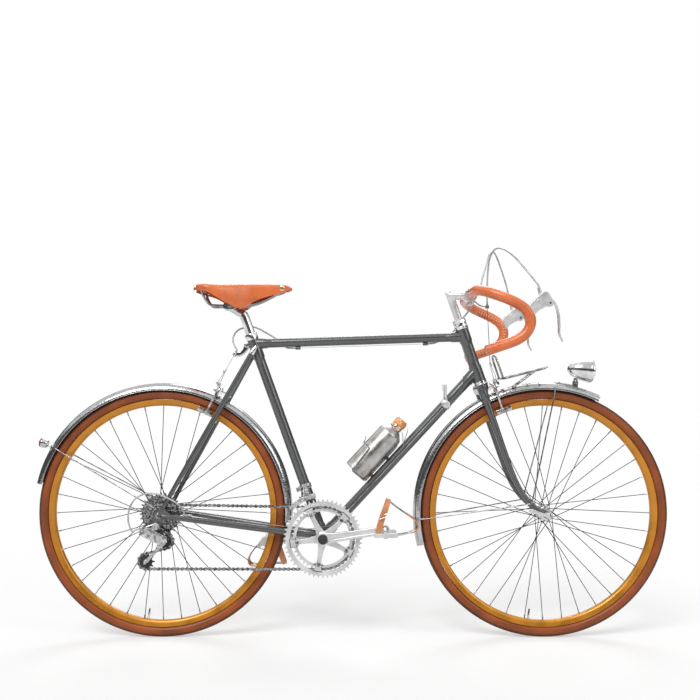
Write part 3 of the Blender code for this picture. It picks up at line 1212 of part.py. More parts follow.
def make_front_rack():
    rear = FRONT_AXLE + vec(-RACK_REAR_BEHIND_AXLE, 0, RACK_REAR_ABOVE_AXLE)
    front = FRONT_AXLE + vec(-RACK_FRONT_BEHIND_AXLE, 0, RACK_FRONT_ABOVE_AXLE)
    run = (front - rear).normalized()
    over = vec(-run.z, 0, run.x)
    bar = 3 * MM
    loop = []
    corner = 12 * MM
    length = (front - rear).length
    for x, y in ((0, corner), (corner, 0), (length - corner, 0), (length, corner)):
        loop.append((x, RACK_HALF - y))
    loop += [(x, -y) for x, y in reversed(loop)]
    shapes = [tube([rear + run * x + SIDE * y for x, y in loop], bar, 5, closed=True, up=over)]
    for share in (0.32, 0.66):
        at = rear + run * length * share
        shapes.append(rod(at - SIDE * RACK_HALF, at + SIDE * RACK_HALF, bar - 0.4 * MM, 4))
    for side in (-1, 1):
        at = side * 17 * MM
        shapes.append(rod(rear + SIDE * at, front + SIDE * at, bar - 0.5 * MM, 4))
        lift = front + run * 15 * MM + over * 2 * MM
        shapes.append(tube([front + SIDE * at - run * 2 * MM, lift + SIDE * at], bar - 0.6 * MM, 4))
        top = rear + run * length * 0.84 + SIDE * side * 17 * MM
        outward = mudguard_surface(FRONT_MUDGUARD_RADIUS, 17 * MM) - FRONT_MUDGUARD_SAG
        foot = wheel_point(FRONT_AXLE, RACK_FOOT_ANGLE, outward + bar + GAP, side * 17 * MM)
        shapes.append(rod(top, foot, bar - 0.4 * MM, 4))
    back = [rear + SIDE * -RACK_HALF * 0.62, rear + SIDE * -RACK_HALF * 0.62 + STEER_UP * RACK_BACKSTOP_RISE,
            rear + SIDE * -RACK_HALF * 0.4 + STEER_UP * (RACK_BACKSTOP_RISE + 16 * MM)]
    back += [vec(p.x, -p.y, p.z) for p in reversed(back)]
    shapes.append(tube(back, bar, 5, up=STEER_AHEAD))
    bolt = on_steer(FRONT_PIVOT_AT + 7 * MM, FRONT_BRAKE_PLANE + 11 * MM)
    shapes.append(sweep([rear + run * 2 * MM, bolt + STEER_UP * 3 * MM],
                        [(-6 * MM, -1.5 * MM), (6 * MM, -1.5 * MM), (6 * MM, 1.5 * MM),
                         (-6 * MM, 1.5 * MM)]))
    node("front_rack", "chrome", shapes, body="steering_axis")


# Brakes
def brake_arm(name, body, centre, up, out, side, layer, pad_rise):
    """A centre-pull arm: its pad on this side, its cable end across the middle.

    up runs from the wheel towards the cable, out is away from the frame, and layer is how
    far the arm's own plate lies from the brake's plane.
    """
    def at(across, rise, depth):
        return centre + SIDE * across * side + up * rise + out * depth

    rows = ((-25, 24), (-8, 17), (14, 11), (31, 9), (40, -2), (39, -22), (34, -44), (30, -62),
            (24, -62), (27, -40), (29, -20), (27, -8), (12, -1), (-8, 5), (-27, 14))
    outline = [(a * MM * side, b * MM) for a, b in rows]
    thick = 4.4 * MM
    sign = 1 if SIDE.cross(up).dot(out) > 0 else -1
    low, high = sorted((sign * layer, sign * (layer + thick)))
    shapes = [slab(outline, centre, SIDE, up, low, high)]
    stud = at(BRAKE_PIVOT_HALF, 0, 0)
    shapes.append(rod(stud + out * layer, stud + out * (layer + thick), 8 * MM, 8))
    middle = layer + thick / 2
    shapes.append(rod(at(30 * MM, pad_rise + 8 * MM, middle), at(19 * MM, pad_rise, middle), 4.5 * MM, 6))
    pad = []
    for depth in (-21 * MM, 23 * MM):
        corners = ((14.8, -1), (21, -1), (21, 1), (14.8, 1))
        pad.append([at(a * MM, pad_rise + b * PAD_HALF_HEIGHT, depth) for a, b in corners])
    shapes.append(loft(pad, False))
    stud_cut = rod(stud - out * 0.03, stud + out * 0.03, BRAKE_STUD_RADIUS + GAP * 1.4, 8)
    node(name, "alloy", shapes, [stud_cut], body=body)


def make_brakes():
    offset = FRONT_BRAKE_PLANE - RAKE
    front_rise = math.sqrt(PAD_RADIUS ** 2 - offset ** 2) - FRONT_PIVOT_AT
    rear_rise = math.sqrt(PAD_RADIUS ** 2 - REAR_BRAKE_PLANE ** 2) - REAR_BRIDGE_AT - REAR_PIVOT_RISE
    for name, side, layer in (("right", -1, -6.4 * MM), ("left", 1, 0.2 * MM)):
        brake_arm("front_brake_arm_" + name, "front_arm_axis_" + name, FRONT_PIVOT_CENTRE, STEER_UP,
                  STEER_AHEAD, side, layer, front_rise)
        brake_arm("rear_brake_arm_" + name, "rear_arm_axis_" + name, REAR_PIVOT_CENTRE, STAY_UP,
                  STAY_BACK, side, layer, rear_rise)


def straddle(centre, up, out, yoke_rise):
    """The yoke and the short cable across it, down to the two arms."""
    yoke = centre + up * yoke_rise + out * CABLE_AHEAD_OF_ARMS
    path = []
    for across, rise in ((-24, 21), (-6, yoke_rise / MM - 2), (6, yoke_rise / MM - 2), (24, 21)):
        path.append(yoke + SIDE * across * MM + up * (rise * MM - yoke_rise))
    wire = tube(path, 1.1 * MM, 5, up=out)
    plate = slab([(-9 * MM, -6 * MM), (9 * MM, -6 * MM), (5 * MM, 7 * MM), (-5 * MM, 7 * MM)], yoke,
                 SIDE, up, -2 * MM, 2 * MM)
    return yoke, [wire, plate]


# Cables
def housing_run(start, start_dir, rows, end, end_dir):
    """A cable housing that leaves and arrives straight, with a smooth run between."""
    first = start + start_dir * 18 * MM
    last = end - end_dir * 14 * MM
    knots = [first] + rows + [last]
    path = [start] + smooth_path(knots, 2) + [end]
    return tube(path, HOUSING_RADIUS, 6, up=vec(0.1, 0.3, 1))


def make_cables():
    yoke, shapes = straddle(FRONT_PIVOT_CENTRE, STEER_UP, STEER_AHEAD, 62 * MM)
    end, out = ferrule_line(-1)
    rows = ((122, -188, 42), (98, -160, 80), (80, -122, 106), (66, -90, 118), (56, -64, 116),
            (49, -36, 96), (47.5, -10, 52))
    rows = [BAR_CENTRE + vec(x * MM, y * MM, z * MM) for x, y, z in rows]
    stop = FRONT_STOP - vec(0, 0, MM)
    shapes.append(housing_run(end + out * MM, out, rows, stop, vec(0, 0, -1)))
    shapes.append(rod(stop + vec(0, 0, 3 * MM), yoke + STEER_UP * 2 * MM, MM, 5))
    node("front_brake_cable", "cable", shapes, body="steering_axis")

    yoke, shapes = straddle(REAR_PIVOT_CENTRE, STAY_UP, STAY_BACK, 58 * MM)
    rear_stop = top_stop(REAR_STOP_AT + 6 * MM)
    front_stop = top_stop(FRONT_STOP_AT - 6 * MM)
    shapes.append(rod(rear_stop - TOP_DIR * 3 * MM, front_stop, MM, 5))
    post = on_seat(SEAT_TUBE_LENGTH + 22 * MM)
    rows = [
        rear_stop - TOP_DIR * 40 * MM + vec(0, 12 * MM, 4 * MM),
        rear_stop - TOP_DIR * 58 * MM + vec(0, 22 * MM, 22 * MM),
        post + vec(44 * MM, 26 * MM, -15 * MM),
        post + vec(2 * MM, 28 * MM, 6 * MM),
        post + vec(-31 * MM, 22 * MM, 3 * MM),
        post + vec(-50 * MM, 12 * MM, -16 * MM),
        post + vec(-46 * MM, 5 * MM, -38 * MM),
    ]
    shapes.append(housing_run(rear_stop, -TOP_DIR, rows, HANGER_STOP, -STAY_UP))
    shapes.append(rod(HANGER_STOP + STAY_UP * 3 * MM, yoke + STAY_UP * 2 * MM, MM, 5))
    node("rear_brake_cable", "cable", shapes)

    end, out = ferrule_line(1)
    rows = ((132, 188, 64), (114, 166, 104), (98, 138, 130), (84, 112, 141), (68, 88, 130),
            (58, 74, 100), (46, 62, 66), (34, 50, 26), (6, 38, -30), (-18, 32, -62))
    rows = [BAR_CENTRE + vec(x * MM, y * MM, z * MM) for x, y, z in rows]
    rows.append(TOP_TUBE_FRONT + vec(-38 * MM, 26 * MM, 6 * MM))
    rows.append(front_stop + TOP_DIR * 40 * MM + vec(0, 17 * MM, 5 * MM))
    mouth = front_stop + TOP_DIR * 1.5 * MM
    node("rear_brake_housing", "cable", [housing_run(end + out * MM, out, rows, mouth, -TOP_DIR)],
         body="steering_axis")

    stop, run = shift_stop()
    boss = BB + DOWN_DIR * SHIFTER_AT
    low = BB + vec(0, -27 * MM, 0)
    knots = [
        boss - SIDE * 20.5 * MM - DOWN_DIR * 14 * MM,
        BB + DOWN_DIR * 120 * MM - SIDE * 20.5 * MM,
        low + vec(22 * MM, 0, 34 * MM),
        low + vec(-10 * MM, 0, 26 * MM),
        low + vec(-44 * MM, -3 * MM, 24 * MM),
        stop - run * 90 * MM + vec(0, 0, MM),
        stop - run * 12 * MM,
        stop + run * 4 * MM,
    ]
    bare = tube(knots, 0.9 * MM, 5, up=vec(0, 1, 0.2))
    bolt = REAR_AXLE + vec(HANGER_X, 0, -HANGER_DROP)
    rows = ((58, -76, 29), (26, -80, 50), (-6, -82, 61), (-36, -82, 60), (-62, -82, 45), (-77, -82, 15),
            (-78, -81, -18), (-68, -80, -42))
    rows = [REAR_AXLE + vec(x * MM, y * MM, z * MM) for x, y, z in rows]
    heel = bolt + vec(HEEL[0] - 8 * MM, HEEL[1], HEEL[2] + 8 * MM)
    loop = housing_run(stop + run * MM, run, rows, heel, (heel - rows[-1]).normalized())
    node("rear_shift_cable", "cable", [bare, loop])


# Drive
def pitch_radius(teeth):
    return CHAIN_PITCH / (2 * math.sin(math.pi / teeth))


def gear_outline(teeth):
    """A toothed outline: a root and a tip for each tooth."""
    tip = pitch_radius(teeth) + TOOTH_TIP
    root = pitch_radius(teeth) - TOOTH_ROOT
    rows = []
    for i in range(teeth * 2):
        angle = math.pi * i / teeth
        radius = tip if i % 2 else root
        rows.append((radius * math.cos(angle), radius * math.sin(angle)))
    return rows


def gear(centre, teeth, thickness):
    return slab(gear_outline(teeth), centre, vec(1, 0, 0), vec(0, 0, 1), -thickness / 2, thickness / 2)


def make_freewheel():
    inner_end = SMALL_COG_Y + COG_SPACING * (len(COG_TEETH) - 1) + 2 * MM
    outer_end = SMALL_COG_Y - 2 * MM
    shapes = [rod(REAR_AXLE + SIDE * outer_end, REAR_AXLE + SIDE * inner_end, FREEWHEEL_BODY, 14)]
    for i, teeth in enumerate(COG_TEETH):
        shapes.append(gear(REAR_AXLE + SIDE * (SMALL_COG_Y + COG_SPACING * i), teeth, COG_THICKNESS))
    wide = turned([(0, HUB_BOSS_END - GAP * 1.5), (FREEWHEEL_BORE, HUB_BOSS_END - GAP * 1.5),
                   (FREEWHEEL_BORE, 0), (0, 0)], REAR_AXLE, SIDE, 16)
    narrow = rod(REAR_AXLE - SIDE * 70 * MM, REAR_AXLE, AXLE_RADIUS + 5.2 * MM, 12)
    node("freewheel", "steel", shapes, [wide, narrow], body="freewheel_axis")


def spin_direction(first, second, radius_first, radius_second, same_side):
    """Tangent between two circles in the plane of the chain: the two points it touches.

    The chain runs with first on its right hand; same_side is false where it crosses over
    and has the second circle on its left.
    """
    gap = second - first
    distance = math.hypot(gap.x, gap.z)
    heading = math.atan2(gap.z, gap.x)
    total = radius_first - radius_second if same_side[0] == same_side[1] else radius_first + radius_second
    tilt = math.asin(total / distance)
    run = heading + (-tilt if same_side[0] else tilt)
    left = vec(-math.sin(run), 0, math.cos(run))
    a = first + left * radius_first * (1 if same_side[0] else -1)
    b = second + left * radius_second * (1 if same_side[1] else -1)
    return a, b


def arc_points(centre, start, end, radius, clockwise, step):
    a = math.atan2(start.z - centre.z, start.x - centre.x)
    b = math.atan2(end.z - centre.z, end.x - centre.x)
    if clockwise:
        while b > a:
            b -= 2 * math.pi
    else:
        while b < a:
            b += 2 * math.pi
    count = max(2, round(abs(b - a) / step))
    rows = []
    for i in range(count + 1):
        angle = a + (b - a) * i / count
        rows.append(centre + vec(math.cos(angle) * radius, 0, math.sin(angle) * radius))
    return rows


def chain_path():
    """The chain's closed line: cog, inner ring, lower jockey, upper jockey, cog."""
    wheels = (
        (REAR_AXLE + SIDE * SMALL_COG_Y, pitch_radius(COG_TEETH[0]), True),
        (BB + SIDE * INNER_RING_Y, pitch_radius(INNER_RING_TEETH), True),
        (REAR_AXLE + vec(LOWER_JOCKEY[0], SMALL_COG_Y, LOWER_JOCKEY[1]), pitch_radius(JOCKEY_TEETH), True),
        (REAR_AXLE + vec(UPPER_JOCKEY[0], SMALL_COG_Y, UPPER_JOCKEY[1]), pitch_radius(JOCKEY_TEETH), False),
    )
    touches = []
    for i in range(4):
        a, b = wheels[i], wheels[(i + 1) % 4]
        touches.append(spin_direction(a[0], b[0], a[1], b[1], (a[2], b[2])))
    points = []
    for i in range(4):
        centre, radius, clockwise = wheels[i]
        arrive = touches[i - 1][1]
        leave = touches[i][0]
        step = math.radians(12 if radius > 50 * MM else 24)
        points += arc_points(centre, arrive, leave, radius, clockwise, step)
    return points


def make_chain():
    a, g = CHAIN_HALF_WIDTH, CHAIN_HALF_GROOVE
    h, w = CHAIN_HALF_HEIGHT, CHAIN_WEB
    section = [(-a, -h), (-g, -h), (-g, w), (g, w), (g, -h), (a, -h), (a, w + MM), (-a, w + MM)]
    points = chain_path()
    count = len(points)
    rings = []
    for i, point in enumerate(points):
        along = points[(i + 1) % count] - points[i - 1]
        along.y = 0
        along.normalize()
        outward = vec(-along.z, 0, along.x)
        rings.append([point + SIDE * across + outward * over for across, over in section])
    node("chain", "steel", [loft(rings, True)])


def ring_hole(inner):
    """The opening of a chainring, which narrows to a tab at each of its five bolts."""
    rows = []
    for i in range(5):
        bolt = math.degrees(CRANK_ANGLE) + 36 + 72 * i
        for turn, radius in ((-15, inner), (-5, RING_BOLT_RADIUS - 6 * MM),
                             (5, RING_BOLT_RADIUS - 6 * MM), (15, inner), (36, inner)):
            angle = math.radians(bolt + turn)
            rows.append((radius * math.cos(angle), radius * math.sin(angle)))
    return rows


def make_chainrings():
    half = RING_THICKNESS / 2
    shapes = []
    for y, teeth, width in ((INNER_RING_Y, INNER_RING_TEETH, 5 * MM),
                            (OUTER_RING_Y, OUTER_RING_TEETH, 10 * MM)):
        centre = BB + SIDE * y
        inner = pitch_radius(teeth) - TOOTH_ROOT - width
        hole = slab(ring_hole(inner), centre, vec(1, 0, 0), vec(0, 0, 1), -half * 2, half * 2)
        shapes.append(joined([gear(centre, teeth, RING_THICKNESS)], [hole]))
    for i in range(5):
        angle = CRANK_ANGLE + math.radians(36 + 72 * i)
        bolt = BB + vec(math.cos(angle), 0, math.sin(angle)) * RING_BOLT_RADIUS
        shapes.append(rod(bolt + SIDE * (INNER_RING_Y + half + 0.6 * MM),
                          bolt + SIDE * (OUTER_RING_Y - half - 1.2 * MM), 4.2 * MM, 6))
    node("chainrings", "alloy", shapes, body="crank_axis")


def crank_outline(length):
    """The arm seen square on, from its boss to its pedal end."""
    rows = []
    for i in range(7):
        angle = math.radians(60 + 40 * i)
        rows.append((CRANK_BOSS_RADIUS * math.cos(angle), CRANK_BOSS_RADIUS * math.sin(angle)))
    for i in range(5):
        angle = math.radians(-80 + 40 * i)
        rows.append((length + CRANK_TIP_RADIUS * math.cos(angle), CRANK_TIP_RADIUS * math.sin(angle)))
    return rows


def crank_dir(side):
    angle = CRANK_ANGLE if side < 0 else CRANK_ANGLE + math.pi
    return vec(math.cos(angle), 0, math.sin(angle))


def make_cranks():
    low, high = CRANK_INNER_Y, CRANK_INNER_Y + CRANK_THICKNESS
    for name, side in (("right_crank", -1), ("left_crank", 1)):
        out = crank_dir(side)
        across = vec(-out.z, 0, out.x)
        normal = out.cross(across).y
        start, end = sorted((normal * side * low, normal * side * high))
        arm = slab(crank_outline(CRANK_LENGTH), BB, out, across, start, end)
        pedal = BB + out * CRANK_LENGTH
        boss = rod(pedal + SIDE * side * low, pedal + SIDE * side * (high + 4 * MM), CRANK_TIP_RADIUS, 10)
        spindle = rod(pedal + SIDE * side * high, pedal + SIDE * side * (PEDAL_OUTER_Y - 8 * MM),
                      SPINDLE_RADIUS, 8)
        shapes = [arm, boss, spindle]
        if side < 0:
            shapes.append(rod(BB - SIDE * 44 * MM, BB - SIDE * (low + 2 * MM), 19 * MM, 14))
            centre_y = (INNER_RING_Y + OUTER_RING_Y) / 2
            half = SPIDER_THICKNESS / 2
            for i in range(5):
                angle = CRANK_ANGLE + math.radians(36 + 72 * i)
                leg = vec(math.cos(angle), 0, math.sin(angle))
                over = vec(-leg.z, 0, leg.x)
                outline = [(10 * MM, -9 * MM), (SPIDER_REACH - 4 * MM, -5.5 * MM),
                           (SPIDER_REACH, 0), (SPIDER_REACH - 4 * MM, 5.5 * MM), (10 * MM, 9 * MM)]
                shapes.append(slab(outline, BB + SIDE * centre_y, leg, over, -half, half))
            cuts = []
            for i in range(5):
                angle = CRANK_ANGLE + math.radians(36 + 72 * i)
                bolt = BB + vec(math.cos(angle), 0, math.sin(angle)) * RING_BOLT_RADIUS
                cuts.append(rod(bolt - SIDE * 0.03, bolt - SIDE * 0.056, 4.2 * MM + GAP * 1.6, 6))
            body = joined(shapes, cuts)
            shaft = rod(BB - SIDE * (high - 3 * MM), BB + SIDE * (high - 4 * MM), AXLE_SHAFT_RADIUS, 12)
            node(name, "alloy", [body, shaft], body="crank_axis")
        else:
            shapes.append(rod(BB + SIDE * 44 * MM, BB + SIDE * (low + 2 * MM), 15 * MM, 12))
            bore = rod(BB + SIDE * 40 * MM, BB + SIDE * (high + MM), AXLE_SHAFT_RADIUS + GAP * 1.4, 12)
            node(name, "alloy", shapes, [bore], body="crank_axis")


def pedal_shapes(pedal, side):
    """The quill pedal's cage and barrel about its spindle, and the hole for the spindle."""
    plate = PEDAL_PLATE
    top = PEDAL_PLATE_HEIGHT / 2
    inner, outer = PEDAL_INNER_Y * side, PEDAL_OUTER_Y * side
    shapes = [rod(pedal + SIDE * (inner - side * 6 * MM), pedal + SIDE * (outer + side * 3 * MM),
                  PEDAL_BARREL_RADIUS, 8)]
    low, high = sorted((inner, outer))
    half = PEDAL_HALF_LENGTH
    for x in (-half, half - plate):
        shapes.append(box((pedal.x + x, low, pedal.z - top), (pedal.x + x + plate, high, pedal.z + top)))
    for y in (low, high - plate):
        shapes.append(box((pedal.x - half, y, pedal.z - top * 0.8),
                          (pedal.x + half, y + plate, pedal.z + top * 0.8)))
    bore = rod(pedal + SIDE * (inner - side * 10 * MM), pedal + SIDE * (PEDAL_OUTER_Y - 7 * MM) * side,
               SPINDLE_RADIUS + GAP * 2, 8)
    return shapes, bore


def clip_shapes(pedal, side):
    """Toe clip and strap: two wires, a leather toe bar and a strap loop."""
    middle = (PEDAL_INNER_Y + PEDAL_OUTER_Y) / 2 * side
    face = PEDAL_HALF_LENGTH + GAP
    shapes = []
    rows = ((face / MM + 1.9, -4), (62, 3), (78, 10), (84, 22), (80, 34), (66, 44), (24, 74), (8, 88))
    for shift in (-11, 11):
        path = [pedal + vec(x * MM, middle + shift * MM, z * MM) for x, z in rows]
        shapes.append(tube(path, 1.8 * MM, 5))
    base = pedal + vec(face, middle, 0)
    shapes.append(box((base.x, base.y - 14 * MM, base.z - 5 * MM),
                      (base.x + 2.6 * MM, base.y + 14 * MM, base.z + 5 * MM)))
    toe = ((66, 4, 20), (78, 10, 25), (84, 22, 26), (79, 34, 25), (66, 44, 20))
    sections = [[(-w * MM, -2.4 * MM), (w * MM, -2.4 * MM), (w * MM, 2.4 * MM), (-w * MM, 2.4 * MM)]
                for x, z, w in toe]
    shapes.append(sweep([pedal + vec(x * MM, middle, z * MM) for x, z, w in toe], sections))
    bridge = pedal + vec(8 * MM, middle, 87 * MM)
    shapes.append(box((bridge.x - 6 * MM, bridge.y - 13 * MM, bridge.z - 2 * MM),
                      (bridge.x + 6 * MM, bridge.y + 13 * MM, bridge.z + 2 * MM)))
    knots = ((-22, -3, 16), (22, -3, 16), (30, 4, 16), (30, 40, 14), (26, 68, 11), (16, 84, 9), (6, 89, 8),
             (-6, 89, 8), (-16, 84, 9), (-26, 68, 11), (-30, 40, 14), (-30, 4, 16))
    path = [pedal + vec(x * MM, middle + y * MM, z * MM) for y, z, x in knots]
    strip = [(-6 * MM, -0.9 * MM), (6 * MM, -0.9 * MM), (6 * MM, 0.9 * MM), (-6 * MM, 0.9 * MM)]
    shapes.append(sweep(path, strip, closed=True, up=vec(1, 0, 0)))
    return shapes


def make_pedals():
    for name, side, turn in (("right", -1, 0.0), ("left", 1, LEFT_PEDAL_TURN)):
        pedal = BB + crank_dir(side) * CRANK_LENGTH
        body = name + "_pedal_axis"
        shapes, bore = pedal_shapes(pedal, side)
        clip = clip_shapes(pedal, side)
        if turn:
            shapes = [turned_about(shape, pedal, turn) for shape in shapes]
            clip = [turned_about(shape, pedal, turn) for shape in clip]
        node(name + "_pedal", "alloy", shapes, [bore], body=body)
        node(name + "_toe_clip", "strap", clip, body=body)


# Gears


def make_derailleurs():
    axis = vec(0, -1, 0)
    bolt = REAR_AXLE + vec(HANGER_X, 0, -HANGER_DROP)
    upper = REAR_AXLE + vec(UPPER_JOCKEY[0], 0, UPPER_JOCKEY[1])
    lower = REAR_AXLE + vec(LOWER_JOCKEY[0], 0, LOWER_JOCKEY[1])
    outer_y = -(REAR_SPACING / 2 + DROPOUT_THICKNESS)
    shapes = [rod(bolt + SIDE * (outer_y + 6 * MM), bolt + SIDE * (outer_y - 16 * MM), 4 * MM, 10)]
    shapes.append(rod(bolt + SIDE * (outer_y - GAP), bolt + SIDE * (outer_y - 14 * MM), 10 * MM, 12))
    heel = bolt + vec(*HEEL)
    knee = upper + vec(0, outer_y - 8 * MM, 4 * MM)
    shapes.append(rod(bolt + SIDE * (outer_y - 9 * MM), heel, 7 * MM, 8))
    body = [(-20 * MM, -8 * MM), (20 * MM, -8 * MM), (20 * MM, 8 * MM), (-20 * MM, 8 * MM)]
    link_mid = (heel + knee) / 2
    run = (knee - heel)
    run.y = 0
    run.normalize()
    over = vec(-run.z, 0, run.x)
    shapes.append(slab(body, link_mid, run, over, -7 * MM, 7 * MM))
    shapes.append(rod(heel + SIDE * 3 * MM, knee, 6 * MM, 8))
    cage_outer = SMALL_COG_Y - CHAIN_HALF_WIDTH - 2.5 * MM
    cage_inner = SMALL_COG_Y + CHAIN_HALF_WIDTH + 2.5 * MM
    shapes.append(rod(upper + SIDE * (cage_outer + 0.5 * MM),
                      upper + SIDE * (outer_y - 14 * MM), 10 * MM, 12))
    run = (lower - upper).normalized()
    over = vec(-run.z, 0, run.x)
    length = (lower - upper).length
    outline = [(-9 * MM, -6 * MM), (length + 8 * MM, -7 * MM), (length + 12 * MM, 0),
               (length + 8 * MM, 7 * MM), (-9 * MM, 6 * MM)]
    for y in (cage_outer, cage_inner):
        sign = -1 if y < SMALL_COG_Y else 1
        start, end = sorted((0, -sign * 1.6 * MM))
        centre = vec(upper.x, y, upper.z)
        normal_y = run.cross(over).y
        low, high = (start, end) if normal_y < 0 else (-end, -start)
        shapes.append(slab(outline, centre, run, over, low, high))
    for centre in (upper, lower):
        shapes.append(rod(vec(centre.x, cage_outer - 1.5 * MM, centre.z),
                          vec(centre.x, cage_inner + 1.5 * MM, centre.z), 3 * MM, 8))
    node("rear_derailleur", "chrome", shapes)
    for name, centre in (("upper_jockey", upper), ("lower_jockey", lower)):
        at = vec(centre.x, SMALL_COG_Y, centre.z)
        tip = TOOTH_TIP - MM if name == "lower_jockey" else -CHAIN_WEB - 1.6 * MM
        rows = []
        for i in range(JOCKEY_TEETH):
            step = 2 * math.pi / JOCKEY_TEETH
            for share, radius in ((0, pitch_radius(JOCKEY_TEETH) - 6 * MM),
                                  (0.38, pitch_radius(JOCKEY_TEETH) + tip),
                                  (0.62, pitch_radius(JOCKEY_TEETH) + tip)):
                angle = step * (i + share)
                rows.append((radius * math.cos(angle), radius * math.sin(angle)))
        disc = slab(rows, at, vec(1, 0, 0), vec(0, 0, 1), -JOCKEY_THICKNESS / 2, JOCKEY_THICKNESS / 2)
        hub = rod(at - SIDE * 4.5 * MM, at + SIDE * 4.5 * MM, 6.5 * MM, 10)
        hole = rod(at - SIDE * 8 * MM, at + SIDE * 8 * MM, 3 * MM + GAP * 1.3, 8)
        node(name, "rubber", [disc, hub], [hole], body=name + "_axis")

    clamp_at = 148 * MM
    band = ring(on_seat(clamp_at), SEAT_UP, MAIN_TUBE_RADIUS + GAP, MAIN_TUBE_RADIUS + 3 * MM,
                -6 * MM, 6 * MM, 16)
    block = box((on_seat(clamp_at).x - 14 * MM, -44 * MM, on_seat(clamp_at).z - 9 * MM),
                (on_seat(clamp_at).x + 8 * MM, -15.5 * MM, on_seat(clamp_at).z + 9 * MM))
    seat_cut = cutter(on_seat(0), on_seat(400 * MM), MAIN_TUBE_RADIUS, 16)
    cage = []
    for y, inner_r, low_turn in ((OUTER_RING_Y, 113 * MM, 138), (INNER_RING_Y + 5.2 * MM, 98 * MM, 140)):
        outline = []
        for i in range(5):
            angle = math.radians(100 + (low_turn - 100) * i / 4)
            outline.append((126 * MM * math.cos(angle), 126 * MM * math.sin(angle)))
        outline += [(-110 * MM, 84 * MM), (-108 * MM, 72 * MM), (-98 * MM, 70 * MM)]
        for i in range(4, -1, -1):
            angle = math.radians(100 + (low_turn - 4 - 100) * i / 4)
            outline.append((inner_r * math.cos(angle), inner_r * math.sin(angle)))
        centre = BB + SIDE * y
        cage.append(slab(outline, centre, vec(1, 0, 0), vec(0, 0, 1), -0.7 * MM, 0.7 * MM))
    tail = BB + vec(-104 * MM, 0, 75.5 * MM)
    cage.append(rod(tail + SIDE * OUTER_RING_Y, tail + SIDE * (INNER_RING_Y + 5.2 * MM),
                    2.2 * MM, 6))
    roof = BB + vec(-46 * MM, 0, 114 * MM)
    cage.append(box((roof.x - 12 * MM, OUTER_RING_Y, roof.z - 2 * MM),
                    (roof.x + 12 * MM, INNER_RING_Y + 5.2 * MM, roof.z + 1.5 * MM)))
    link = rod(on_seat(clamp_at) + vec(-6 * MM, -38 * MM, -2 * MM),
               roof + SIDE * (INNER_RING_Y + 5 * MM), 6 * MM, 8)
    node("front_derailleur", "chrome", [band, block, link] + cage, [seat_cut])


def make_shift_levers():
    boss = BB + DOWN_DIR * SHIFTER_AT
    for name, side in (("right", -1), ("left", 1)):
        pivot = boss + SIDE * side * (SHIFTER_BOSS_Y + GAP)
        drum = rod(pivot, pivot + SIDE * side * 7 * MM, 10 * MM, 14)
        lift = vec(-0.05, 0, 1).normalized()
        rows = ((0, 5.5, 3.5), (18, 4.5, 4), (38, 5.0, 6), (50, 5.5, 9), (55, 3, 9.5))
        path = [pivot + lift * z * MM + SIDE * side * y * MM for z, w, y in rows]
        sections = [[(-w * MM, -1.5 * MM), (w * MM, -1.5 * MM), (w * MM, 1.5 * MM), (-w * MM, 1.5 * MM)]
                    for z, w, y in rows]
        blade = sweep(path, sections, up=vec(1, 0, 0))
        nut = rod(pivot + SIDE * side * 5 * MM, pivot + SIDE * side * 12 * MM, 6 * MM, 10)
        node(name + "_shift_lever", "chrome", [drum, blade, nut], body=name + "_shift_axis")


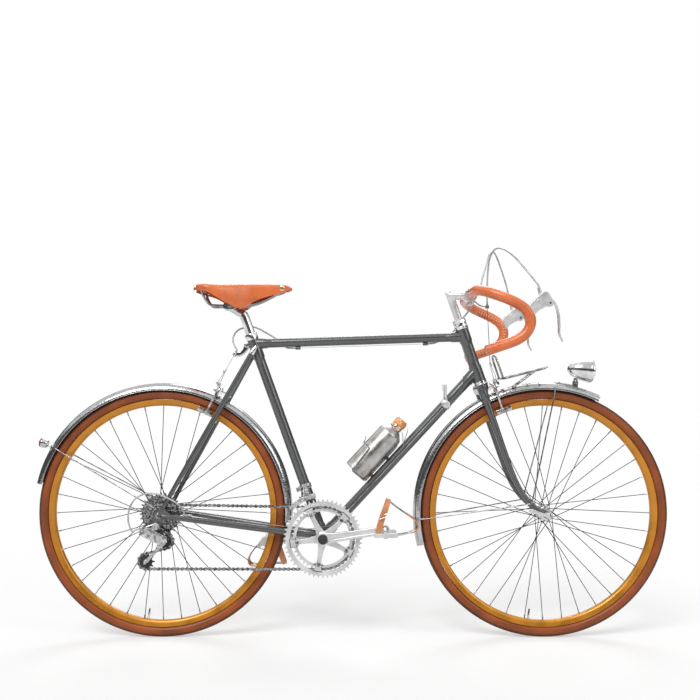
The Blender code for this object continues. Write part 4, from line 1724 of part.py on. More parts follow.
# Saddle
def make_saddle():
    nose_x = on_seat(POST_TOP).x + SADDLE_NOSE_AHEAD
    top_z = on_seat(POST_TOP).z + SADDLE_TOP_ABOVE
    stations = (
        (0.00, 0.30, 0.0, 12), (0.05, 0.78, 2.0, 24), (0.16, 0.98, -0.5, 40), (0.30, 0.90, -4.5, 58),
        (0.44, 0.62, -8.0, 70), (0.58, 0.40, -8.5, 66), (0.72, 0.29, -7.0, 56), (0.86, 0.235, -5.0, 44),
        (0.96, 0.20, -4.0, 30), (1.00, 0.12, -6.0, 16),
    )
    bm = bmesh.new()
    rows = []
    for along, width, rise, drop in stations:
        half = SADDLE_WIDTH / 2 * width
        x = nose_x - SADDLE_LENGTH * (1 - along)
        row = []
        profile = ((-1.0, 1.0), (-1.01, 0.62), (-0.99, 0.30), (-0.90, 0.10), (-0.62, 0.02), (0, 0.0))
        for across, down in profile:
            row.append(vec(x, half * across, top_z + rise * MM - drop * MM * down))
        row += [vec(p.x, -p.y, p.z) for p in reversed(row[:-1])]
        rows.append([bm.verts.new(p) for p in row])
    for here, there in zip(rows, rows[1:]):
        for j in range(len(here) - 1):
            bm.faces.new((here[j], here[j + 1], there[j + 1], there[j]))
    bmesh.ops.recalc_face_normals(bm, faces=bm.faces)
    if sum(face.normal.z for face in bm.faces) < 0:
        bmesh.ops.reverse_faces(bm, faces=bm.faces)
    sheet = bpy.data.meshes.new("sheet")
    bm.to_mesh(sheet)
    bm.free()
    blank = temporary(sheet)
    wall = blank.modifiers.new("wall", "SOLIDIFY")
    wall.thickness = SADDLE_WALL
    wall.offset = -1
    wall.use_even_offset = False
    graph = bpy.context.evaluated_depsgraph_get()
    skin = bpy.data.meshes.new_from_object(blank.evaluated_get(graph))
    bpy.data.objects.remove(blank)
    node("saddle_leather", "leather", [skin], body="saddle_axis")

    head = SADDLE_CLAMP
    rail_z = head.z
    rear_x = nose_x - SADDLE_LENGTH
    shapes = []
    for side in (-1, 1):
        rows = ((rear_x + 24 * MM, 44, top_z - 18 * MM), (rear_x + 30 * MM, 40, top_z - 40 * MM),
                (rear_x + 44 * MM, 30, rail_z + 4 * MM), (rear_x + 62 * MM, 23, rail_z),
                (rear_x + 140 * MM, 21, rail_z + 1 * MM), (rear_x + 190 * MM, 11, rail_z + 14 * MM),
                (nose_x - 30 * MM, 7, top_z - 24 * MM), (nose_x - 12 * MM, 6, top_z - 20 * MM))
        path = [vec(x, side * y * MM, z) for x, y, z in rows]
        shapes.append(tube(path, RAIL_RADIUS, 6))
    shapes.append(box((rear_x + 18 * MM, -48 * MM, top_z - 20 * MM),
                      (rear_x + 28 * MM, 48 * MM, top_z - 10 * MM)))
    shapes.append(box((nose_x - 20 * MM, -8 * MM, top_z - 25 * MM),
                      (nose_x - 9 * MM, 8 * MM, top_z - 14.5 * MM)))
    node("saddle_rails", "chrome", shapes, body="saddle_axis")

    inside = POST_RADIUS - 2 * MM
    outline = [(0, POST_TOP), (POST_RADIUS, POST_TOP), (POST_RADIUS, POST_BOTTOM),
               (inside, POST_BOTTOM), (inside, POST_TOP - 20 * MM), (0, POST_TOP - 20 * MM)]
    post = turned(outline, BB, SEAT_UP, 14)
    neck = rod(on_seat(POST_TOP - 8 * MM), head + vec(-2 * MM, 0, -4 * MM), 11.5 * MM, 10, 9 * MM)
    plate = slab([(-19 * MM, -9 * MM), (19 * MM, -9 * MM), (15 * MM, 8 * MM), (-15 * MM, 8 * MM)],
                 head, vec(1, 0, 0), vec(0, 0, 1), -29 * MM, 29 * MM)
    grooves = []
    for side in (-1, 1):
        y = side * 22 * MM
        grooves.append(rod(vec(head.x - 60 * MM, y + side * 0.9 * MM, rail_z - 0.2 * MM),
                           vec(head.x + 60 * MM, y - side * 0.7 * MM, rail_z + 0.9 * MM),
                           RAIL_RADIUS + GAP * 4, 10))
    node("seatpost", "alloy", [post, neck, plate], grooves, body="saddle_axis")


# Bottle


def make_bottle():
    base = BB + DOWN_DIR * BOTTLE_AT + DOWN_OVER * BOTTLE_OFFSET
    r = BOTTLE_RADIUS
    outline = [(0, 0), (r, 2 * MM), (r, 140 * MM), (r - 3 * MM, 150 * MM),
               (20 * MM, 166 * MM), (15 * MM, 170 * MM), (15 * MM, 176 * MM), (0, 176 * MM)]
    node("bottle", "bottle", [turned(outline, base, DOWN_DIR, 18)], body="bottle_axis")
    outline = [(15 * MM + GAP * 1.3, 171 * MM), (18.2 * MM, 171 * MM), (18.2 * MM, 190 * MM),
               (16 * MM, 195 * MM), (0, 195 * MM), (0, 176 * MM + GAP), (15 * MM + GAP * 1.3, 176 * MM + GAP)]
    node("bottle_cap", "cap", [turned(outline, base, DOWN_DIR, 14)], body="bottle_axis")

    wire = CAGE_WIRE
    low = -CAGE_FLOOR / MM
    shapes = []
    reach = r + GAP + wire
    spine_over = -(BOTTLE_OFFSET - CAGE_BOSS_HEIGHT - wire - GAP)
    for side in (-1, 1):
        rows = ((low, 0, 10), (low, -14, 9), (low, spine_over / MM + 1, 8), (18, spine_over / MM, 8),
                (100, spine_over / MM, 8), (112, spine_over / MM, 10))
        path = [base + DOWN_DIR * t * MM + DOWN_OVER * o * MM + SIDE * side * y * MM for t, o, y in rows]
        shapes.append(tube(path, wire, 4))
    at = base + DOWN_DIR * 108 * MM
    hoop = [at + DOWN_OVER * spine_over + SIDE * 8 * MM]
    for i in range(11):
        angle = math.radians(-66 + 312 * i / 10)
        hoop.append(at + (SIDE * math.cos(angle) + DOWN_OVER * math.sin(angle)) * (reach + 1.8 * MM))
    hoop.append(at + DOWN_OVER * spine_over - SIDE * 8 * MM)
    shapes.append(tube(hoop, wire, 4, up=DOWN_DIR))
    floor = []
    for i in range(5):
        angle = math.radians(180 * i / 4)
        floor.append(base - DOWN_DIR * CAGE_FLOOR + SIDE * 10 * MM * math.cos(angle)
                     + DOWN_OVER * 22 * MM * math.sin(angle))
    shapes.append(tube(floor, wire, 4, up=DOWN_DIR))
    tongue = [
        base - DOWN_DIR * CAGE_FLOOR + DOWN_OVER * 20 * MM,
        base - DOWN_DIR * CAGE_FLOOR + DOWN_OVER * (reach + MM),
        base + DOWN_DIR * 22 * MM + DOWN_OVER * (reach + MM),
    ]
    shapes.append(sweep(tongue, [(-5 * MM, -MM), (5 * MM, -MM), (5 * MM, MM), (-5 * MM, MM)]))
    for at in CAGE_FEET_AT:
        centre = BB + DOWN_DIR * at + DOWN_OVER * (CAGE_BOSS_HEIGHT + GAP)
        shapes.append(slab([(-6 * MM, -11 * MM), (6 * MM, -11 * MM), (6 * MM, 11 * MM), (-6 * MM, 11 * MM)],
                           centre, DOWN_DIR, SIDE, 0 * MM, 2.2 * MM))
    node("bottle_cage", "steel", shapes)


def make_quick_release():
    pivot = CAM_CENTRE
    cam = rod(pivot - vec(0, 0, 7 * MM), pivot + vec(0, 0, 7 * MM), CAM_RADIUS, 10)
    lever = sweep([pivot, pivot + vec(-14 * MM, -2 * MM, 3 * MM), pivot + vec(-34 * MM, -4 * MM, 9 * MM),
                   pivot + vec(-52 * MM, 0, 14 * MM)],
                  [[(-4 * MM, -2 * MM), (4 * MM, -2 * MM), (4 * MM, 2 * MM), (-4 * MM, 2 * MM)],
                   [(-4 * MM, -2 * MM), (4 * MM, -2 * MM), (4 * MM, 2 * MM), (-4 * MM, 2 * MM)],
                   [(-5 * MM, -2 * MM), (5 * MM, -2 * MM), (5 * MM, 2 * MM), (-5 * MM, 2 * MM)],
                   [(-3 * MM, -1.5 * MM), (3 * MM, -1.5 * MM), (3 * MM, 1.5 * MM), (-3 * MM, 1.5 * MM)]],
                  up=vec(0, 0, 1))
    node("front_quick_release", "alloy", [cam, lever], body="quick_release_axis")


# Run
for old in list(bpy.data.objects):
    bpy.data.objects.remove(old, do_unlink=True)

MATERIALS = make_materials()
joint_empty("steering_axis", on_steer(HEAD_BOTTOM))
joint_empty("front_wheel_axis", FRONT_AXLE, "steering_axis")
joint_empty("freewheel_axis", REAR_AXLE)
joint_empty("rear_wheel_axis", REAR_AXLE, "freewheel_axis")
joint_empty("crank_axis", BB)
for side_name, side_sign in (("right", -1), ("left", 1)):
    joint_empty(side_name + "_pedal_axis", BB + crank_dir(side_sign) * CRANK_LENGTH, "crank_axis")
    joint_empty(side_name + "_lever_axis", LEVER_PIVOT + SIDE * side_sign * LEVER_SPREAD, "steering_axis")
    joint_empty("front_arm_axis_" + side_name, FRONT_PIVOT_CENTRE + SIDE * side_sign * BRAKE_PIVOT_HALF,
                "steering_axis")
    joint_empty("rear_arm_axis_" + side_name, REAR_PIVOT_CENTRE + SIDE * side_sign * BRAKE_PIVOT_HALF)
    joint_empty(side_name + "_shift_axis", BB + DOWN_DIR * SHIFTER_AT + SIDE * side_sign * SHIFTER_BOSS_Y)
joint_empty("upper_jockey_axis", REAR_AXLE + vec(UPPER_JOCKEY[0], SMALL_COG_Y, UPPER_JOCKEY[1]))
joint_empty("lower_jockey_axis", REAR_AXLE + vec(LOWER_JOCKEY[0], SMALL_COG_Y, LOWER_JOCKEY[1]))
joint_empty("saddle_axis", on_seat(SEAT_TUBE_LENGTH))
joint_empty("bottle_axis", BB + DOWN_DIR * BOTTLE_AT + DOWN_OVER * BOTTLE_OFFSET)
joint_empty("headlamp_axis", LAMP_PIVOT, "steering_axis")
joint_empty("quick_release_axis", CAM_CENTRE, "steering_axis")

make_head_tube()
make_main_tubes()
make_seat_tube()
make_bottom_bracket_shell()
make_chainstays()
make_seatstays()
make_fork()
make_upper_headset()
make_stem()
make_handlebar()
make_brake_levers()
make_front_wheel()
make_rear_wheel()
make_axles()
make_quick_release()
make_front_mudguard()
make_rear_mudguard()
make_rear_lamp()
make_headlamp()
make_front_rack()
make_brakes()
make_cables()
make_freewheel()
make_chainrings()
make_cranks()
make_pedals()
make_chain()
make_derailleurs()
make_shift_levers()
make_saddle()
make_bottle()
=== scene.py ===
"""A touring bicycle: the finish of every surface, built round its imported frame.

Shapes are worked out in millimetres and become metres in their meshes. The bicycle points along
+X, its drive side faces -Y and +Z is up. Places come from the frame's joints where they can.
"""

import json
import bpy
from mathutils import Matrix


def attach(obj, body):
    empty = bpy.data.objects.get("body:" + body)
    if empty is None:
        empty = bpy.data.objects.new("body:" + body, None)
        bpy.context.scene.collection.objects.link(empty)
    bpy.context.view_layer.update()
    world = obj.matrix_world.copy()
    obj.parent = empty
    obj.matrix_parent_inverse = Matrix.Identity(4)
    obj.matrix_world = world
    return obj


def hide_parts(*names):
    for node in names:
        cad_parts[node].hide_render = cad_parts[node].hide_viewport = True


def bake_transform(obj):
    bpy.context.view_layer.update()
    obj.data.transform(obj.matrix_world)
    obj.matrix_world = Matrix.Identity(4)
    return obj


bl_info = {"name": "Touring Bicycle", "version": (1, 0, 0), "blender": (4, 5, 0),
    "location": "3D View > Sidebar > Bicycle",
    "description": "Builds a touring bicycle with leather saddle and bar covers", "category": "Object",}

from math import asin, atan2, cos, hypot, pi, radians, sin, sqrt

import bmesh
import bpy
from bpy.props import FloatProperty, FloatVectorProperty, IntProperty, PointerProperty
from mathutils import Matrix, Vector

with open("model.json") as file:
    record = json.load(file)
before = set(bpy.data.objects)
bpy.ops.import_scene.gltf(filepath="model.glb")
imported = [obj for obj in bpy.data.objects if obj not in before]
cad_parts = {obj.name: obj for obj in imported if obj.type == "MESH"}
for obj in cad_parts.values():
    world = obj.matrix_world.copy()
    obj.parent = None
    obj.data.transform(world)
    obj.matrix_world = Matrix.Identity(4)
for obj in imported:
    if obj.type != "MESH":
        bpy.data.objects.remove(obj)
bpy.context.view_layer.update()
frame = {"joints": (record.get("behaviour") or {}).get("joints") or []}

MM = 0.001
GAP = 0.3
WELD = 1e-6
JOINTS = {joint["name"]: joint for joint in frame["joints"]}


def vec(x, y, z):
    return Vector((x, y, z))


def joint_place(name):
    return Vector(JOINTS[name]["pos_m"]) / MM


def joint_axis(name):
    return Vector(JOINTS[name]["axis"]).normalized()


# Places that the frame gives
SIDE = vec(0, 1, 0)
AHEAD = vec(1, 0, 0)
UP = vec(0, 0, 1)
BB = joint_place("crank_spin")
REAR_AXLE = joint_place("rear_wheel_coast")
FRONT_AXLE = joint_place("front_wheel_spin")
SEAT_UP = joint_axis("saddle_height")
SEAT_AHEAD = vec(SEAT_UP.z, 0, -SEAT_UP.x)
STEER_UP = joint_axis("steering")
STEER_AHEAD = vec(STEER_UP.z, 0, -STEER_UP.x)
DOWN_DIR = joint_axis("bottle_slide")
DOWN_OVER = vec(-DOWN_DIR.z, 0, DOWN_DIR.x)
HEAD_FOOT = joint_place("steering")
STAY_BACK = -joint_axis("rear_brake_arm_right_turn")
STAY_UP = vec(STAY_BACK.z, 0, -STAY_BACK.x)
CRANK = joint_place("right_pedal_spin") - BB
RAKE = (FRONT_AXLE - HEAD_FOOT).dot(STEER_AHEAD)
STEER_FOOT = FRONT_AXLE - STEER_AHEAD * RAKE

# Sizes of the frame and the fork
HEAD_BOTTOM = 405
HEAD_LENGTH = 153
HEAD_TOP = HEAD_BOTTOM + HEAD_LENGTH
HEAD_RADIUS = 15.9
TOP_TUBE_AT_SEAT = 571
TOP_TUBE_BELOW_HEAD_TOP = 22
DOWN_TUBE_ABOVE_HEAD_BOTTOM = 30
TOP_TUBE_RADIUS = 12.7
MAIN_TUBE_RADIUS = 14.3
SEAT_TUBE_LENGTH = 600
ENAMEL_TOP = 582
SHELL_RADIUS = 20
SHELL_HALF = 34
LUG_THICKNESS = 1.9
REAR_SPACING = 126
FRONT_SPACING = 100
END_THICKNESS = 4
STAY_Y = REAR_SPACING / 2 + END_THICKNESS / 2
CROWN_TOP = 392
EYE_UP = 44
BOSSES = (216, 280)
SHIFTERS_AT = 502

# Sizes of the brakes
FRONT_BRAKE_UP = 376
REAR_BRAKE_UP = 371
BRAKE_AHEAD = 34
PAD_RADIUS = 307
ARM_THICKNESS = 5.6

# Sizes of the fittings
FRONT_GUARD_RADIUS = 364
REAR_GUARD_RADIUS = 362
REAR_LAMP_ANGLE = 149.5
SADDLE_CLAMP = 664
SADDLE_LENGTH = 271
SADDLE_HALF_WIDTH = 80

# Sizes of the drive
CHAIN_PITCH = 12.7
COG_TEETH = (14, 17, 20, 24, 28)
COG_SPACING = 5.6
SMALL_COG_Y = joint_place("upper_jockey_spin").y
INNER_RING_Y = -44.5
OUTER_RING_Y = -51.8
CAGE_INNER_Y = -39.3
JOCKEY_TEETH = 10
INNER_TEETH = 42
OUTER_TEETH = 52
CRANK_INNER_Y = 57
CRANK_THICKNESS = 12


def on_seat(distance):
    """A point on the seat tube's axis, this far from the bottom bracket."""
    return BB + SEAT_UP * distance


def on_steer(distance, ahead=0.0, side=0.0):
    """A point this far up the steering axis, ahead of it and to its left."""
    return STEER_FOOT + STEER_UP * distance + STEER_AHEAD * ahead + SIDE * side


def wheel_point(centre, degrees, radius, y=0.0):
    """A point on a circle round an axle."""
    angle = radians(degrees)
    return centre + vec(cos(angle) * radius, y, sin(angle) * radius)


TOP_TUBE_REAR = on_seat(TOP_TUBE_AT_SEAT)
TOP_TUBE_FRONT = on_steer(HEAD_TOP - TOP_TUBE_BELOW_HEAD_TOP)
DOWN_TUBE_FRONT = on_steer(HEAD_BOTTOM + DOWN_TUBE_ABOVE_HEAD_BOTTOM)
TOP_DIR = (TOP_TUBE_FRONT - TOP_TUBE_REAR).normalized()
TOP_OVER = vec(-TOP_DIR.z, 0, TOP_DIR.x)
LEVER_PIVOT = joint_place("right_brake_squeeze")
BAR_CENTRE = vec(LEVER_PIVOT.x - 178.5, 0, LEVER_PIVOT.z + 42.5)
HOOD_EXIT = vec(-25, 0, 28)
HOUSING_OUT = vec(-0.22, 0, 0.975).normalized()
FRONT_STOP = BAR_CENTRE + vec(48, 0, -31)
HANGER_STOP = REAR_AXLE + STAY_UP * 483 + STAY_BACK * 43
STAY_EYE = REAR_AXLE + vec(-7, 0, 18)


# Sizes and colours that a user would change
def length(name, text, default):
    return FloatProperty(name=name, description=text, default=default, min=0.0001, unit="LENGTH")


def colour(name, text, default):
    return FloatVectorProperty(name=name, description=text, default=default, subtype="COLOR", size=3,
        min=0.0, max=1.0)


class BicycleColours(bpy.types.PropertyGroup):
    """The colours of the finishes."""

    enamel: colour("Enamel", "Colour of the painted frame", (0.105, 0.108, 0.111))
    tyre: colour("Tyre", "Colour of the tyres' side walls", (0.30, 0.070, 0.015))
    tread: colour("Tread", "Colour of the tyres' tread", (0.070, 0.022, 0.008))
    rim: colour("Rim", "Colour of the rims", (0.62, 0.25, 0.022))
    leather: colour("Leather", "Colour of the saddle and bar covers", (0.94, 0.205, 0.055))
    strap: colour("Strap", "Colour of the toe straps", (0.80, 0.31, 0.125))
    cap: colour("Cap", "Colour of the bottle's cap", (0.86, 0.40, 0.15))
    lamp: colour("Rear lens", "Colour of the rear lamp's lens", (0.50, 0.02, 0.02))


class BicycleSizes(bpy.types.PropertyGroup):
    """The sizes of what repeats and of fine trim."""

    spokes: IntProperty(name="Spokes", description="Spokes in each wheel", default=36, min=8)
    spoke: length("Spoke radius", "Radius of a spoke", 1.05 * MM)
    tread_ribs: IntProperty(name="Tread ribs", description="Ribs round each shoulder of a tyre",
        default=400, min=10)
    stitch: length("Stitch spacing", "Distance between the stitches of the bar covers", 8.0 * MM)
    housing: length("Housing radius", "Radius of a cable's housing", 2.4 * MM)
    stay_wire: length("Stay radius", "Radius of a mudguard's stay", 1.9 * MM)


# Shader maths
class Value:
    """A shader socket on which Python's operators build Math nodes."""

    def __init__(self, tree, socket):
        self.tree = tree
        self.socket = socket

    def node(self, kind, settings=None, values=None, out=0):
        """Adds a node: its settings first, then the values or links of its sockets."""
        made = self.tree.nodes.new(kind)
        for name, setting in (settings or {}).items():
            setattr(made, name, setting)
        for name, value in (values or {}).items():
            socket = made.inputs[name]
            if isinstance(value, Value):
                self.tree.links.new(value.socket, socket)
            elif isinstance(value, (tuple, list)) and socket.type == "RGBA":
                socket.default_value = (*value, 1)
            else:
                socket.default_value = value
        return Value(self.tree, made.outputs[out])

    def maths(self, operation, other=0.0, swap=False):
        first, second = (other, self) if swap else (self, other)
        return self.node("ShaderNodeMath", {"operation": operation}, {0: first, 1: second})

    def __add__(self, other):
        return self.maths("ADD", other)

    __radd__ = __add__

    def __mul__(self, other):
        return self.maths("MULTIPLY", other)

    __rmul__ = __mul__

    def __sub__(self, other):
        return self.maths("SUBTRACT", other)

    def __rsub__(self, other):
        return self.maths("SUBTRACT", other, True)

    def __gt__(self, other):
        return self.maths("GREATER_THAN", other)

    def between(self, low, high):
        """0 below low, 1 above high, and even between."""
        return self.node("ShaderNodeMapRange", {"clamp": True}, {"Value": self, "From Min": low,
            "From Max": high})

    def blend(self, first, second):
        """The first colour where this is 0 and the second where it is 1."""
        return self.node("ShaderNodeMix", {"data_type": "RGBA"}, {0: self, 6: first, 7: second}, 2)


class Paint(Value):
    """A material under way: its Principled shader and its Object coordinates."""

    def __init__(self, name, colour_value, metallic=0.0, roughness=0.5, **fixed):
        self.material = bpy.data.materials.new(name)
        self.material.use_nodes = True
        self.material.diffuse_color = (*colour_value, 1)
        tree = self.material.node_tree
        self.shader = tree.nodes["Principled BSDF"]
        super().__init__(tree, None)
        self.place = self.node("ShaderNodeTexCoord", out="Object")
        self.shader.inputs["Base Color"].default_value = (*colour_value, 1)
        self.shader.inputs["Metallic"].default_value = metallic
        self.shader.inputs["Roughness"].default_value = roughness
        for name, value in fixed.items():
            self.shader.inputs[name.replace("_", " ").title().replace("Ior", "IOR")].default_value = value

    def noise(self, scale, detail=3.0):
        return self.node("ShaderNodeTexNoise", values={"Vector": self.place, "Scale": scale,
            "Detail": detail})

    def cells(self, scale, feature="F1"):
        return self.node("ShaderNodeTexVoronoi", {"feature": feature}, {"Vector": self.place,
            "Scale": scale})

    def bump(self, height, distance, strength=1.0, under=None):
        values = {"Height": height, "Distance": distance, "Strength": strength}
        if under:
            values["Normal"] = under
        return self.node("ShaderNodeBump", values=values)

    def feed(self, **values):
        for name, value in values.items():
            self.tree.links.new(value.socket, self.shader.inputs[name.replace("_", " ").title()])
        return self.material


def scaled(shade, factor):
    return tuple(min(c * factor, 1.0) for c in shade)


def grey(level):
    return (level, level, level)


def clouded_paint(name, dark, light, metallic, smooth, dull, cloud, grain, depth):
    """A finish that clouds between two shades and two roughnesses, with a fine grain in it."""
    paint = Paint(name, light, metallic, smooth)
    patches = paint.noise(cloud, 5.0).between(0.34, 0.66)
    feeds = {"base_color": patches.blend(dark, light), "roughness": patches * (dull - smooth) + smooth}
    if grain:
        feeds["normal"] = paint.bump(paint.noise(grain), depth * MM, 0.5)
    return paint.feed(**feeds)


def enamel_paint(shade):
    """Stove enamel under a clear coat, with a trace of dust and fine orange peel."""
    paint = Paint("enamel", shade, 0.45, 0.26, coat_weight=0.7, coat_roughness=0.12)
    base = paint.noise(9.0, 5.0).blend(scaled(shade, 0.84), scaled(shade, 1.16))
    dust = (paint.noise(140.0, 6.0) > 0.66) * 0.12
    return paint.feed(base_color=dust.blend(base, (0.32, 0.31, 0.29)),
        roughness=paint.noise(30.0) * 0.14 + 0.20,
        normal=paint.bump(paint.noise(420.0, 2.0), 0.1 * MM, 0.35))


def steel_paint():
    """Dull steel with oil and dirt in it."""
    paint = Paint("steel", (0.24, 0.24, 0.245), 1.0, 0.4)
    dirt = paint.noise(180.0, 5.0).between(0.42, 0.62)
    base = dirt.blend((0.40, 0.40, 0.405), (0.060, 0.052, 0.046))
    return paint.feed(base_color=base, roughness=dirt * 0.35 + 0.25, metallic=1 - dirt * 0.45,
        normal=paint.bump(dirt, 0.05 * MM, 0.5))


def hammered_paint():
    """Bright sheet with a hammered grain, with painted shade in the deepest of its dents."""
    paint = Paint("hammered", (0.62, 0.62, 0.63), 1.0, 0.14)
    dents = paint.cells(240.0)
    # Painted shade: the deepest dents, in patches, are darkened as if shade fell in them.
    dent_shade = dents.between(0.62, 0.22) * paint.noise(24.0, 4.0).between(0.38, 0.62)
    base = paint.noise(60.0).blend((0.36, 0.365, 0.37), (0.66, 0.665, 0.67))
    return paint.feed(base_color=(dent_shade * 0.5).blend(base, (0.10, 0.10, 0.105)),
        roughness=dent_shade * 0.25 + 0.12, normal=paint.bump(dents, 0.5 * MM, 0.3))


def tyre_paint(name, shade):
    """Brown rubber with scuffs and a faint cord pattern under it."""
    paint = Paint(name, shade, 0.0, 0.5, specular_ior_level=0.45)
    cloud = paint.noise(16.0, 6.0).between(0.3, 0.7)
    scuff = paint.noise(240.0, 4.0).between(0.56, 0.72)
    base = cloud.blend(scaled(shade, 0.72), scaled(shade, 1.26))
    return paint.feed(base_color=(scuff * 0.3).blend(base, scaled(shade, 1.8)),
        roughness=cloud * 0.16 + 0.36, normal=paint.bump(paint.noise(520.0), 0.12 * MM, 0.6))


def leather_paint(name, shade, dark=0.66, grain=900.0):
    """Vegetable-tanned leather: pores, soft creases and rubbed, lighter crowns."""
    paint = Paint(name, shade, 0.0, 0.38, coat_weight=0.35, coat_roughness=0.2)
    mottle = paint.noise(70.0, 4.0)
    base = paint.noise(14.0, 5.0).between(0.3, 0.7).blend(scaled(shade, dark), scaled(shade, 1.15))
    pores = paint.cells(grain, "DISTANCE_TO_EDGE").between(0.0, 0.25)
    return paint.feed(base_color=(mottle.between(0.5, 0.75) * 0.35).blend(base, scaled(shade, 1.4)),
        roughness=mottle * 0.2 + 0.24,
        normal=paint.bump(mottle, 0.5 * MM, 0.35, paint.bump(pores, 0.1 * MM, 0.45)))


def bottle_paint(along):
    """Spun alloy with rings from the lathe and scuffs from its cage."""
    paint = Paint("bottle", (0.52, 0.51, 0.50), 1.0, 0.3)
    turn = paint.node("ShaderNodeVectorMath", {"operation": "DOT_PRODUCT"}, {0: paint.place, 1: along}, 1)
    rings = paint.node("ShaderNodeTexNoise", {"noise_dimensions": "1D"}, {"W": turn, "Scale": 900.0,
        "Detail": 4.0})
    scuff = paint.noise(38.0, 6.0).between(0.32, 0.68)
    base = scuff.blend((0.38, 0.365, 0.35), (0.64, 0.63, 0.61))
    return paint.feed(base_color=base, roughness=scuff * 0.14 + rings * 0.12 + 0.20,
        normal=paint.bump(rings, 0.05 * MM, 0.5))


def glass_paint(name, shade, clear):
    """Pressed glass with a slight unevenness."""
    paint = Paint(name, shade, 0.0, 0.05, transmission_weight=clear)
    ripple = paint.noise(180.0, 2.0)
    return paint.feed(base_color=ripple.blend(scaled(shade, 0.85), shade),
        normal=paint.bump(ripple, 0.3 * MM, 0.5))


PAINTS = {}


class BICYCLE_OT_materials(bpy.types.Operator):
    """Make the materials of the bicycle"""

    bl_idname = "bicycle.materials"
    bl_label = "Materials"

    def execute(self, context):
        shades = context.scene.bicycle_colours
        rim, tyre, tread, cap = [tuple(s) for s in (shades.rim, shades.tyre, shades.tread, shades.cap)]
        for finish in (("chrome", grey(0.50), grey(0.80), 1.0, 0.05, 0.16, 35.0, 0.0, 0.0),
                ("alloy", grey(0.60), grey(0.86), 0.62, 0.26, 0.44, 22.0, 260.0, 0.05),
                ("cast", grey(0.20), grey(0.78), 1.0, 0.10, 0.34, 110.0, 260.0, 0.05),
                ("rod", grey(0.16), grey(0.50), 1.0, 0.12, 0.30, 45.0, 300.0, 0.05),
                ("wire", grey(0.01), grey(0.06), 0.7, 0.25, 0.45, 30.0, 400.0, 0.05),
                ("rim", scaled(rim, 0.86), scaled(rim, 1.12), 0.35, 0.22, 0.36, 18.0, 600.0, 0.04),
                ("rubber", grey(0.012), grey(0.045), 0.0, 0.50, 0.75, 120.0, 300.0, 0.1),
                ("cable", grey(0.40), grey(0.68), 0.1, 0.20, 0.40, 50.0, 0.0, 0.0),
                ("cap", scaled(cap, 0.70), scaled(cap, 1.15), 0.3, 0.24, 0.45, 70.0, 0.0, 0.0),
                ("rivet", (0.62, 0.40, 0.26), (0.93, 0.72, 0.54), 1.0, 0.14, 0.35, 160.0, 0.0, 0.0),
                ("thread", (0.80, 0.58, 0.42), (1.0, 0.86, 0.72), 0.0, 0.60, 0.80, 900.0, 1800.0, 0.15)):
            PAINTS[finish[0]] = clouded_paint(*finish)
        PAINTS.update(enamel=enamel_paint(tuple(shades.enamel)), steel=steel_paint(),
            hammered=hammered_paint(), tyre=tyre_paint("tyre", tyre), tread=tyre_paint("tread", tread),
            bottle=bottle_paint(DOWN_DIR), leather=leather_paint("leather", tuple(shades.leather)),
            strap=leather_paint("strap", tuple(shades.strap), 0.6, 1300.0),
            glass=glass_paint("glass", (0.95, 0.96, 0.97), 0.92),
            lens=glass_paint("lens", tuple(shades.lamp), 0.35))
        return {"FINISHED"}


# Shapes
def smooth_line(knots, steps, closed=False):
    """Points on a smooth curve through the knots."""
    count = len(knots)
    points = []
    for i in range(count if closed else count - 1):
        a = knots[i]
        b = knots[(i + 1) % count]
        before = knots[i - 1] if (i > 0 or closed) else a * 2 - b
        after = knots[(i + 2) % count] if (i + 2 < count or closed) else b * 2 - a
        for j in range(steps):
            t = j / steps
            points.append(0.5 * (2 * a + (b - before) * t + (2 * before - 5 * a + 4 * b - after) * t * t
                + (3 * a - before - 3 * b + after) * t ** 3))
    if not closed:
        points.append(knots[-1].copy())
    return points


def line_frames(points, closed, up):
    """A direction and two square directions at each point, turned as little as can be."""
    count = len(points)
    frames = []
    normal = up.normalized()
    for i in range(count):
        before = points[i - 1] if (i > 0 or closed) else points[i]
        after = points[(i + 1) % count] if (i < count - 1 or closed) else points[i]
        along = (after - before).normalized()
        normal = (normal - along * normal.dot(along)).normalized()
        frames.append((along, normal, along.cross(normal)))
    return frames


def circle(radius, sides):
    """Points (across, over) round a circle."""
    step = 2 * pi / sides
    return [(radius * cos(step * i), radius * sin(step * i)) for i in range(sides)]


def rounded(half_width, half_height, corner, steps=4):
    """Points round a rectangle whose corners are arcs."""
    rows = []
    for k, (sx, sy) in enumerate(((1, 1), (-1, 1), (-1, -1), (1, -1))):
        for i in range(steps + 1):
            angle = pi / 2 * (k + i / steps)
            rows.append((sx * (half_width - corner) + corner * cos(angle),
                sy * (half_height - corner) + corner * sin(angle)))
    return rows


def mirrored(rows):
    """The first half of an outline, with its mirror image as the second half."""
    return list(rows) + [(a, -b) for a, b in reversed(rows) if b]


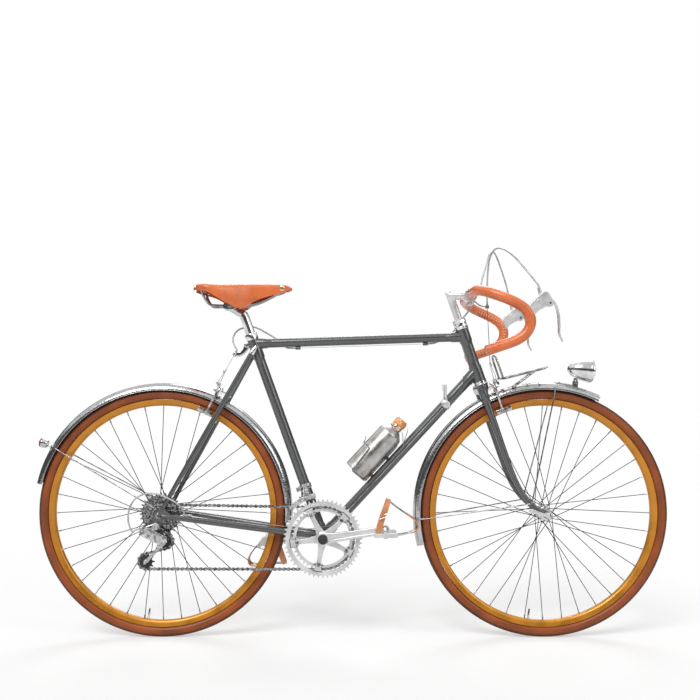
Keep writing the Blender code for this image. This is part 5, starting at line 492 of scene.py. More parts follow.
class Shape:
    """Collects closed forms, and makes one piece of them."""

    def __init__(self):
        self.points = []
        self.faces = []

    def rings(self, rings, closed=False):
        """Joins rings of points one to the next, with ends unless the run closes on itself."""
        base = len(self.points)
        sides = len(rings[0])
        count = len(rings)
        for ring in rings:
            self.points.extend(ring)
        for i in range(count if closed else count - 1):
            a = base + i * sides
            b = base + ((i + 1) % count) * sides
            for j in range(sides):
                k = (j + 1) % sides
                self.faces.append((a + j, a + k, b + k, b + j))
        if not closed:
            self.faces.append(tuple(base + j for j in reversed(range(sides))))
            self.faces.append(tuple(base + (count - 1) * sides + j for j in range(sides)))
        return self

    def sweep(self, points, section, closed=False, up=SIDE):
        """Runs a section, or one section for each point, along a line."""
        rings = []
        for i, (point, axes) in enumerate(zip(points, line_frames(points, closed, up))):
            shape = section[i] if isinstance(section[0], list) else section
            rings.append([point + axes[1] * a + axes[2] * b for a, b in shape])
        return self.rings(rings, closed)

    def tube(self, points, radius, sides=16, closed=False, up=SIDE):
        if isinstance(radius, (list, tuple)):
            return self.sweep(points, [circle(r, sides) for r in radius], closed, up)
        return self.sweep(points, circle(radius, sides), closed, up)

    def rod(self, start, end, radius, sides=24, end_radius=None):
        up = SIDE if abs((end - start).normalized().y) < 0.9 else AHEAD
        return self.tube([start, end], [radius, radius if end_radius is None else end_radius], sides,
            up=up)

    def turned(self, profile, centre, axis, facets=48):
        """Turns an outline of (radius, distance along the axis) about an axis."""
        axis = axis.normalized()
        across = (SIDE if abs(axis.y) < 0.9 else AHEAD).cross(axis).normalized()
        over = axis.cross(across)
        rings = []
        for i in range(facets):
            angle = 2 * pi * i / facets
            out = across * cos(angle) + over * sin(angle)
            rings.append([centre + out * r + axis * h for r, h in profile])
        return self.rings(rings, True)

    def collar(self, inner, outer, low, high, centre, axis, facets=48):
        """A plain ring about an axis, between two distances along it."""
        outline = [(inner, low), (outer, low), (outer, high), (inner, high)]
        return self.turned(outline, centre, axis, facets)

    def ball(self, centre, axis, radius, height, facets=16):
        """A domed head: half of a flattened ball."""
        profile = [(0, 0)]
        for i in range(5):
            angle = pi / 2 * i / 4
            profile.append((radius * cos(angle), height * sin(angle)))
        return self.turned(profile, centre, axis, facets)

    def plate(self, outline, centre, across, over, low, high):
        """An outline in a plane, given thickness along across x over."""
        normal = across.cross(over).normalized()
        rings = []
        for depth in (low, high):
            rings.append([centre + across * a + over * b + normal * depth for a, b in outline])
        return self.rings(rings)

    def block(self, centre, axes, halves, corner):
        """A rounded block: three axes, and half a size along each."""
        section = rounded(halves[0], halves[1], corner, 3)
        inner = rounded(halves[0] - corner * 0.6, halves[1] - corner * 0.6, corner * 0.5, 3)
        rings = []
        for depth, shape in ((-halves[2], inner), (corner * 0.6 - halves[2], section),
                (halves[2] - corner * 0.6, section), (halves[2], inner)):
            rings.append([centre + axes[0] * a + axes[1] * b + axes[2] * depth for a, b in shape])
        return self.rings(rings)

    def bolt(self, centre, axis, radius, height):
        """A hexagon head with a chamfer, on a washer."""
        axis = axis.normalized()
        self.collar(0, radius * 1.35, 0, height * 0.2, centre, axis, 20)
        return self.turned([(0, 0), (radius, 0), (radius, height * 0.8), (radius * 0.86, height),
            (0, height)], centre, axis, 6)

    def turn(self, first, centre, angle):
        """Turns the points from the given one on about an axle."""
        move = Matrix.Rotation(angle, 4, SIDE)
        for i in range(first, len(self.points)):
            self.points[i] = centre + move @ (self.points[i] - centre)
        return self

    def mesh(self, name, sharp=35):
        bm = bmesh.new()
        corners = [bm.verts.new(p * MM) for p in self.points]
        for face in self.faces:
            bm.faces.new([corners[i] for i in face])
        bmesh.ops.remove_doubles(bm, verts=bm.verts, dist=WELD)
        bmesh.ops.dissolve_degenerate(bm, edges=bm.edges, dist=WELD)
        bare = [edge for edge in bm.edges if not edge.link_faces]
        bmesh.ops.delete(bm, geom=bare, context="EDGES")
        bmesh.ops.recalc_face_normals(bm, faces=bm.faces)
        mesh = bpy.data.meshes.new(name)
        bm.to_mesh(mesh)
        bm.free()
        mesh.shade_smooth()
        mesh.set_sharp_from_angle(angle=radians(sharp))
        return mesh

    def piece(self, name, paint, body, nodes=(), slot=None, sharp=35, bevel=0.0):
        return piece(name, self.mesh(name, sharp=sharp), paint, body, nodes, bevel)


def linked(name, data):
    """A new object of this data, in the scene."""
    made = bpy.data.objects.new(name, data)
    bpy.context.scene.collection.objects.link(made)
    return made


def piece(name, mesh, paint, body, nodes=(), bevel=0.0):
    """Makes an object of a mesh with its finish; it rides on its body, or, given a pair of bodies, keeps
    its place with its transform baked in.
    """
    made = linked(name, mesh)
    mesh.materials.clear()
    mesh.materials.append(PAINTS[paint])
    if bevel:
        edge = made.modifiers.new("edge", "BEVEL")
        edge.width = bevel * MM
        edge.segments = 2
        edge.limit_method = "ANGLE"
        edge.angle_limit = radians(30)
    if isinstance(body, tuple):
        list(body)
        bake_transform(made)
    else:
        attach(made, body)
    if nodes:
        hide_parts(*nodes)
    return made


# Geometry Nodes
def tree_with(name, inputs):
    """A new node tree's inputs as values: its geometry, the named ones, and its material."""
    tree = bpy.data.node_groups.new(name, "GeometryNodeTree")
    for label, kind in (("Geometry", "Geometry"), *inputs, ("Material", "Material")):
        tree.interface.new_socket(label, in_out="INPUT", socket_type="NodeSocket" + kind)
    tree.interface.new_socket("Geometry", in_out="OUTPUT", socket_type="NodeSocketGeometry")
    return [Value(tree, socket) for socket in tree.nodes.new("NodeGroupInput").outputs[:-1]]


def end_tree(copies, material):
    """Makes the copies real, gives them their material, and ends their tree with them."""
    real = copies.node("GeometryNodeRealizeInstances", values={0: copies})
    done = real.node("GeometryNodeSetMaterial", values={"Geometry": real, "Material": material})
    copies.tree.links.new(done.socket, copies.tree.nodes.new("NodeGroupOutput").inputs[0])
    return copies.tree


def copies_round_tree():
    """Copies a shape round an axle, at even steps."""
    shape, count, step, centre, material = tree_with("Copies round an axle",
        (("Count", "Int"), ("Step", "Float"), ("Centre", "Vector")))
    whole = shape.node("GeometryNodeGeometryToInstance", values={0: shape})
    copies = shape.node("GeometryNodeDuplicateElements", {"domain": "INSTANCE"},
        {"Geometry": whole, "Amount": count})
    index = Value(shape.tree, copies.socket.node.outputs["Duplicate Index"])
    turn = shape.node("ShaderNodeCombineXYZ", values={"Y": index * step})
    return end_tree(shape.node("GeometryNodeRotateInstances", values={"Instances": copies,
        "Rotation": turn, "Pivot Point": centre, "Local Space": False}), material)


def copies_along_tree():
    """Copies a shape at even steps along a line, each square to the line and facing out."""
    line, copy, count, every, first, material = tree_with("Copies along a line",
        (("Copy", "Object"), ("Count", "Int"), ("Every", "Int"), ("First", "Int")))
    node = line.node
    curve = node("GeometryNodeMeshToCurve", values={0: line})
    even = node("GeometryNodeResampleCurve", values={"Curve": curve, "Count": count})
    turn = node("FunctionNodeAlignRotationToVector", {"axis": "X"},
        {"Vector": node("GeometryNodeInputTangent")})
    outward = node("GeometryNodeInputNamedAttribute", {"data_type": "FLOAT_VECTOR"}, {"Name": "out"},
        "Attribute")
    turn = node("FunctionNodeAlignRotationToVector", {"axis": "Z", "pivot_axis": "X"},
        {"Rotation": turn, "Vector": outward})
    rest = node("GeometryNodeInputIndex").maths("MODULO", every)
    match = node("FunctionNodeCompare", {"data_type": "FLOAT", "operation": "EQUAL"},
        {"A": rest, "B": first, "Epsilon": 0.1})
    thing = node("GeometryNodeObjectInfo", values={"Object": copy}, out="Geometry")
    return end_tree(node("GeometryNodeInstanceOnPoints", values={"Points": even, "Instance": thing,
        "Selection": match, "Rotation": turn}), material)


TREES = {}


def through_tree(name, mesh, kind, values):
    """A plain mesh of what a node tree makes of this one."""
    if kind not in TREES:
        TREES[kind] = {"round": copies_round_tree, "along": copies_along_tree}[kind]()
    tree = TREES[kind]
    base = linked(name, mesh)
    change = base.modifiers.new(name, "NODES")
    change.node_group = tree
    for socket in tree.interface.items_tree:
        if socket.in_out == "INPUT" and socket.name in values:
            change[socket.identifier] = values[socket.name]
    made = bpy.data.meshes.new_from_object(base.evaluated_get(bpy.context.evaluated_depsgraph_get()))
    base.modifiers.clear()
    bpy.data.objects.remove(base)
    made.name = name
    return made


def copies_round(shape, name, count, centre, paint, body, nodes=()):
    """A piece of copies of a shape, spaced evenly round an axle."""
    made = through_tree(name, shape.mesh(name), "round", {"Count": count, "Step": 2 * pi / count,
        "Centre": tuple(centre * MM), "Material": PAINTS[paint]})
    return piece(name, made, paint, body, nodes)


def copies_along(line, outs, shape, name, count, paint, body, nodes=(), closed=False, every=1,
        first=0):
    """A piece of copies of a shape, spaced evenly along a line."""
    path = bpy.data.meshes.new(name + "_line")
    edges = [(i, i + 1) for i in range(len(line) - 1)]
    if closed:
        edges.append((len(line) - 1, 0))
    path.from_pydata([p * MM for p in line], edges, [])
    marks = path.attributes.new("out", "FLOAT_VECTOR", "POINT")
    for mark, out in zip(marks.data, outs):
        mark.vector = out
    copy = linked(name + "_copy", shape.mesh(name + "_copy"))
    made = through_tree(name, path, "along", {"Copy": copy, "Count": count, "Every": every,
        "First": first, "Material": PAINTS[paint]})
    bpy.data.objects.remove(copy)
    return piece(name, made, paint, body, nodes)


def spread(values, count):
    """Numbers evenly between the given ones, this many of them."""
    rows = []
    for i in range(count):
        place = i / (count - 1) * (len(values) - 1)
        k = min(int(place), len(values) - 2)
        rows.append(values[k] + (values[k + 1] - values[k]) * (place - k))
    return rows


def placed(rows, origin=None):
    """Points measured from an origin."""
    return [(origin or vec(0, 0, 0)) + vec(*row) for row in rows]


def pointed(reach, point):
    """How far a lug reaches at each angle round its tube: furthest at both sides."""
    return lambda angle: reach + point * abs(cos(angle)) ** 5


def add_lug(shape, start, axis, radius, reach, thickness=LUG_THICKNESS):
    """A lug's sleeve round a tube, with a free edge that follows reach(angle)."""
    over = axis.cross(SIDE)
    sides = 56
    rings = []
    for share, rise in ((0.0, -1.2), (0.0, 1.0), (0.5, 1.0), (0.93, 0.9), (0.985, 0.55), (1.0, -1.2)):
        ring = []
        for i in range(sides):
            angle = 2 * pi * i / sides
            out = SIDE * cos(angle) + over * sin(angle)
            ring.append(start + out * (radius + thickness * rise) + axis * reach(angle) * share)
        rings.append(ring)
    return shape.rings(rings, True)


def cable_stop(place):
    """The middle of a cable's stop, this far along the top tube and under it."""
    return TOP_TUBE_REAR + TOP_DIR * place - TOP_OVER * 16.2


# The frame
def build_tubes():
    head = Shape()
    foot = on_steer(HEAD_BOTTOM)
    head.collar(12.6, HEAD_RADIUS, 0, HEAD_LENGTH, foot, STEER_UP, 64)
    add_lug(head, foot, STEER_UP, HEAD_RADIUS, pointed(46, 12))
    add_lug(head, on_steer(HEAD_TOP), -STEER_UP, HEAD_RADIUS, pointed(39, 10))
    for at in (1.3, HEAD_LENGTH - 1.3):
        head.collar(12.6, 18.8, -1.2, 1.2, foot + STEER_UP * at, STEER_UP, 64)
    head.piece("head_tube_with_lugs", "enamel", "frame", ("head_tube",))

    top = Shape()
    top.rod(TOP_TUBE_REAR, TOP_TUBE_FRONT, TOP_TUBE_RADIUS, 48)
    add_lug(top, TOP_TUBE_REAR, TOP_DIR, TOP_TUBE_RADIUS, pointed(38, 16))
    add_lug(top, TOP_TUBE_FRONT, -TOP_DIR, TOP_TUBE_RADIUS, pointed(38, 18))
    top.piece("top_tube_with_lugs", "enamel", "frame", ("top_tube",))
    stops = Shape()
    for place in (122, 478):
        at = cable_stop(place)
        stops.turned([(1.4, -7), (3.6, -7), (4.3, -5), (4.3, 7), (1.4, 7)], at, TOP_DIR, 24)
        stops.block(at + TOP_OVER * 3, (SIDE, TOP_OVER, TOP_DIR), (2.2, 3, 5), 0.8)
    stops.piece("cable_stops", "enamel", "frame")

    down = Shape()
    down.rod(BB, DOWN_TUBE_FRONT, MAIN_TUBE_RADIUS, 48)
    add_lug(down, BB, DOWN_DIR, MAIN_TUBE_RADIUS, pointed(42, 16))
    add_lug(down, DOWN_TUBE_FRONT, -DOWN_DIR, MAIN_TUBE_RADIUS, pointed(40, 18))
    for place in BOSSES:
        down.turned([(0, 13), (5.2, 13), (5.2, 15.4), (4.6, 16.3), (0, 16.3)], BB + DOWN_DIR * place,
            DOWN_OVER, 24)
    down.piece("down_tube_with_lugs", "enamel", "frame", ("down_tube",))
    boss = Shape()
    shifters = BB + DOWN_DIR * SHIFTERS_AT
    for side in (-1, 1):
        boss.turned([(0, 12), (11, 12), (11, 15.6), (9, 16.4), (7, 16.8), (7, 18.4), (0, 18.4)],
            shifters, SIDE * side, 32)
    boss.turned(mirrored(((14.2, -7), (15.6, -7), (16, -6))), shifters, DOWN_DIR, 48)
    boss.piece("shift_lever_clamp", "alloy", "frame", bevel=0.3)

    seat = Shape()
    seat.rod(BB, on_seat(ENAMEL_TOP), MAIN_TUBE_RADIUS, 48)
    add_lug(seat, BB, SEAT_UP, MAIN_TUBE_RADIUS, pointed(34, 14))
    add_lug(seat, on_seat(ENAMEL_TOP), -SEAT_UP, MAIN_TUBE_RADIUS, pointed(56, 18), 2.2)
    seat.piece("seat_tube_with_lugs", "enamel", "frame", ("seat_tube",))
    cluster = Shape()
    ear = on_seat(574) - SEAT_AHEAD * 20
    for side in (-1, 1):
        cluster.turned([(0, 2), (7.5, 2), (7.5, 8), (5.5, 9), (0, 9)], ear, SIDE * side, 32)
        cluster.bolt(ear + SIDE * side * 9, SIDE * side, 4, 3.8)
    cluster.turned([(13.4, ENAMEL_TOP), (16.4, ENAMEL_TOP), (17, 583), (17, 598.5),
        (16.2, SEAT_TUBE_LENGTH), (13.4, SEAT_TUBE_LENGTH)], BB, SEAT_UP, 56)
    run = HANGER_STOP - ear
    sag = SIDE.cross(run).normalized()
    sag *= 9 if sag.z < 0 else -9
    line = smooth_line([ear, ear + run * 0.32 + sag * 0.9, ear + run * 0.72 + sag, HANGER_STOP], 5)
    cluster.sweep(line, [rounded(1.4, w, 0.8) for w in spread((8, 6.5, 5.5, 6.5), len(line))])
    cluster.turned([(1.6, -4), (5.3, -4), (5.3, 4), (4.4, 5), (1.6, 5)], HANGER_STOP, STAY_UP, 28)
    cluster.piece("seat_cluster_and_hanger", "chrome", "frame", bevel=0.4)

    shell = Shape()
    shell.collar(14, SHELL_RADIUS, -SHELL_HALF, SHELL_HALF, BB, SIDE, 64)
    shell.piece("bottom_bracket_shell_enamel", "enamel", "frame", ("bottom_bracket_shell",), bevel=0.8)
    cups = Shape()
    for side in (-1, 1):
        cups.turned([(8, 34.1), (19, 34.1), (19, 36), (17, 36.6), (16.6, 38.6), (8, 38.6)], BB,
            SIDE * side, 48)
    cups.piece("bottom_bracket_cups", "steel", "frame")


def dropout(shape, side):
    """The plate at the end of the stays on one side."""
    outline = [(36, -9), (36, 1), (15.6, 16.5), (6, 21.9), (-4, 17), (-13, 8), (-15, -8)]
    if side < 0:
        outline += [(-12.6, -32), (-8.6, -36), (-4.6, -37), (0, -36), (3.4, -32), (10, -14)]
    else:
        outline += [(-6, -15), (8, -14)]
    shape.plate(outline, REAR_AXLE + SIDE * side * STAY_Y, AHEAD, UP, -END_THICKNESS / 2,
        END_THICKNESS / 2)
    shape.collar(0, 5, STAY_Y - 2.3, STAY_Y + 2.3, STAY_EYE, SIDE * side, 24)


def build_stays():
    chain, seat, ends, drops = Shape(), Shape(), Shape(), Shape()
    for side in (-1, 1):
        root = BB + vec(-12, 23 * side, 4)
        tip = REAR_AXLE + vec(30, 65 * side, -4)
        run = (tip - root).normalized()
        bend = root + run * 190
        line = smooth_line([BB + vec(-2, 14 * side, 2), root, bend, tip, tip - vec(16, 0, -1.5)], 6)
        radii = spread((9, 9.4, 9.4, 7, 3.2), len(line))
        chain.tube(line, radii, 28)
        low = REAR_AXLE + STAY_UP * 22.3 + SIDE * side * STAY_Y
        high = on_seat(546) - SEAT_AHEAD * 14 + SIDE * side * 22.5
        run = (high - low).normalized()
        seat.tube([low - run * 8, low + run * 5, low + run * 170, high], [3.6, 5.6, 7.5, 7.5], 28)
        ends.tube([high - run * 0.5, high + run * 4, high + run * 14, high + run * 24],
            [7.6, 7.7, 6.6, 4.1], 28)
        ends.tube([high - run * 2.5, high + run * 0.5], [8.4, 8.4], 28)
        dropout(drops, side)
    across = BB + (REAR_AXLE - BB).normalized() * 76
    chain.tube([across - SIDE * 27, across + SIDE * 27], 5, 24, up=UP)
    rear = REAR_AXLE + STAY_UP * 373
    seat.tube([rear - SIDE * 30, rear + SIDE * 30], 5, 24, up=UP)
    chain.piece("chainstays_enamel", "enamel", "frame", ("chainstays",))
    seat.piece("seatstays_enamel", "enamel", "frame", ("seatstays",))
    ends.piece("seatstay_caps", "chrome", "frame", bevel=0.5)
    drops.piece("dropouts", "enamel", "frame", bevel=0.5)


def blade_point(up, side):
    """The middle of a fork blade, this many millimetres up from the axle."""
    ahead = -6 + RAKE * 1.127 * max(1 - up / 200, 0) ** 3.5
    return on_steer(up, ahead, side * (52 - 17 * up / 392))


def build_fork():
    fork, ends = Shape(), Shape()
    crown = on_steer(CROWN_TOP - 11, -6)
    fork.block(crown, (STEER_AHEAD, STEER_UP, SIDE), (14, 11, 47), 5)
    fork.turned([(0, -16), (16.5, -16), (19, 0), (19, 2), (0, 2)], on_steer(CROWN_TOP), STEER_UP, 40)
    for side in (-1, 1):
        stations = spread((386, 330, 270, 220, 180, 150, 120, 96, 74, 54, 36, 20, 8), 13)
        line = [blade_point(up, side) for up in stations]
        fork.tube(line, [(6 + 5 * up / 392) for up in stations], 28)
        fork.sweep([blade_point(395, side), blade_point(372, side), blade_point(352, side),
            blade_point(346, side)], [circle(r, 28) for r in (12.4, 12.6, 12.0, 10.4)])
        axle = FRONT_AXLE + SIDE * side * (FRONT_SPACING / 2 + END_THICKNESS / 2)
        outline = [(-17, 20), (-7, 22), (3, 11), (10, 5), (11, -4), (5, -11), (-5, -10), (-10, 0),
            (-15, 10)]
        ends.plate(outline, axle, STEER_AHEAD, STEER_UP, -END_THICKNESS / 2, END_THICKNESS / 2)
        eye = blade_point(EYE_UP, side)
        ends.tube([vec(eye.x, side * 50, eye.z), vec(eye.x, side * 60, eye.z)], 4, 24, up=UP)
    fork.piece("fork_enamel", "enamel", "steering", ("fork",))
    ends.piece("fork_ends", "enamel", "steering", bevel=0.5)
    head = Shape()
    race = on_steer(CROWN_TOP)
    gap = HEAD_BOTTOM - CROWN_TOP
    head.turned([(12, 2), (20, 2), (20, 5), (18.6, 6), (18.6, gap - 0.6), (12, gap - 0.6)], race,
        STEER_UP, 56)
    top = on_steer(HEAD_TOP)
    head.turned([(11.3, 0.4), (18.6, 0.4), (19.5, 2), (19.5, 7), (18, 8.4), (17.8, 9), (17.8, 17),
        (11.3, 17)], top, STEER_UP, 64)
    head.collar(11.3, 18.2, 17.2, 18.2, top, STEER_UP, 40)
    head.turned([(11.3, 18.2), (18.8, 18.2), (18.8, 26), (17, 28), (11.3, 28)], top, STEER_UP, 8)
    head.piece("headset", "chrome", "steering", ("upper_headset",), bevel=0.3)


# The wheels
def pitch_radius(teeth):
    return CHAIN_PITCH / (2 * sin(pi / teeth))


def gear(name, teeth, centre, y, thickness, inner, paint, body, nodes=()):
    """A gear: one tooth with its share of the plate, copied round."""
    pitch = pitch_radius(teeth)
    root = pitch - 3.7
    tip = pitch + 3.3
    half = pi / teeth
    rows = []
    for share, radius in ((-1, inner), (-1, root), (-0.62, root), (-0.34, pitch - 0.6), (-0.14, tip),
            (0.14, tip), (0.34, pitch - 0.6), (0.62, root), (1, root), (1, inner)):
        rows.append((radius * cos(half * share), radius * sin(half * share)))
    wedge = Shape().plate(rows, centre + SIDE * y, AHEAD, UP, -thickness / 2, thickness / 2)
    return copies_round(wedge, name, teeth, centre, paint, body, nodes)


def build_tyre(wheel, centre, body):
    half = [(317.6, 9), (320, 13.6), (326, 16.5), (333, 16.9), (339, 14.4), (342.8, 10.2), (344.4, 5)]
    line = [(p.x, p.y) for p in smooth_line([Vector(knot) for knot in mirrored(half)], 2)]
    Shape().turned(line, centre, SIDE, 144).piece(wheel + "_tyre_casing", "tyre", body,
        (wheel + "_tyre",), "tyre", sharp=60)
    rows = [(340.5, -11.0), (342.7, -11.2)]
    for i in range(9):
        y = -8 + 2 * i
        rise = 345 - 0.016 * y * y
        rows += [(rise, y - 0.62), (rise, y + 0.62)]
        if i < 8:
            rows.append((rise - 1.0, y + 1.0))
    rows += [(342.7, 11.2), (340.5, 11.0)]
    Shape().turned(rows, centre, SIDE, 144).piece(wheel + "_tread", "tread", body, (), "tyre", sharp=25)
    count = bpy.context.scene.bicycle_sizes.tread_ribs
    rib = Shape()
    for side in (-1, 1):
        for skew, radius, y in ((0.0, 342.2, 11.6), (0.5, 338.6, 14.8)):
            out = Vector((12, 0, y)).normalized()
            at = wheel_point(centre, 0, radius, side * y)
            lean = vec(out.x, side * out.z, 0)
            flat = UP.cross(lean)
            rib.block(at, (flat, UP, lean), (1.9, 1.45, 0.9), 0.5)
            rib.turn(len(rib.points) - 4 * 16, centre, -2 * pi / count * skew)
    copies_round(rib, wheel + "_tread_ribs", count, centre, "tread", body, ())


def build_rim(wheel, centre, body):
    half = [(299, 0), (299.4, 5), (301.5, 8), (305, 9.6), (310, 10.9), (316.4, 12), (317, 11.4),
        (317, 10.4), (314.5, 10), (311.5, 8.4), (310.8, 0)]
    Shape().turned(mirrored(half), centre, SIDE, 144).piece(wheel + "_rim_anodised", "rim", body,
        (wheel + "_rim",), sharp=40)
    valve = Shape()
    foot = wheel_point(centre, 262, 299)
    inward = (centre - foot).normalized()
    valve.turned([(0, -6), (4, -6), (4, 1.5), (3, 2.2), (3, 20), (2.6, 21), (2.6, 27), (1.6, 29),
        (0, 29)], foot, inward, 20)
    valve.piece(wheel + "_valve", "chrome", body)


def build_spokes(wheel, centre, body, flanges):
    """Crossed spokes with their nipples and heads, from one group of four."""
    sizes = bpy.context.scene.bicycle_sizes
    groups = max(sizes.spokes // 4, 1)
    step = 90.0 / groups
    wires, nipples, heads = Shape(), Shape(), Shape()
    for k, (side, lead) in enumerate(((-1, 1), (1, 1), (-1, -1), (1, -1))):
        flange_y, flange_r = flanges[side]
        root = wheel_point(centre, step * k + lead * 60, flange_r - 2.7, flange_y + side * lead * 1.6)
        tip = wheel_point(centre, step * k, 300, side * (2.6 + 1.2 * lead))
        run = (tip - root).normalized()
        wires.tube([root, root + (tip - root) * 0.5, tip], sizes.spoke / MM, 8)
        nipples.tube([tip - run * 11, tip - run * 10.4, tip - run * 1.5, tip + run * 1],
            [1.5, 1.9, 1.9, 2.9], 10)
        out = SIDE * side * lead
        heads.tube([root - out * 2.6, root + out * 0.9], [1.4, 2.2], 10, up=UP)
    for shape, name, paint in ((wires, "spokes", "wire"), (nipples, "nipples", "rod"),
            (heads, "spoke_heads", "steel")):
        copies_round(shape, wheel + "_" + name, groups, centre, paint, body)


def build_hub(wheel, centre, body, flanges, reach):
    right_y, flange = flanges[-1]
    left_y = flanges[1][0]
    half = ((10.5, 15), (12, 8), (15, 3), (flange - 1, 1.6), (flange, 0.9), (flange, -0.9),
        (flange - 1, -1.6), (10, -2.6))
    rows = [(0, right_y - 12), (9.5, right_y - 12)] + [(r, right_y + h) for r, h in reversed(half)]
    rows += [(r, left_y - h) for r, h in half] + [(9.5, left_y + 11), (0, left_y + 11)]
    Shape().turned(rows, centre, SIDE, 56).piece(wheel + "_hub", "alloy", body,
        (wheel + "_hub_and_spokes",))
    holder = "steering" if wheel == "front" else "frame"
    axle = Shape()
    axle.turned(mirrored(((0, -reach), (4.3, -reach), (4.7, 1.2 - reach))), centre, SIDE, 28)
    spacing = (FRONT_SPACING if wheel == "front" else REAR_SPACING) / 2
    for side in (-1, 1):
        axle.collar(4.4, 8.3, spacing - 5, spacing - GAP, centre, SIDE * side, 24)
        axle.collar(4.4, 9.6, spacing + 4.3, spacing + 5.3, centre, SIDE * side, 32)
        axle.turned([(4.4, spacing + 5.3), (8.6, spacing + 5.3), (8.6, spacing + 10), (7, spacing + 10.8),
            (4.4, spacing + 10.8)], centre, SIDE * side, 6)
    axle.piece(wheel + "_axle_and_nuts", "steel", holder, (wheel + "_axle",), "chrome", bevel=0.25)


def build_wheel(wheel, centre, body, flanges, reach):
    build_tyre(wheel, centre, body)
    build_rim(wheel, centre, body)
    build_spokes(wheel, centre, body, flanges)
    build_hub(wheel, centre, body, flanges, reach)


def build_quick_release():
    lever = Shape()
    pivot = joint_place("quick_release_turn")
    lever.rod(pivot - vec(0, 0, 7), pivot + vec(0, 0, 7), 5.4, 32)
    line = smooth_line(placed(((-2, 0, 1), (-14, -2, 3), (-34, -4, 9), (-52, 0, 14)), pivot), 5)
    widths = spread((5.2, 4.4, 4.2, 5.4, 4.0), len(line))
    lever.sweep(line, [rounded(w, 2.3, 1.1) for w in widths], up=UP)
    lever.piece("quick_release_lever", "alloy", "front_quick_release", ("front_quick_release",))


# Mudguards
def guard_section(radius, shrink=0.0):
    """The sheet's outline (radius, sideways), from its right edge over to its left edge."""
    rows = []
    for i in range(21):
        angle = pi * i / 20
        rows.append((radius - 19 + (19 - shrink) * sin(angle), -(23 - shrink) * cos(angle)))
    return rows


def build_mudguard(name, centre, body, radius, arc, node, stays):
    """A rolled sheet with beaded edges, and its wire stays with their feet."""
    guard = Shape()
    section = guard_section(radius) + guard_section(radius, 0.9)[::-1]
    angles = spread(arc, 97)
    guard.rings([[wheel_point(centre, a, r, y) for r, y in section] for a in angles])
    for side in (-1, 1):
        guard.tube([wheel_point(centre, a, radius - 19, side * 22.6) for a in angles], 0.95, 8)
    for a in arc:
        edge = [wheel_point(centre, a, r, y) for r, y in guard_section(radius, 0.45)]
        guard.tube(edge, 0.9, 8, up=vec(-sin(radians(a)), 0, cos(radians(a))))
    guard.piece(name, "hammered", body, (node,), sharp=50)
    wires, feet = Shape(), Shape()
    sizes = bpy.context.scene.bicycle_sizes
    for degrees, target, reach in stays:
        for side in (-1, 1):
            edge = wheel_point(centre, degrees, radius - 16.5, side * 22.6)
            knee = wheel_point(centre, degrees, radius - 33, side * 25.5)
            eye = vec(target.x, side * reach, target.z)
            run = (eye - knee).normalized()
            line = smooth_line([edge, knee, knee + run * 30], 5)[:-1] + [knee + run * 30, eye]
            wires.tube(line, sizes.stay_wire / MM, 12)
            out = SIDE * side
            feet.turned([(0, -2.2), (5, -2.2), (5.4, -1), (5.4, 1.4), (4.6, 2.2), (0, 2.2)], eye, out, 28)
            feet.bolt(eye + out * 2.2, out, 3.4, 2.6)
            at = wheel_point(centre, degrees, radius - 12, side * 21.6)
            feet.ball(at, (at - wheel_point(centre, degrees, radius - 24)).normalized(), 3, 1.8)
    wires.piece(name + "_stays", "rod", body)
    feet.piece(name + "_feet", "steel", body)


def build_mudguards():
    eye = blade_point(EYE_UP, 1)
    build_mudguard("front_mudguard_sheet", FRONT_AXLE, "steering", FRONT_GUARD_RADIUS, (64.3, 194.4),
        "front_mudguard", ((182.5, eye, 60.3), (85.3, eye, 63.5)))
    build_mudguard("rear_mudguard_sheet", REAR_AXLE, "frame", REAR_GUARD_RADIUS, (-4.0, 166.4),
        "rear_mudguard", ((148.5, STAY_EYE, 67.6),))


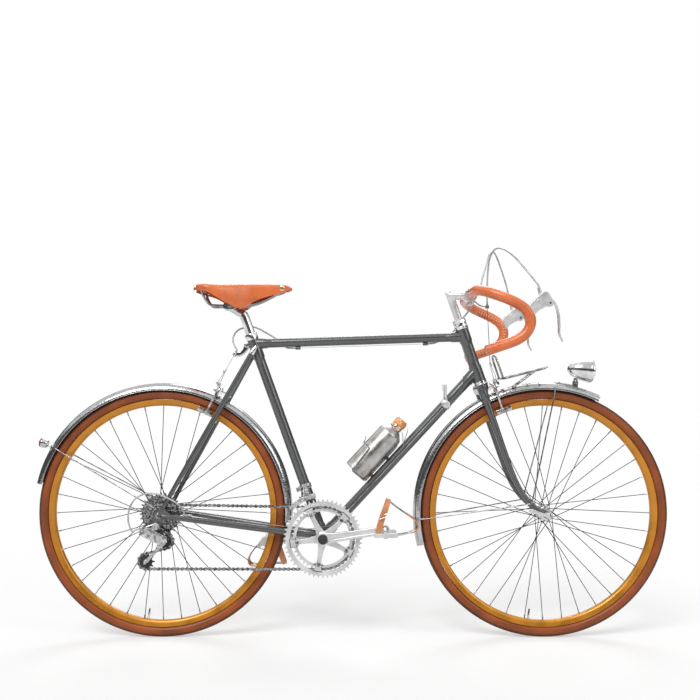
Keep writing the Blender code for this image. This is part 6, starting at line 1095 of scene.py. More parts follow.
# Lamps and rack
def build_lamps():
    pivot = joint_place("headlamp_tilt")
    tilt = radians(-7)
    ahead = vec(cos(tilt), 0, sin(tilt))
    over = vec(-ahead.z, 0, ahead.x)
    tail = pivot + over * 35 - ahead * 26
    knots = [Vector((r, h)) for r, h in ((0, 0), (6.5, 0.9), (12, 4.6), (17.6, 10.5), (24, 22.5),
        (28.5, 40), (30.3, 56), (31, 62))]
    outside = [(p.x, p.y) for p in smooth_line(knots, 4)]
    shell = Shape()
    shell.turned(outside + [(31, 68), (30.2, 69.4), (28.6, 69.4), (27.6, 66.5), (18, 52), (6, 40),
        (0, 38)], tail, ahead, 96)
    shell.turned([(29, 59), (31.3, 59.4), (31.9, 61), (31.9, 66), (31.3, 67.6), (29, 68)], tail, ahead,
        96)
    shell.rod(pivot - SIDE * 4.8, pivot + SIDE * 4.8, 5.4, 24)
    shell.block(pivot + over * 7, (ahead, over, SIDE), (5, 7, 4.4), 1.4)
    shell.piece("headlamp_shell", "chrome", "headlamp", ("headlamp",), sharp=45)
    glass = Shape()
    dome = [(0, 77.4), (10, 76.6), (18, 74.6), (24, 71.8), (28, 68.4)]
    glass.turned(dome + [((r - 0.6) if r else 0, (h - 2)) for r, h in reversed(dome)], tail, ahead, 72)
    glass.piece("headlamp_glass", "glass", "headlamp")
    bulb = Shape()
    bulb.turned([(0, 40), (4, 40), (4, 46), (5, 49), (4, 53), (0, 55)], tail, ahead, 24)
    bulb.piece("headlamp_bulb", "glass", "headlamp")

    bracket = Shape()
    for side in (-1, 1):
        bracket.plate([(-6, -13), (6.5, -13), (6.5, 2), (3, 6), (-3, 6), (-6.5, 2)],
            pivot + SIDE * side * 6.5, ahead, over, -1, 1)
        bracket.bolt(pivot + SIDE * side * 7.5, SIDE * side, 3.6, 3)
    strip = [wheel_point(FRONT_AXLE, a, 365.3) for a in spread((84.5, 74.6), 12)]
    bracket.sweep(strip, rounded(7.4, 1, 0.5))
    bracket.bolt(wheel_point(FRONT_AXLE, 82.8, 366.2), wheel_point(FRONT_AXLE, 82.8, 1.0) - FRONT_AXLE,
        3.8, 3)
    bracket.piece("headlamp_bracket", "chrome", "steering", bevel=0.3)

    centre = wheel_point(REAR_AXLE, REAR_LAMP_ANGLE, REAR_GUARD_RADIUS + 17)
    back = vec(-0.972, 0, 0.235)
    body = Shape()
    body.turned([(0, -6), (7, -5.2), (10.5, -2.6), (12.4, 2), (13.5, 9), (13.5, 13), (12.6, 13.6),
        (0, 13.6)], centre, back, 56)
    foot = wheel_point(REAR_AXLE, REAR_LAMP_ANGLE, REAR_GUARD_RADIUS)
    rise = (centre - foot).normalized()
    body.turned([(0, 0.4), (8, 0.4), (8, 2), (5, 4), (4.4, 9), (0, 9)], foot, rise, 32)
    body.piece("rear_lamp_body", "chrome", "frame", ("rear_lamp",))
    lens = Shape()
    lens.turned([(0, 12.4), (12.2, 12.4), (12.6, 15), (11.4, 18), (7.5, 20.2), (0, 21)], centre, back,
        56)
    lens.piece("rear_lamp_lens", "lens", "frame")


def build_rack():
    rack = Shape()
    rear = FRONT_AXLE + vec(-116, 0, 374)
    front = FRONT_AXLE + vec(-4, 0, 402)
    run = (front - rear).normalized()
    over = vec(-run.z, 0, run.x)
    reach = (front - rear).length
    corners = []
    for x, y, sx, sy in ((10, 42, -1, 1), (reach - 10, 42, 1, 1), (reach - 10, -42, 1, -1),
            (10, -42, -1, -1)):
        arc = [(cos(pi / 8 * i), sin(pi / 8 * i)) for i in range(5)]
        if sx * sy > 0:
            arc = arc[::-1]
        corners += [(x + sx * 10 * c, y + sy * 10 * s) for c, s in arc]
    rack.tube([rear + run * x + SIDE * y for x, y in corners], 3, 16, True, over)
    for share in (0.32, 0.66):
        at = rear + run * reach * share
        rack.rod(at - SIDE * 51, at + SIDE * 51, 2.6, 16)
    for side in (-1, 1):
        at = SIDE * side * 17
        lift = front + run * 15 + over * 2
        rack.rod(rear + at, front + at, 2.5, 16)
        rack.tube(smooth_line([front + at - run * 4, front + at + run * 6, lift + at], 4), 2.4, 14)
        foot = wheel_point(FRONT_AXLE, 103.5, 360.5, side * 17)
        rack.rod(rear + run * reach * 0.84 + at, foot, 2.5, 16)
        rack.ball(foot, (foot - FRONT_AXLE).normalized(), 5.5, 3.5, 24)
    half = [rear + SIDE * y + STEER_UP * z for y, z in ((32.2, 0), (32.2, 40), (30, 52), (20.8, 66))]
    loop = half + [vec(p.x, -p.y, p.z) for p in reversed(half)]
    rack.tube(smooth_line(loop, 5), 3, 16, up=STEER_AHEAD)
    bolt = on_steer(383, 45)
    rack.sweep(smooth_line([rear + run * 2, bolt + STEER_UP * 12, bolt - STEER_UP * 2], 4),
        rounded(6, 1.4, 0.7))
    rack.bolt(bolt + STEER_AHEAD * 1.2, STEER_AHEAD, 4.5, 3.5)
    rack.piece("front_rack_wires", "rod", "steering", ("front_rack",))


# Stem, bars and levers
def bar_line(side, steps=5, first=0):
    """The handlebar's middle line on one side, from this knot on."""
    rows = ((0, 0, 0), (0, 30, 0), (0, 102, 0), (4, 142, -2), (21, 175, -10), (47, 193, -21.5),
        (74, 200, -33), (96, 200, -44), (113, 200, -56), (124, 200, -70), (129, 200, -86),
        (127, 200, -103), (118, 200, -119), (104, 200, -131), (87, 200, -140), (62, 200, -149),
        (15, 200, -165))
    points = placed([(x, y * side, z) for x, y, z in rows], BAR_CENTRE)
    return smooth_line(points, steps)[first * steps:]


def build_stem():
    """A seven-shaped stem: quill and extension meet in a mitre."""
    stem = Shape()
    foot = on_steer(HEAD_TOP + 20)
    corner = on_steer(660)
    corner += STEER_UP * ((BAR_CENTRE.z - corner.z) / STEER_UP.z)
    split = STEER_UP + AHEAD
    low = [foot + SIDE * a + STEER_AHEAD * b for a, b in circle(11.1, 48)]
    mitre = [p + STEER_UP * ((corner - p).dot(split) / STEER_UP.dot(split)) for p in low]
    end = [p + AHEAD * (BAR_CENTRE - AHEAD * 8 - p).dot(AHEAD) for p in mitre]
    stem.rings([low, mitre, end])
    stem.bolt(corner + STEER_UP * 10.6, STEER_UP, 4.5, 2)
    stem.turned(mirrored(((12.8, -20), (17.4, -20), (18.5, -18.6))), BAR_CENTRE, SIDE, 64)
    stem.block(BAR_CENTRE - UP * 21, (AHEAD, SIDE, UP), (7, 12, 6), 2)
    for side in (-1, 1):
        stem.bolt(BAR_CENTRE + vec(0, side * 12, -22), SIDE * side, 4, 3.5)
    stem.piece("stem_polished", "alloy", "steering", ("stem",), bevel=0.8)
    hanger = Shape()
    hanger.sweep(smooth_line([BAR_CENTRE + vec(12, 0, -14), BAR_CENTRE + vec(28, 0, -27), FRONT_STOP],
        4), rounded(5, 1.5, 0.7))
    hanger.turned([(1.5, -4), (5.5, -4), (5.5, 4), (4.6, 5), (1.5, 5)], FRONT_STOP, UP, 28)
    hanger.piece("front_cable_hanger", "rod", "steering")


def build_bars():
    bar = Shape()
    bar.tube(bar_line(-1)[::-1] + bar_line(1)[1:], 11.9, 40, up=UP)
    bar.turned(mirrored(((11, -25), (12.1, -25), (12.7, -23))), BAR_CENTRE, SIDE, 48)
    bar.piece("handlebar_tube", "alloy", "steering", ("handlebar",))
    sizes = bpy.context.scene.bicycle_sizes
    plugs = Shape()
    for side, name in ((-1, "right"), (1, "left")):
        line = bar_line(side, 6, 1)
        radii = []
        for i in range(len(line)):
            ease = min(i, 3) / 3
            radii.append(13.3 + 0.45 * sin(ease * pi / 2) + 0.05 * sin(i * 1.7) * ease)
        cover = Shape().tube(line, radii, 40, up=UP)
        cover.piece(name + "_bar_leather", "leather", "steering", (name + "_bar_cover",), bevel=0.9)
        seam = []
        outs = []
        for point, (along, _, _) in list(zip(line, line_frames(line, False, UP)))[4:-3]:
            over = abs(along.y)
            if over > 0.6:
                continue
            inner = vec(-0.5 * over, -side * (1 - over), -0.85 * over)
            inner = (inner - along * inner.dot(along)).normalized()
            seam.append(point + inner * 13.8)
            outs.append(inner)
        reach = sum((b - a).length for a, b in zip(seam, seam[1:]))
        stitch = Shape().tube(placed(((-1, -4.6, -1.1), (-0.8, -3.6, 0.1), (0.8, 3.6, 0.1),
            (1, 4.6, -1.1))), 0.8, 6, up=UP)
        copies_along(seam, outs, stitch, name + "_bar_stitches", int(reach / (sizes.stitch / MM)),
            "thread", "steering")
        groove = Shape().sweep([p - o * 0.16 for p, o in zip(seam, outs)], rounded(0.55, 0.25, 0.2, 1),
            up=outs[0])
        groove.piece(name + "_bar_seam", "strap", "steering")
        full = bar_line(side, 6)
        plugs.turned([(0, -3), (11.6, -3), (12.9, -1.8), (12.9, 0.4), (10, 1.8), (0, 2.2)], full[-1],
            (full[-1] - full[-4]).normalized(), 36)
    plugs.piece("bar_end_plugs", "strap", "steering")


def build_levers():
    for side, name in ((-1, "right"), (1, "left")):
        pivot = joint_place(name + "_brake_squeeze")
        body = Shape()
        rows = ((-66, -26), (-60, -14), (-52, -2), (-41, 10), (-30, 20), (-21, 27), (-14, 30), (-7, 29.5),
            (-2, 24), (3, 16), (7, 8), (8, 0), (7, -7), (0, -9), (-8, -8), (-30, -20), (-50, -42))
        for grow, half in ((0, 7.6), (-1.6, 9)):
            outline = []
            for x, z in rows:
                out = Vector((x + 25, z)).normalized() * grow
                outline.append((x + out.x, z + out.y))
            body.plate(outline, pivot, AHEAD, UP, -half, half)
        body.turned([(2.6, -8), (4.6, -8), (4.6, 12), (4, 14), (2.6, 14)], pivot + HOOD_EXIT,
            HOUSING_OUT, 28)
        body.piece(name + "_lever_shell", "alloy", "steering", (name + "_lever_body",), bevel=0.8)
        pins, eyes = Shape(), Shape()
        pin = pivot + vec(-30, 0, 4)
        for end in (-1, 1):
            out = SIDE * end
            pins.turned([(3.4, 8.8), (5.4, 8.8), (5.4, 9.8), (4.8, 10.2), (3.4, 10.2)], pin, out, 28)
            pins.collar(0, 3.1, 8.8, 9.8, pin, out, 24)
            eyes.turned([(0, 8.8), (2.9, 8.8), (2.7, 9.8), (0, 10)], pivot, out, 24)
        pins.piece(name + "_lever_pins", "alloy", "steering")
        eyes.piece(name + "_lever_pivot", "rubber", "steering", (), "steel")
        blade = Shape()
        line = smooth_line(placed(((-11, 0, 9), (2, 0, 11), (10, 0, 4), (17, 0, -8), (22, 0, -30),
            (24, 0, -56), (24.6, 0, -80), (34, 0, -99)), pivot), 6)
        widths = spread((4.6, 5.2, 5.4, 5.6, 6.2, 6.6, 6.2, 4.8), len(line))
        depths = spread((2.4, 2.6, 2.8, 2.9, 2.8, 2.5, 2.0, 1.5), len(line))
        blade.sweep(line, [rounded(w, d, 1.2, 3) for w, d in zip(widths, depths)])
        blade.rod(pivot - SIDE * 5.5, pivot + SIDE * 5.5, 6.4, 32)
        blade.piece(name + "_lever_blade", "alloy", name + "_brake_lever", (name + "_brake_lever",))
        # Painted shade: black discs on the blade stand in for its drilled holes and the shade inside them.
        hole_shade_discs = Shape().collar(0, 1.4, -0.6, 0.25, vec(0, 0, 0), UP, 12)
        row = []
        outs = []
        for i, (along, _, _) in list(enumerate(line_frames(line, False, SIDE)))[19:39]:
            face = vec(-along.z, 0, along.x).normalized()
            row.append(line[i] + face * depths[i])
            outs.append(face)
        copies_along(row, outs, hole_shade_discs, name + "_lever_holes", 13, "rubber", name + "_brake_lever", ())


# Brakes
FRONT_BRAKE = on_steer(FRONT_BRAKE_UP, BRAKE_AHEAD)
REAR_BRAKE = REAR_AXLE + STAY_UP * REAR_BRAKE_UP + STAY_BACK * BRAKE_AHEAD


def build_brake(name, node, centre, up, out, side, layer, pad_rise):
    """One arm of a centre-pull brake, its pad holder and its rubber pad."""
    def at(across, rise, depth):
        return centre + SIDE * across * side + up * rise + out * depth

    arm = Shape()
    rows = ((-25, 24), (-20, 22.5), (-8, 17), (3, 13), (14, 11), (24, 10.5), (31, 9), (37, 5), (40, -2),
        (40.5, -12), (39, -22), (37, -33), (34, -44), (31.5, -54), (30, -62), (24, -62), (25, -52),
        (27, -40), (28.6, -29), (29, -20), (28.5, -13), (27, -8), (20, -3.5), (12, -1), (2, 1.5), (-8, 5),
        (-18, 9.5), (-27, 14), (-28, 20))
    normal = 1 if SIDE.cross(up).dot(out) > 0 else -1
    low, high = sorted((normal * layer, normal * (layer + ARM_THICKNESS)))
    arm.plate([(a * side, b) for a, b in rows], centre, SIDE, up, low, high)
    stud = at(31, 0, 0)
    arm.collar(3.2, 8, layer, layer + ARM_THICKNESS, stud, out, 32)
    middle = layer + ARM_THICKNESS / 2
    arm.rod(at(30, pad_rise + 8, middle), at(19.5, pad_rise, middle), 4.2, 20)
    arm.rod(at(19.5, pad_rise, middle), at(27, pad_rise, middle), 6.6, 24)
    arm.block(at(20, pad_rise, 1), (SIDE, up, out), (1.5, 6.4, 22), 1)
    arm.piece(name, "cast", node, (node,), bevel=0.5)
    bolts = Shape()
    bolts.bolt(stud + out * (layer + 5.8), out, 4.2, 4)
    bolts.bolt(at(-25, 19, layer + 5.8), out, 3.2, 2.6)
    bolts.bolt(at(27, pad_rise, middle), SIDE * side, 4.4, 3.6)
    bolts.piece(name + "_bolts", "chrome", node)
    pad = Shape()
    pad.block(at(16.9, pad_rise, 1), (SIDE, up, out), (2.1, 4, 21.5), 0.8)
    pad.piece(name + "_pad", "rubber", node)


def build_brake_plate(name, centre, up, out, body, low):
    """The plate that the two arms of a brake turn on, with its studs."""
    plate = Shape()
    rows = [(-37, -3), (-35, -6), (-28, -6.5), (-14, -1), (0, 1), (14, -1), (28, -6.5), (35, -6),
        (37, -3), (37, 4), (34, 7), (26, 8), (12, 12), (0, 13), (-12, 12), (-26, 8), (-34, 7), (-37, 4)]
    normal = 1 if SIDE.cross(up).dot(out) > 0 else -1
    ends = sorted((normal * -12, normal * -8))
    plate.plate(rows, centre, SIDE, up, *ends)
    for side in (-1, 1):
        stud = centre + SIDE * side * 31
        plate.rod(stud - out * 9, stud + out * 8.4, 3, 20)
    plate.rod(centre + up * 6 - out * low, centre + up * 6 - out * 3, 3.4, 20)
    plate.bolt(centre + up * 6 - out * 8, out, 5, 3.5)
    plate.piece(name, "chrome", body, bevel=0.3)


def build_brakes():
    front_rise = sqrt(PAD_RADIUS ** 2 - (BRAKE_AHEAD - RAKE) ** 2) - FRONT_BRAKE_UP
    rear_rise = sqrt(PAD_RADIUS ** 2 - BRAKE_AHEAD ** 2) - REAR_BRAKE_UP
    for side, name, layer in ((-1, "right", -7.2), (1, "left", -1.2)):
        build_brake("front_" + name + "_caliper", "front_brake_arm_" + name, FRONT_BRAKE, STEER_UP,
            STEER_AHEAD, side, layer, front_rise)
        build_brake("rear_" + name + "_caliper", "rear_brake_arm_" + name, REAR_BRAKE, STAY_UP,
            STAY_BACK, side, layer, rear_rise)
    build_brake_plate("front_brake_plate", FRONT_BRAKE, STEER_UP, STEER_AHEAD, "steering", 24)
    build_brake_plate("rear_brake_plate", REAR_BRAKE, STAY_UP, STAY_BACK, "frame", 30)


# Drive
def belt(wheels):
    """A closed line round wheels of (centre, radius, turn), where turn is 1 or -1."""
    step = 2.2
    count = len(wheels)
    touches = []
    for i in range(count):
        (a, ra, sa), (b, rb, sb) = wheels[i], wheels[(i + 1) % count]
        dx, dz = b.x - a.x, b.z - a.z
        reach = hypot(dx, dz)
        slant = asin((sa * ra - sb * rb) / reach)
        along = atan2(dz, dx) + slant
        touches.append(along)
    points = []
    for i in range(count):
        centre, radius, turn = wheels[i]
        start = touches[i - 1] - pi / 2 * turn
        end = touches[i] - pi / 2 * turn
        sweep = (end - start) % (2 * pi) if turn > 0 else -((start - end) % (2 * pi))
        steps = max(int(abs(sweep) * radius / step), 2)
        for k in range(steps + 1):
            angle = start + sweep * k / steps
            points.append(centre + vec(cos(angle) * radius, 0, sin(angle) * radius))
    return points


def build_chain():
    upper = joint_place("upper_jockey_spin")
    lower = joint_place("lower_jockey_spin")
    jockey = pitch_radius(JOCKEY_TEETH)
    line = belt(((REAR_AXLE + SIDE * SMALL_COG_Y, pitch_radius(COG_TEETH[0]), -1),
        (BB + SIDE * INNER_RING_Y, pitch_radius(INNER_TEETH), -1), (lower, jockey, -1),
        (upper, jockey, 1)))
    dense = []
    for i, point in enumerate(line):
        after = line[(i + 1) % len(line)]
        pieces = max(int((after - point).length / 4), 1)
        dense += [point + (after - point) * k / pieces for k in range(pieces)]
    reach = sum((dense[(i + 1) % len(dense)] - p).length for i, p in enumerate(dense))
    count = int(round(reach / CHAIN_PITCH / 2)) * 2
    outs = [SIDE.copy() for _ in dense]
    half = CHAIN_PITCH / 2
    for name, first, rise in (("outer", 0, 3.1), ("inner", 1, 2.1)):
        link = Shape()
        rows = []
        for end in (1, -1):
            rows += [(end * (half + 4.3 * cos(a)), end * 4.3 * sin(a))
                for a in spread((-2.1, 2.1), 9)]
            rows.append((0, end * 2.3))
        for end in (-1, 1):
            link.plate(rows, vec(0, 0, end * rise), AHEAD, SIDE, -0.5, 0.5)
            if name == "outer":
                link.rod(vec(end * half, 0, -3.7), vec(end * half, 0, 3.7), 1.7, 8)
            else:
                link.rod(vec(end * half, 0, -2.1), vec(end * half, 0, 2.1), 3.6, 10)
        copies_along(dense, outs, link, "chain_" + name + "_links", count, "steel", "frame",
            ("chain",), closed=True, every=2, first=first)


def build_freewheel():
    for i, teeth in enumerate(COG_TEETH):
        gear("cog_%d" % teeth, teeth, REAR_AXLE, SMALL_COG_Y + COG_SPACING * i, 1.8, 20, "steel",
            "freewheel", ("freewheel",))
    core = Shape()
    core.turned([(17.2, -57.5), (22, -57.5), (23.4, -56), (23.4, -30), (17.2, -30)], REAR_AXLE, SIDE, 40)
    for i, radius in enumerate((25.5, 29, 34, 41)):
        y = SMALL_COG_Y + COG_SPACING * (i + 0.5)
        core.collar(20, radius - 3, y - 1.9, y + 1.9, REAR_AXLE, SIDE, 40)
    core.piece("freewheel_core", "steel", "freewheel", bevel=0.3)


def spider_angle(arm):
    """Where one of the spider's five arms points, in radians."""
    return atan2(CRANK.z, CRANK.x) + radians(36) + radians(72) * arm


def five_plates(shape, outline, y, half):
    """The same plate at each of the spider's arms."""
    for arm in range(5):
        first = len(shape.points)
        shape.plate(outline, BB + SIDE * y, AHEAD, UP, -half, half)
        shape.turn(first, BB, -spider_angle(arm))


def build_chainrings():
    for name, teeth, y, inner in (("outer", OUTER_TEETH, OUTER_RING_Y, 90),
            ("inner", INNER_TEETH, INNER_RING_Y, 74)):
        gear(name + "_ring_teeth", teeth, BB, y, 1.8, inner, "alloy", "crank", ("chainrings",))
        tabs = Shape()
        half = ((inner + 1, -15), (inner - 6, -9.5), (71, -7), (66.5, -5), (64.5, 0))
        five_plates(tabs, mirrored(half) + [(inner + 2.5, 0)], y, 0.9)
        if name == "outer":
            tabs.collar(95.5, 96.5, y - 1.25, y + 1.0, BB, SIDE, 120)
        tabs.piece(name + "_ring_tabs", "alloy", "crank", bevel=0.2)
    bolts = Shape()
    for arm in range(5):
        angle = spider_angle(arm)
        at = BB + vec(cos(angle), 0, sin(angle)) * 72
        bolts.turned([(0, 43), (3.6, 43), (3.6, 53), (5.2, 53), (5.2, 54.2), (4.4, 54.8), (2.2, 54.8),
            (2, 53.4), (0, 53.4)], at, -SIDE, 24)
    bolts.piece("chainring_bolts", "steel", "crank")


def crank_arm(shape, side, axle, pedal):
    run = pedal - axle
    run = vec(run.x, 0, run.z)
    reach = run.length
    run.normalize()
    middle = axle + SIDE * side * (CRANK_INNER_Y + CRANK_THICKNESS / 2)
    line = []
    section = []
    for share, half, thick in ((0.03, 15.5, 6.0), (0.12, 14, 6.0), (0.2, 12.6, 5.8), (0.5, 11.6, 5.6),
            (0.8, 11.4, 5.6), (0.9, 11.8, 5.8), (0.97, 12.6, 6.0)):
        line.append(middle + run * reach * share)
        groove = 0.0 if share < 0.15 or share > 0.85 else 1.3
        rows = rounded(half, thick, 2.6)
        channel = [(half * 0.42, thick), (half * 0.34, thick - groove), (-half * 0.34, thick - groove),
            (-half * 0.42, thick)]
        rows = rows[:5] + channel + rows[5:]
        section.append([(b * side, a) for a, b in rows])
    shape.sweep(line, section)
    thick = CRANK_THICKNESS / 2
    for place, radius in ((axle, 18), (vec(pedal.x, 0, pedal.z), 14)):
        shape.turned(mirrored(((0, -thick), (radius - 1.4, -thick), (radius, 1.4 - thick))),
            vec(place.x, middle.y, place.z), SIDE, 56)


def build_cranks():
    right = Shape()
    pedal = joint_place("right_pedal_spin")
    crank_arm(right, -1, BB, pedal)
    right.turned([(8.7, -59), (18.5, -59), (19.5, -56), (19, -44), (8.7, -44)], BB, SIDE, 56)
    half = ((0, -13), (16, -11.5), (34, -8), (58, -6.2), (68, -7), (74, -6.5), (78, -3))
    five_plates(right, mirrored(half), -48.15, 1.9)
    right.piece("right_crank_and_spider", "alloy", "crank", ("right_crank",), bevel=0.6)
    left = Shape()
    other = joint_place("left_pedal_spin")
    crank_arm(left, 1, BB, other)
    left.collar(8.7, 15, 44, 60, BB, SIDE, 48)
    left.piece("left_crank_arm", "alloy", "crank", ("left_crank",), bevel=0.6)
    caps, ends = Shape(), Shape()
    for side, place in ((-1, pedal), (1, other)):
        caps.turned([(0, 68.6), (12.4, 68.6), (12.4, 69.6), (11, 70.4), (0, 70.9)], BB, SIDE * side, 40)
        ends.turned([(12.4, 68.6), (14.2, 68.6), (14.2, 69.8), (12.4, 70.2)], BB, SIDE * side, 48)
        ends.turned([(0, 60), (5, 60), (5, 74), (6.6, 74), (6.6, 81), (5, 82), (5, 168), (0, 168)],
            vec(place.x, 0, place.z), SIDE * side, 28)
    caps.piece("crank_dust_caps", "rubber", "crank")
    ends.piece("pedal_spindles", "steel", "crank")


def build_pedal(side, name, turn):
    """A quill pedal with its clip and strap, built level and then turned."""
    centre = joint_place(name + "_pedal_spin")
    pedal = Shape()

    def at(x, y, z):
        return centre + vec(x, side * y, z)

    for end in (-1, 1):
        rows = [(86, -5.5), (168, -5.5), (168, 3.2)]
        teeth = 9
        for i in range(teeth):
            y = 164 - i * 76 / teeth
            rows += [(y, 3.2), (y - 1.6, 5.5), (y - 4.4, 5.5), (y - 6, 3.2)]
        rows += [(86, 3.2)]
        pedal.plate([(y * side, z) for y, z in rows], at(end * 28.7, 0, 0), SIDE, UP, -1.2, 1.2)
    pedal.block(at(0, 168.6, 0), (AHEAD, UP, SIDE), (29.5, 5.4, 1.3), 1)
    pedal.block(at(0, 87.5, 0), (AHEAD, UP, SIDE), (29.5, 5, 2.4), 1)
    for end in (-1, 1):
        for y in (89.5, 165.5):
            pedal.bolt(at(end * 30, y, -1), vec(end, 0, 0), 2, 1.2)
    pedal.turned([(5.4, 86), (10, 86), (10.4, 90), (8.4, 95), (7.6, 110), (7.6, 150), (8.6, 158),
        (9, 166), (5.4, 166)], centre, SIDE * side, 40)
    pedal.turned([(0, 163), (8, 163), (8, 167), (6, 169.6), (0, 169.9)], centre, SIDE * side, 32)
    clip = Shape()
    middle = 127.5
    for off in (-11, 11):
        clip.tube(smooth_line([at(x, middle + off, z) for x, z in ((30.5, -3), (45, -1), (62, 3),
            (78, 10), (84.5, 22), (80.5, 34), (66, 45), (45, 60), (24, 75), (8, 88))], 4), 1.7, 12)
    clip.tube([at(8, middle - 11, 88), at(7, middle, 89), at(8, middle + 11, 88)], 1.7, 12)
    clip.tube([at(31, middle - 16, -3.5), at(31, middle + 16, -3.5)], 2, 12)
    toe = Shape()
    path = smooth_line([at(x, middle, z) for x, z in ((66, 3), (78.5, 9.5), (86, 22), (80.5, 34.5),
        (66, 46), (56, 53))], 5)
    widths = spread((19, 25, 26.5, 26.5, 25, 18), len(path))
    toe.sweep(path, [rounded(w, 1.3, 1.1, 3) for w in widths])
    strap = Shape()
    rows = ((-22, -3.5, -18), (22, -3.5, -18), (29, 0, -18), (31, 12, -17), (30.5, 40, -9), (26.5, 68, 1),
        (17, 84, 6), (6, 90.5, 8))
    loop = [at(x, middle + y, z) for y, z, x in rows]
    loop += [at(x, middle - y, z) for y, z, x in reversed(rows[2:])]
    strap.sweep(smooth_line(loop, 4, True), rounded(0.95, 6, 0.8, 2), True, up=UP)
    buckle = Shape()
    for low, high in ((48, 50), (60, 62)):
        buckle.tube([at(low - 64, middle + 29, low - 6), at(low - 48, middle + 29, low),
            at(low - 48, middle + 34, low), at(low - 64, middle + 34, low - 6)], 1.3, 12, True, up=UP)
    for shape in (pedal, clip, toe, strap, buckle):
        shape.turn(0, centre, turn)
    body = name + "_pedal"
    pedal.piece(name + "_pedal_cage", "alloy", body, (body,), bevel=0.25)
    clip.piece(name + "_clip_wire", "rod", body)
    toe.piece(name + "_clip_leather", "strap", body, (name + "_toe_clip",))
    strap.piece(name + "_pedal_strap", "strap", body)
    buckle.piece(name + "_strap_buckle", "chrome", body)


def build_derailleurs():
    upper = joint_place("upper_jockey_spin")
    lower = joint_place("lower_jockey_spin")
    for place, name in ((upper, "upper"), (lower, "lower")):
        y = place.y
        centre = vec(place.x, 0, place.z)
        gear(name + "_jockey_wheel", JOCKEY_TEETH, centre, y, 2.2, 5, "rubber", name + "_jockey",
            (name + "_jockey",))
        hub = Shape()
        hub.collar(2, 6.4, y - 4, y + 4, centre, SIDE, 28)
        hub.piece(name + "_jockey_bush", "steel", name + "_jockey")
    made = Shape()
    bolt = REAR_AXLE + vec(-4.6, 0, -28)
    run = lower - upper
    reach = run.length
    run.normalize()
    over = vec(-run.z, 0, run.x)
    for y, wide in ((-60.2, 5.5), (-47.8, 6)):
        half = ((-10, -wide), (4, -wide - 1), (reach * 0.5, -wide + 3), (reach - 4, -wide),
            (reach + 7, -wide + 2), (reach + 10, 0))
        at = vec(upper.x, y, upper.z)
        made.plate(mirrored(half) + [(-13, 0)], at, run, over, -0.9, 0.9)
        out = -1 if y < -54 else 1
        for place in (upper, lower):
            made.bolt(vec(place.x, y + out * 0.9, place.z), SIDE * out, 3.4, 1.6)
    heel = bolt + vec(-36, -79, -12)
    made.turned([(3, 67.3), (10, 67.3), (10.6, 69), (10.6, 79), (9, 81.2), (3, 81.2)], bolt, -SIDE, 40)
    made.bolt(bolt - SIDE * 81, -SIDE, 5, 3)
    knee = vec(upper.x, -75, upper.z + 4)
    made.turned([(3, -16), (9.6, -16), (10, -14), (10, 5), (9, 6.4), (3, 6.4)], knee, -SIDE, 40)
    start = vec(bolt.x, -74, bolt.z)
    for a, b, half, thick in ((start, heel, 9, 5.5), (heel, knee, 14, 6.5)):
        along = (b - a).normalized()
        side_dir = SIDE - along * along.dot(SIDE)
        side_dir.normalize()
        length_half = (b - a).length / 2
        made.block(a + (b - a) * 0.5, (along.cross(side_dir), side_dir, along),
            (half, thick, length_half + 4), 2.4)
    made.turned(mirrored(((0, -8), (8, -8), (8.6, -6.6))), heel, SIDE, 36)
    made.bolt(heel - SIDE * 7.6, -SIDE, 3.6, 2)
    made.piece("rear_derailleur_body", "cast", "frame", ("rear_derailleur",), "chrome", bevel=0.4)

    front = Shape()
    clamp = on_seat(148)
    front.turned(mirrored(((14, -7), (16.4, -7), (16.8, -6))), clamp, SEAT_UP, 56)
    arcs = [(r, radians(a)) for r, order in ((113, 1), (126, -1))
        for a in spread((100, 138), 14)[::order]]
    for y in (OUTER_RING_Y, CAGE_INNER_Y):
        rows = [(cos(a) * r, sin(a) * r) for r, a in arcs]
        front.plate(rows, BB + SIDE * y, AHEAD, UP, -0.8, 0.8)
    roof = wheel_point(BB, 116, 125)
    front.block(vec(roof.x, (OUTER_RING_Y + CAGE_INNER_Y) / 2, roof.z), (AHEAD, UP, SIDE),
        (11, 1.4, 6.6), 0.5)
    axes = (SEAT_AHEAD, SEAT_UP, SIDE)
    front.block(clamp - SIDE * 24, axes, (8, 9, 9), 2.2)
    link = vec(roof.x, -39.5, roof.z)
    front.rod(clamp + vec(-6, -34, -2), link, 5, 20)
    front.bolt(clamp - SIDE * 33, -SIDE, 3.6, 2.2)
    front.block(clamp - SEAT_AHEAD * 20 - SEAT_UP * 2, axes, (7, 6, 9), 2)
    front.bolt(clamp - SEAT_AHEAD * 21 - SIDE * 9, -SIDE, 4.4, 4)
    front.block(clamp - SIDE * 30 - SEAT_UP * 17 - SEAT_AHEAD * 2, axes, (9, 10, 5), 2)
    front.bolt(clamp - SIDE * 35 - SEAT_UP * 20, -SIDE, 3.4, 2)
    front.piece("front_derailleur_body", "cast", "frame", ("front_derailleur",), "chrome", bevel=0.4)


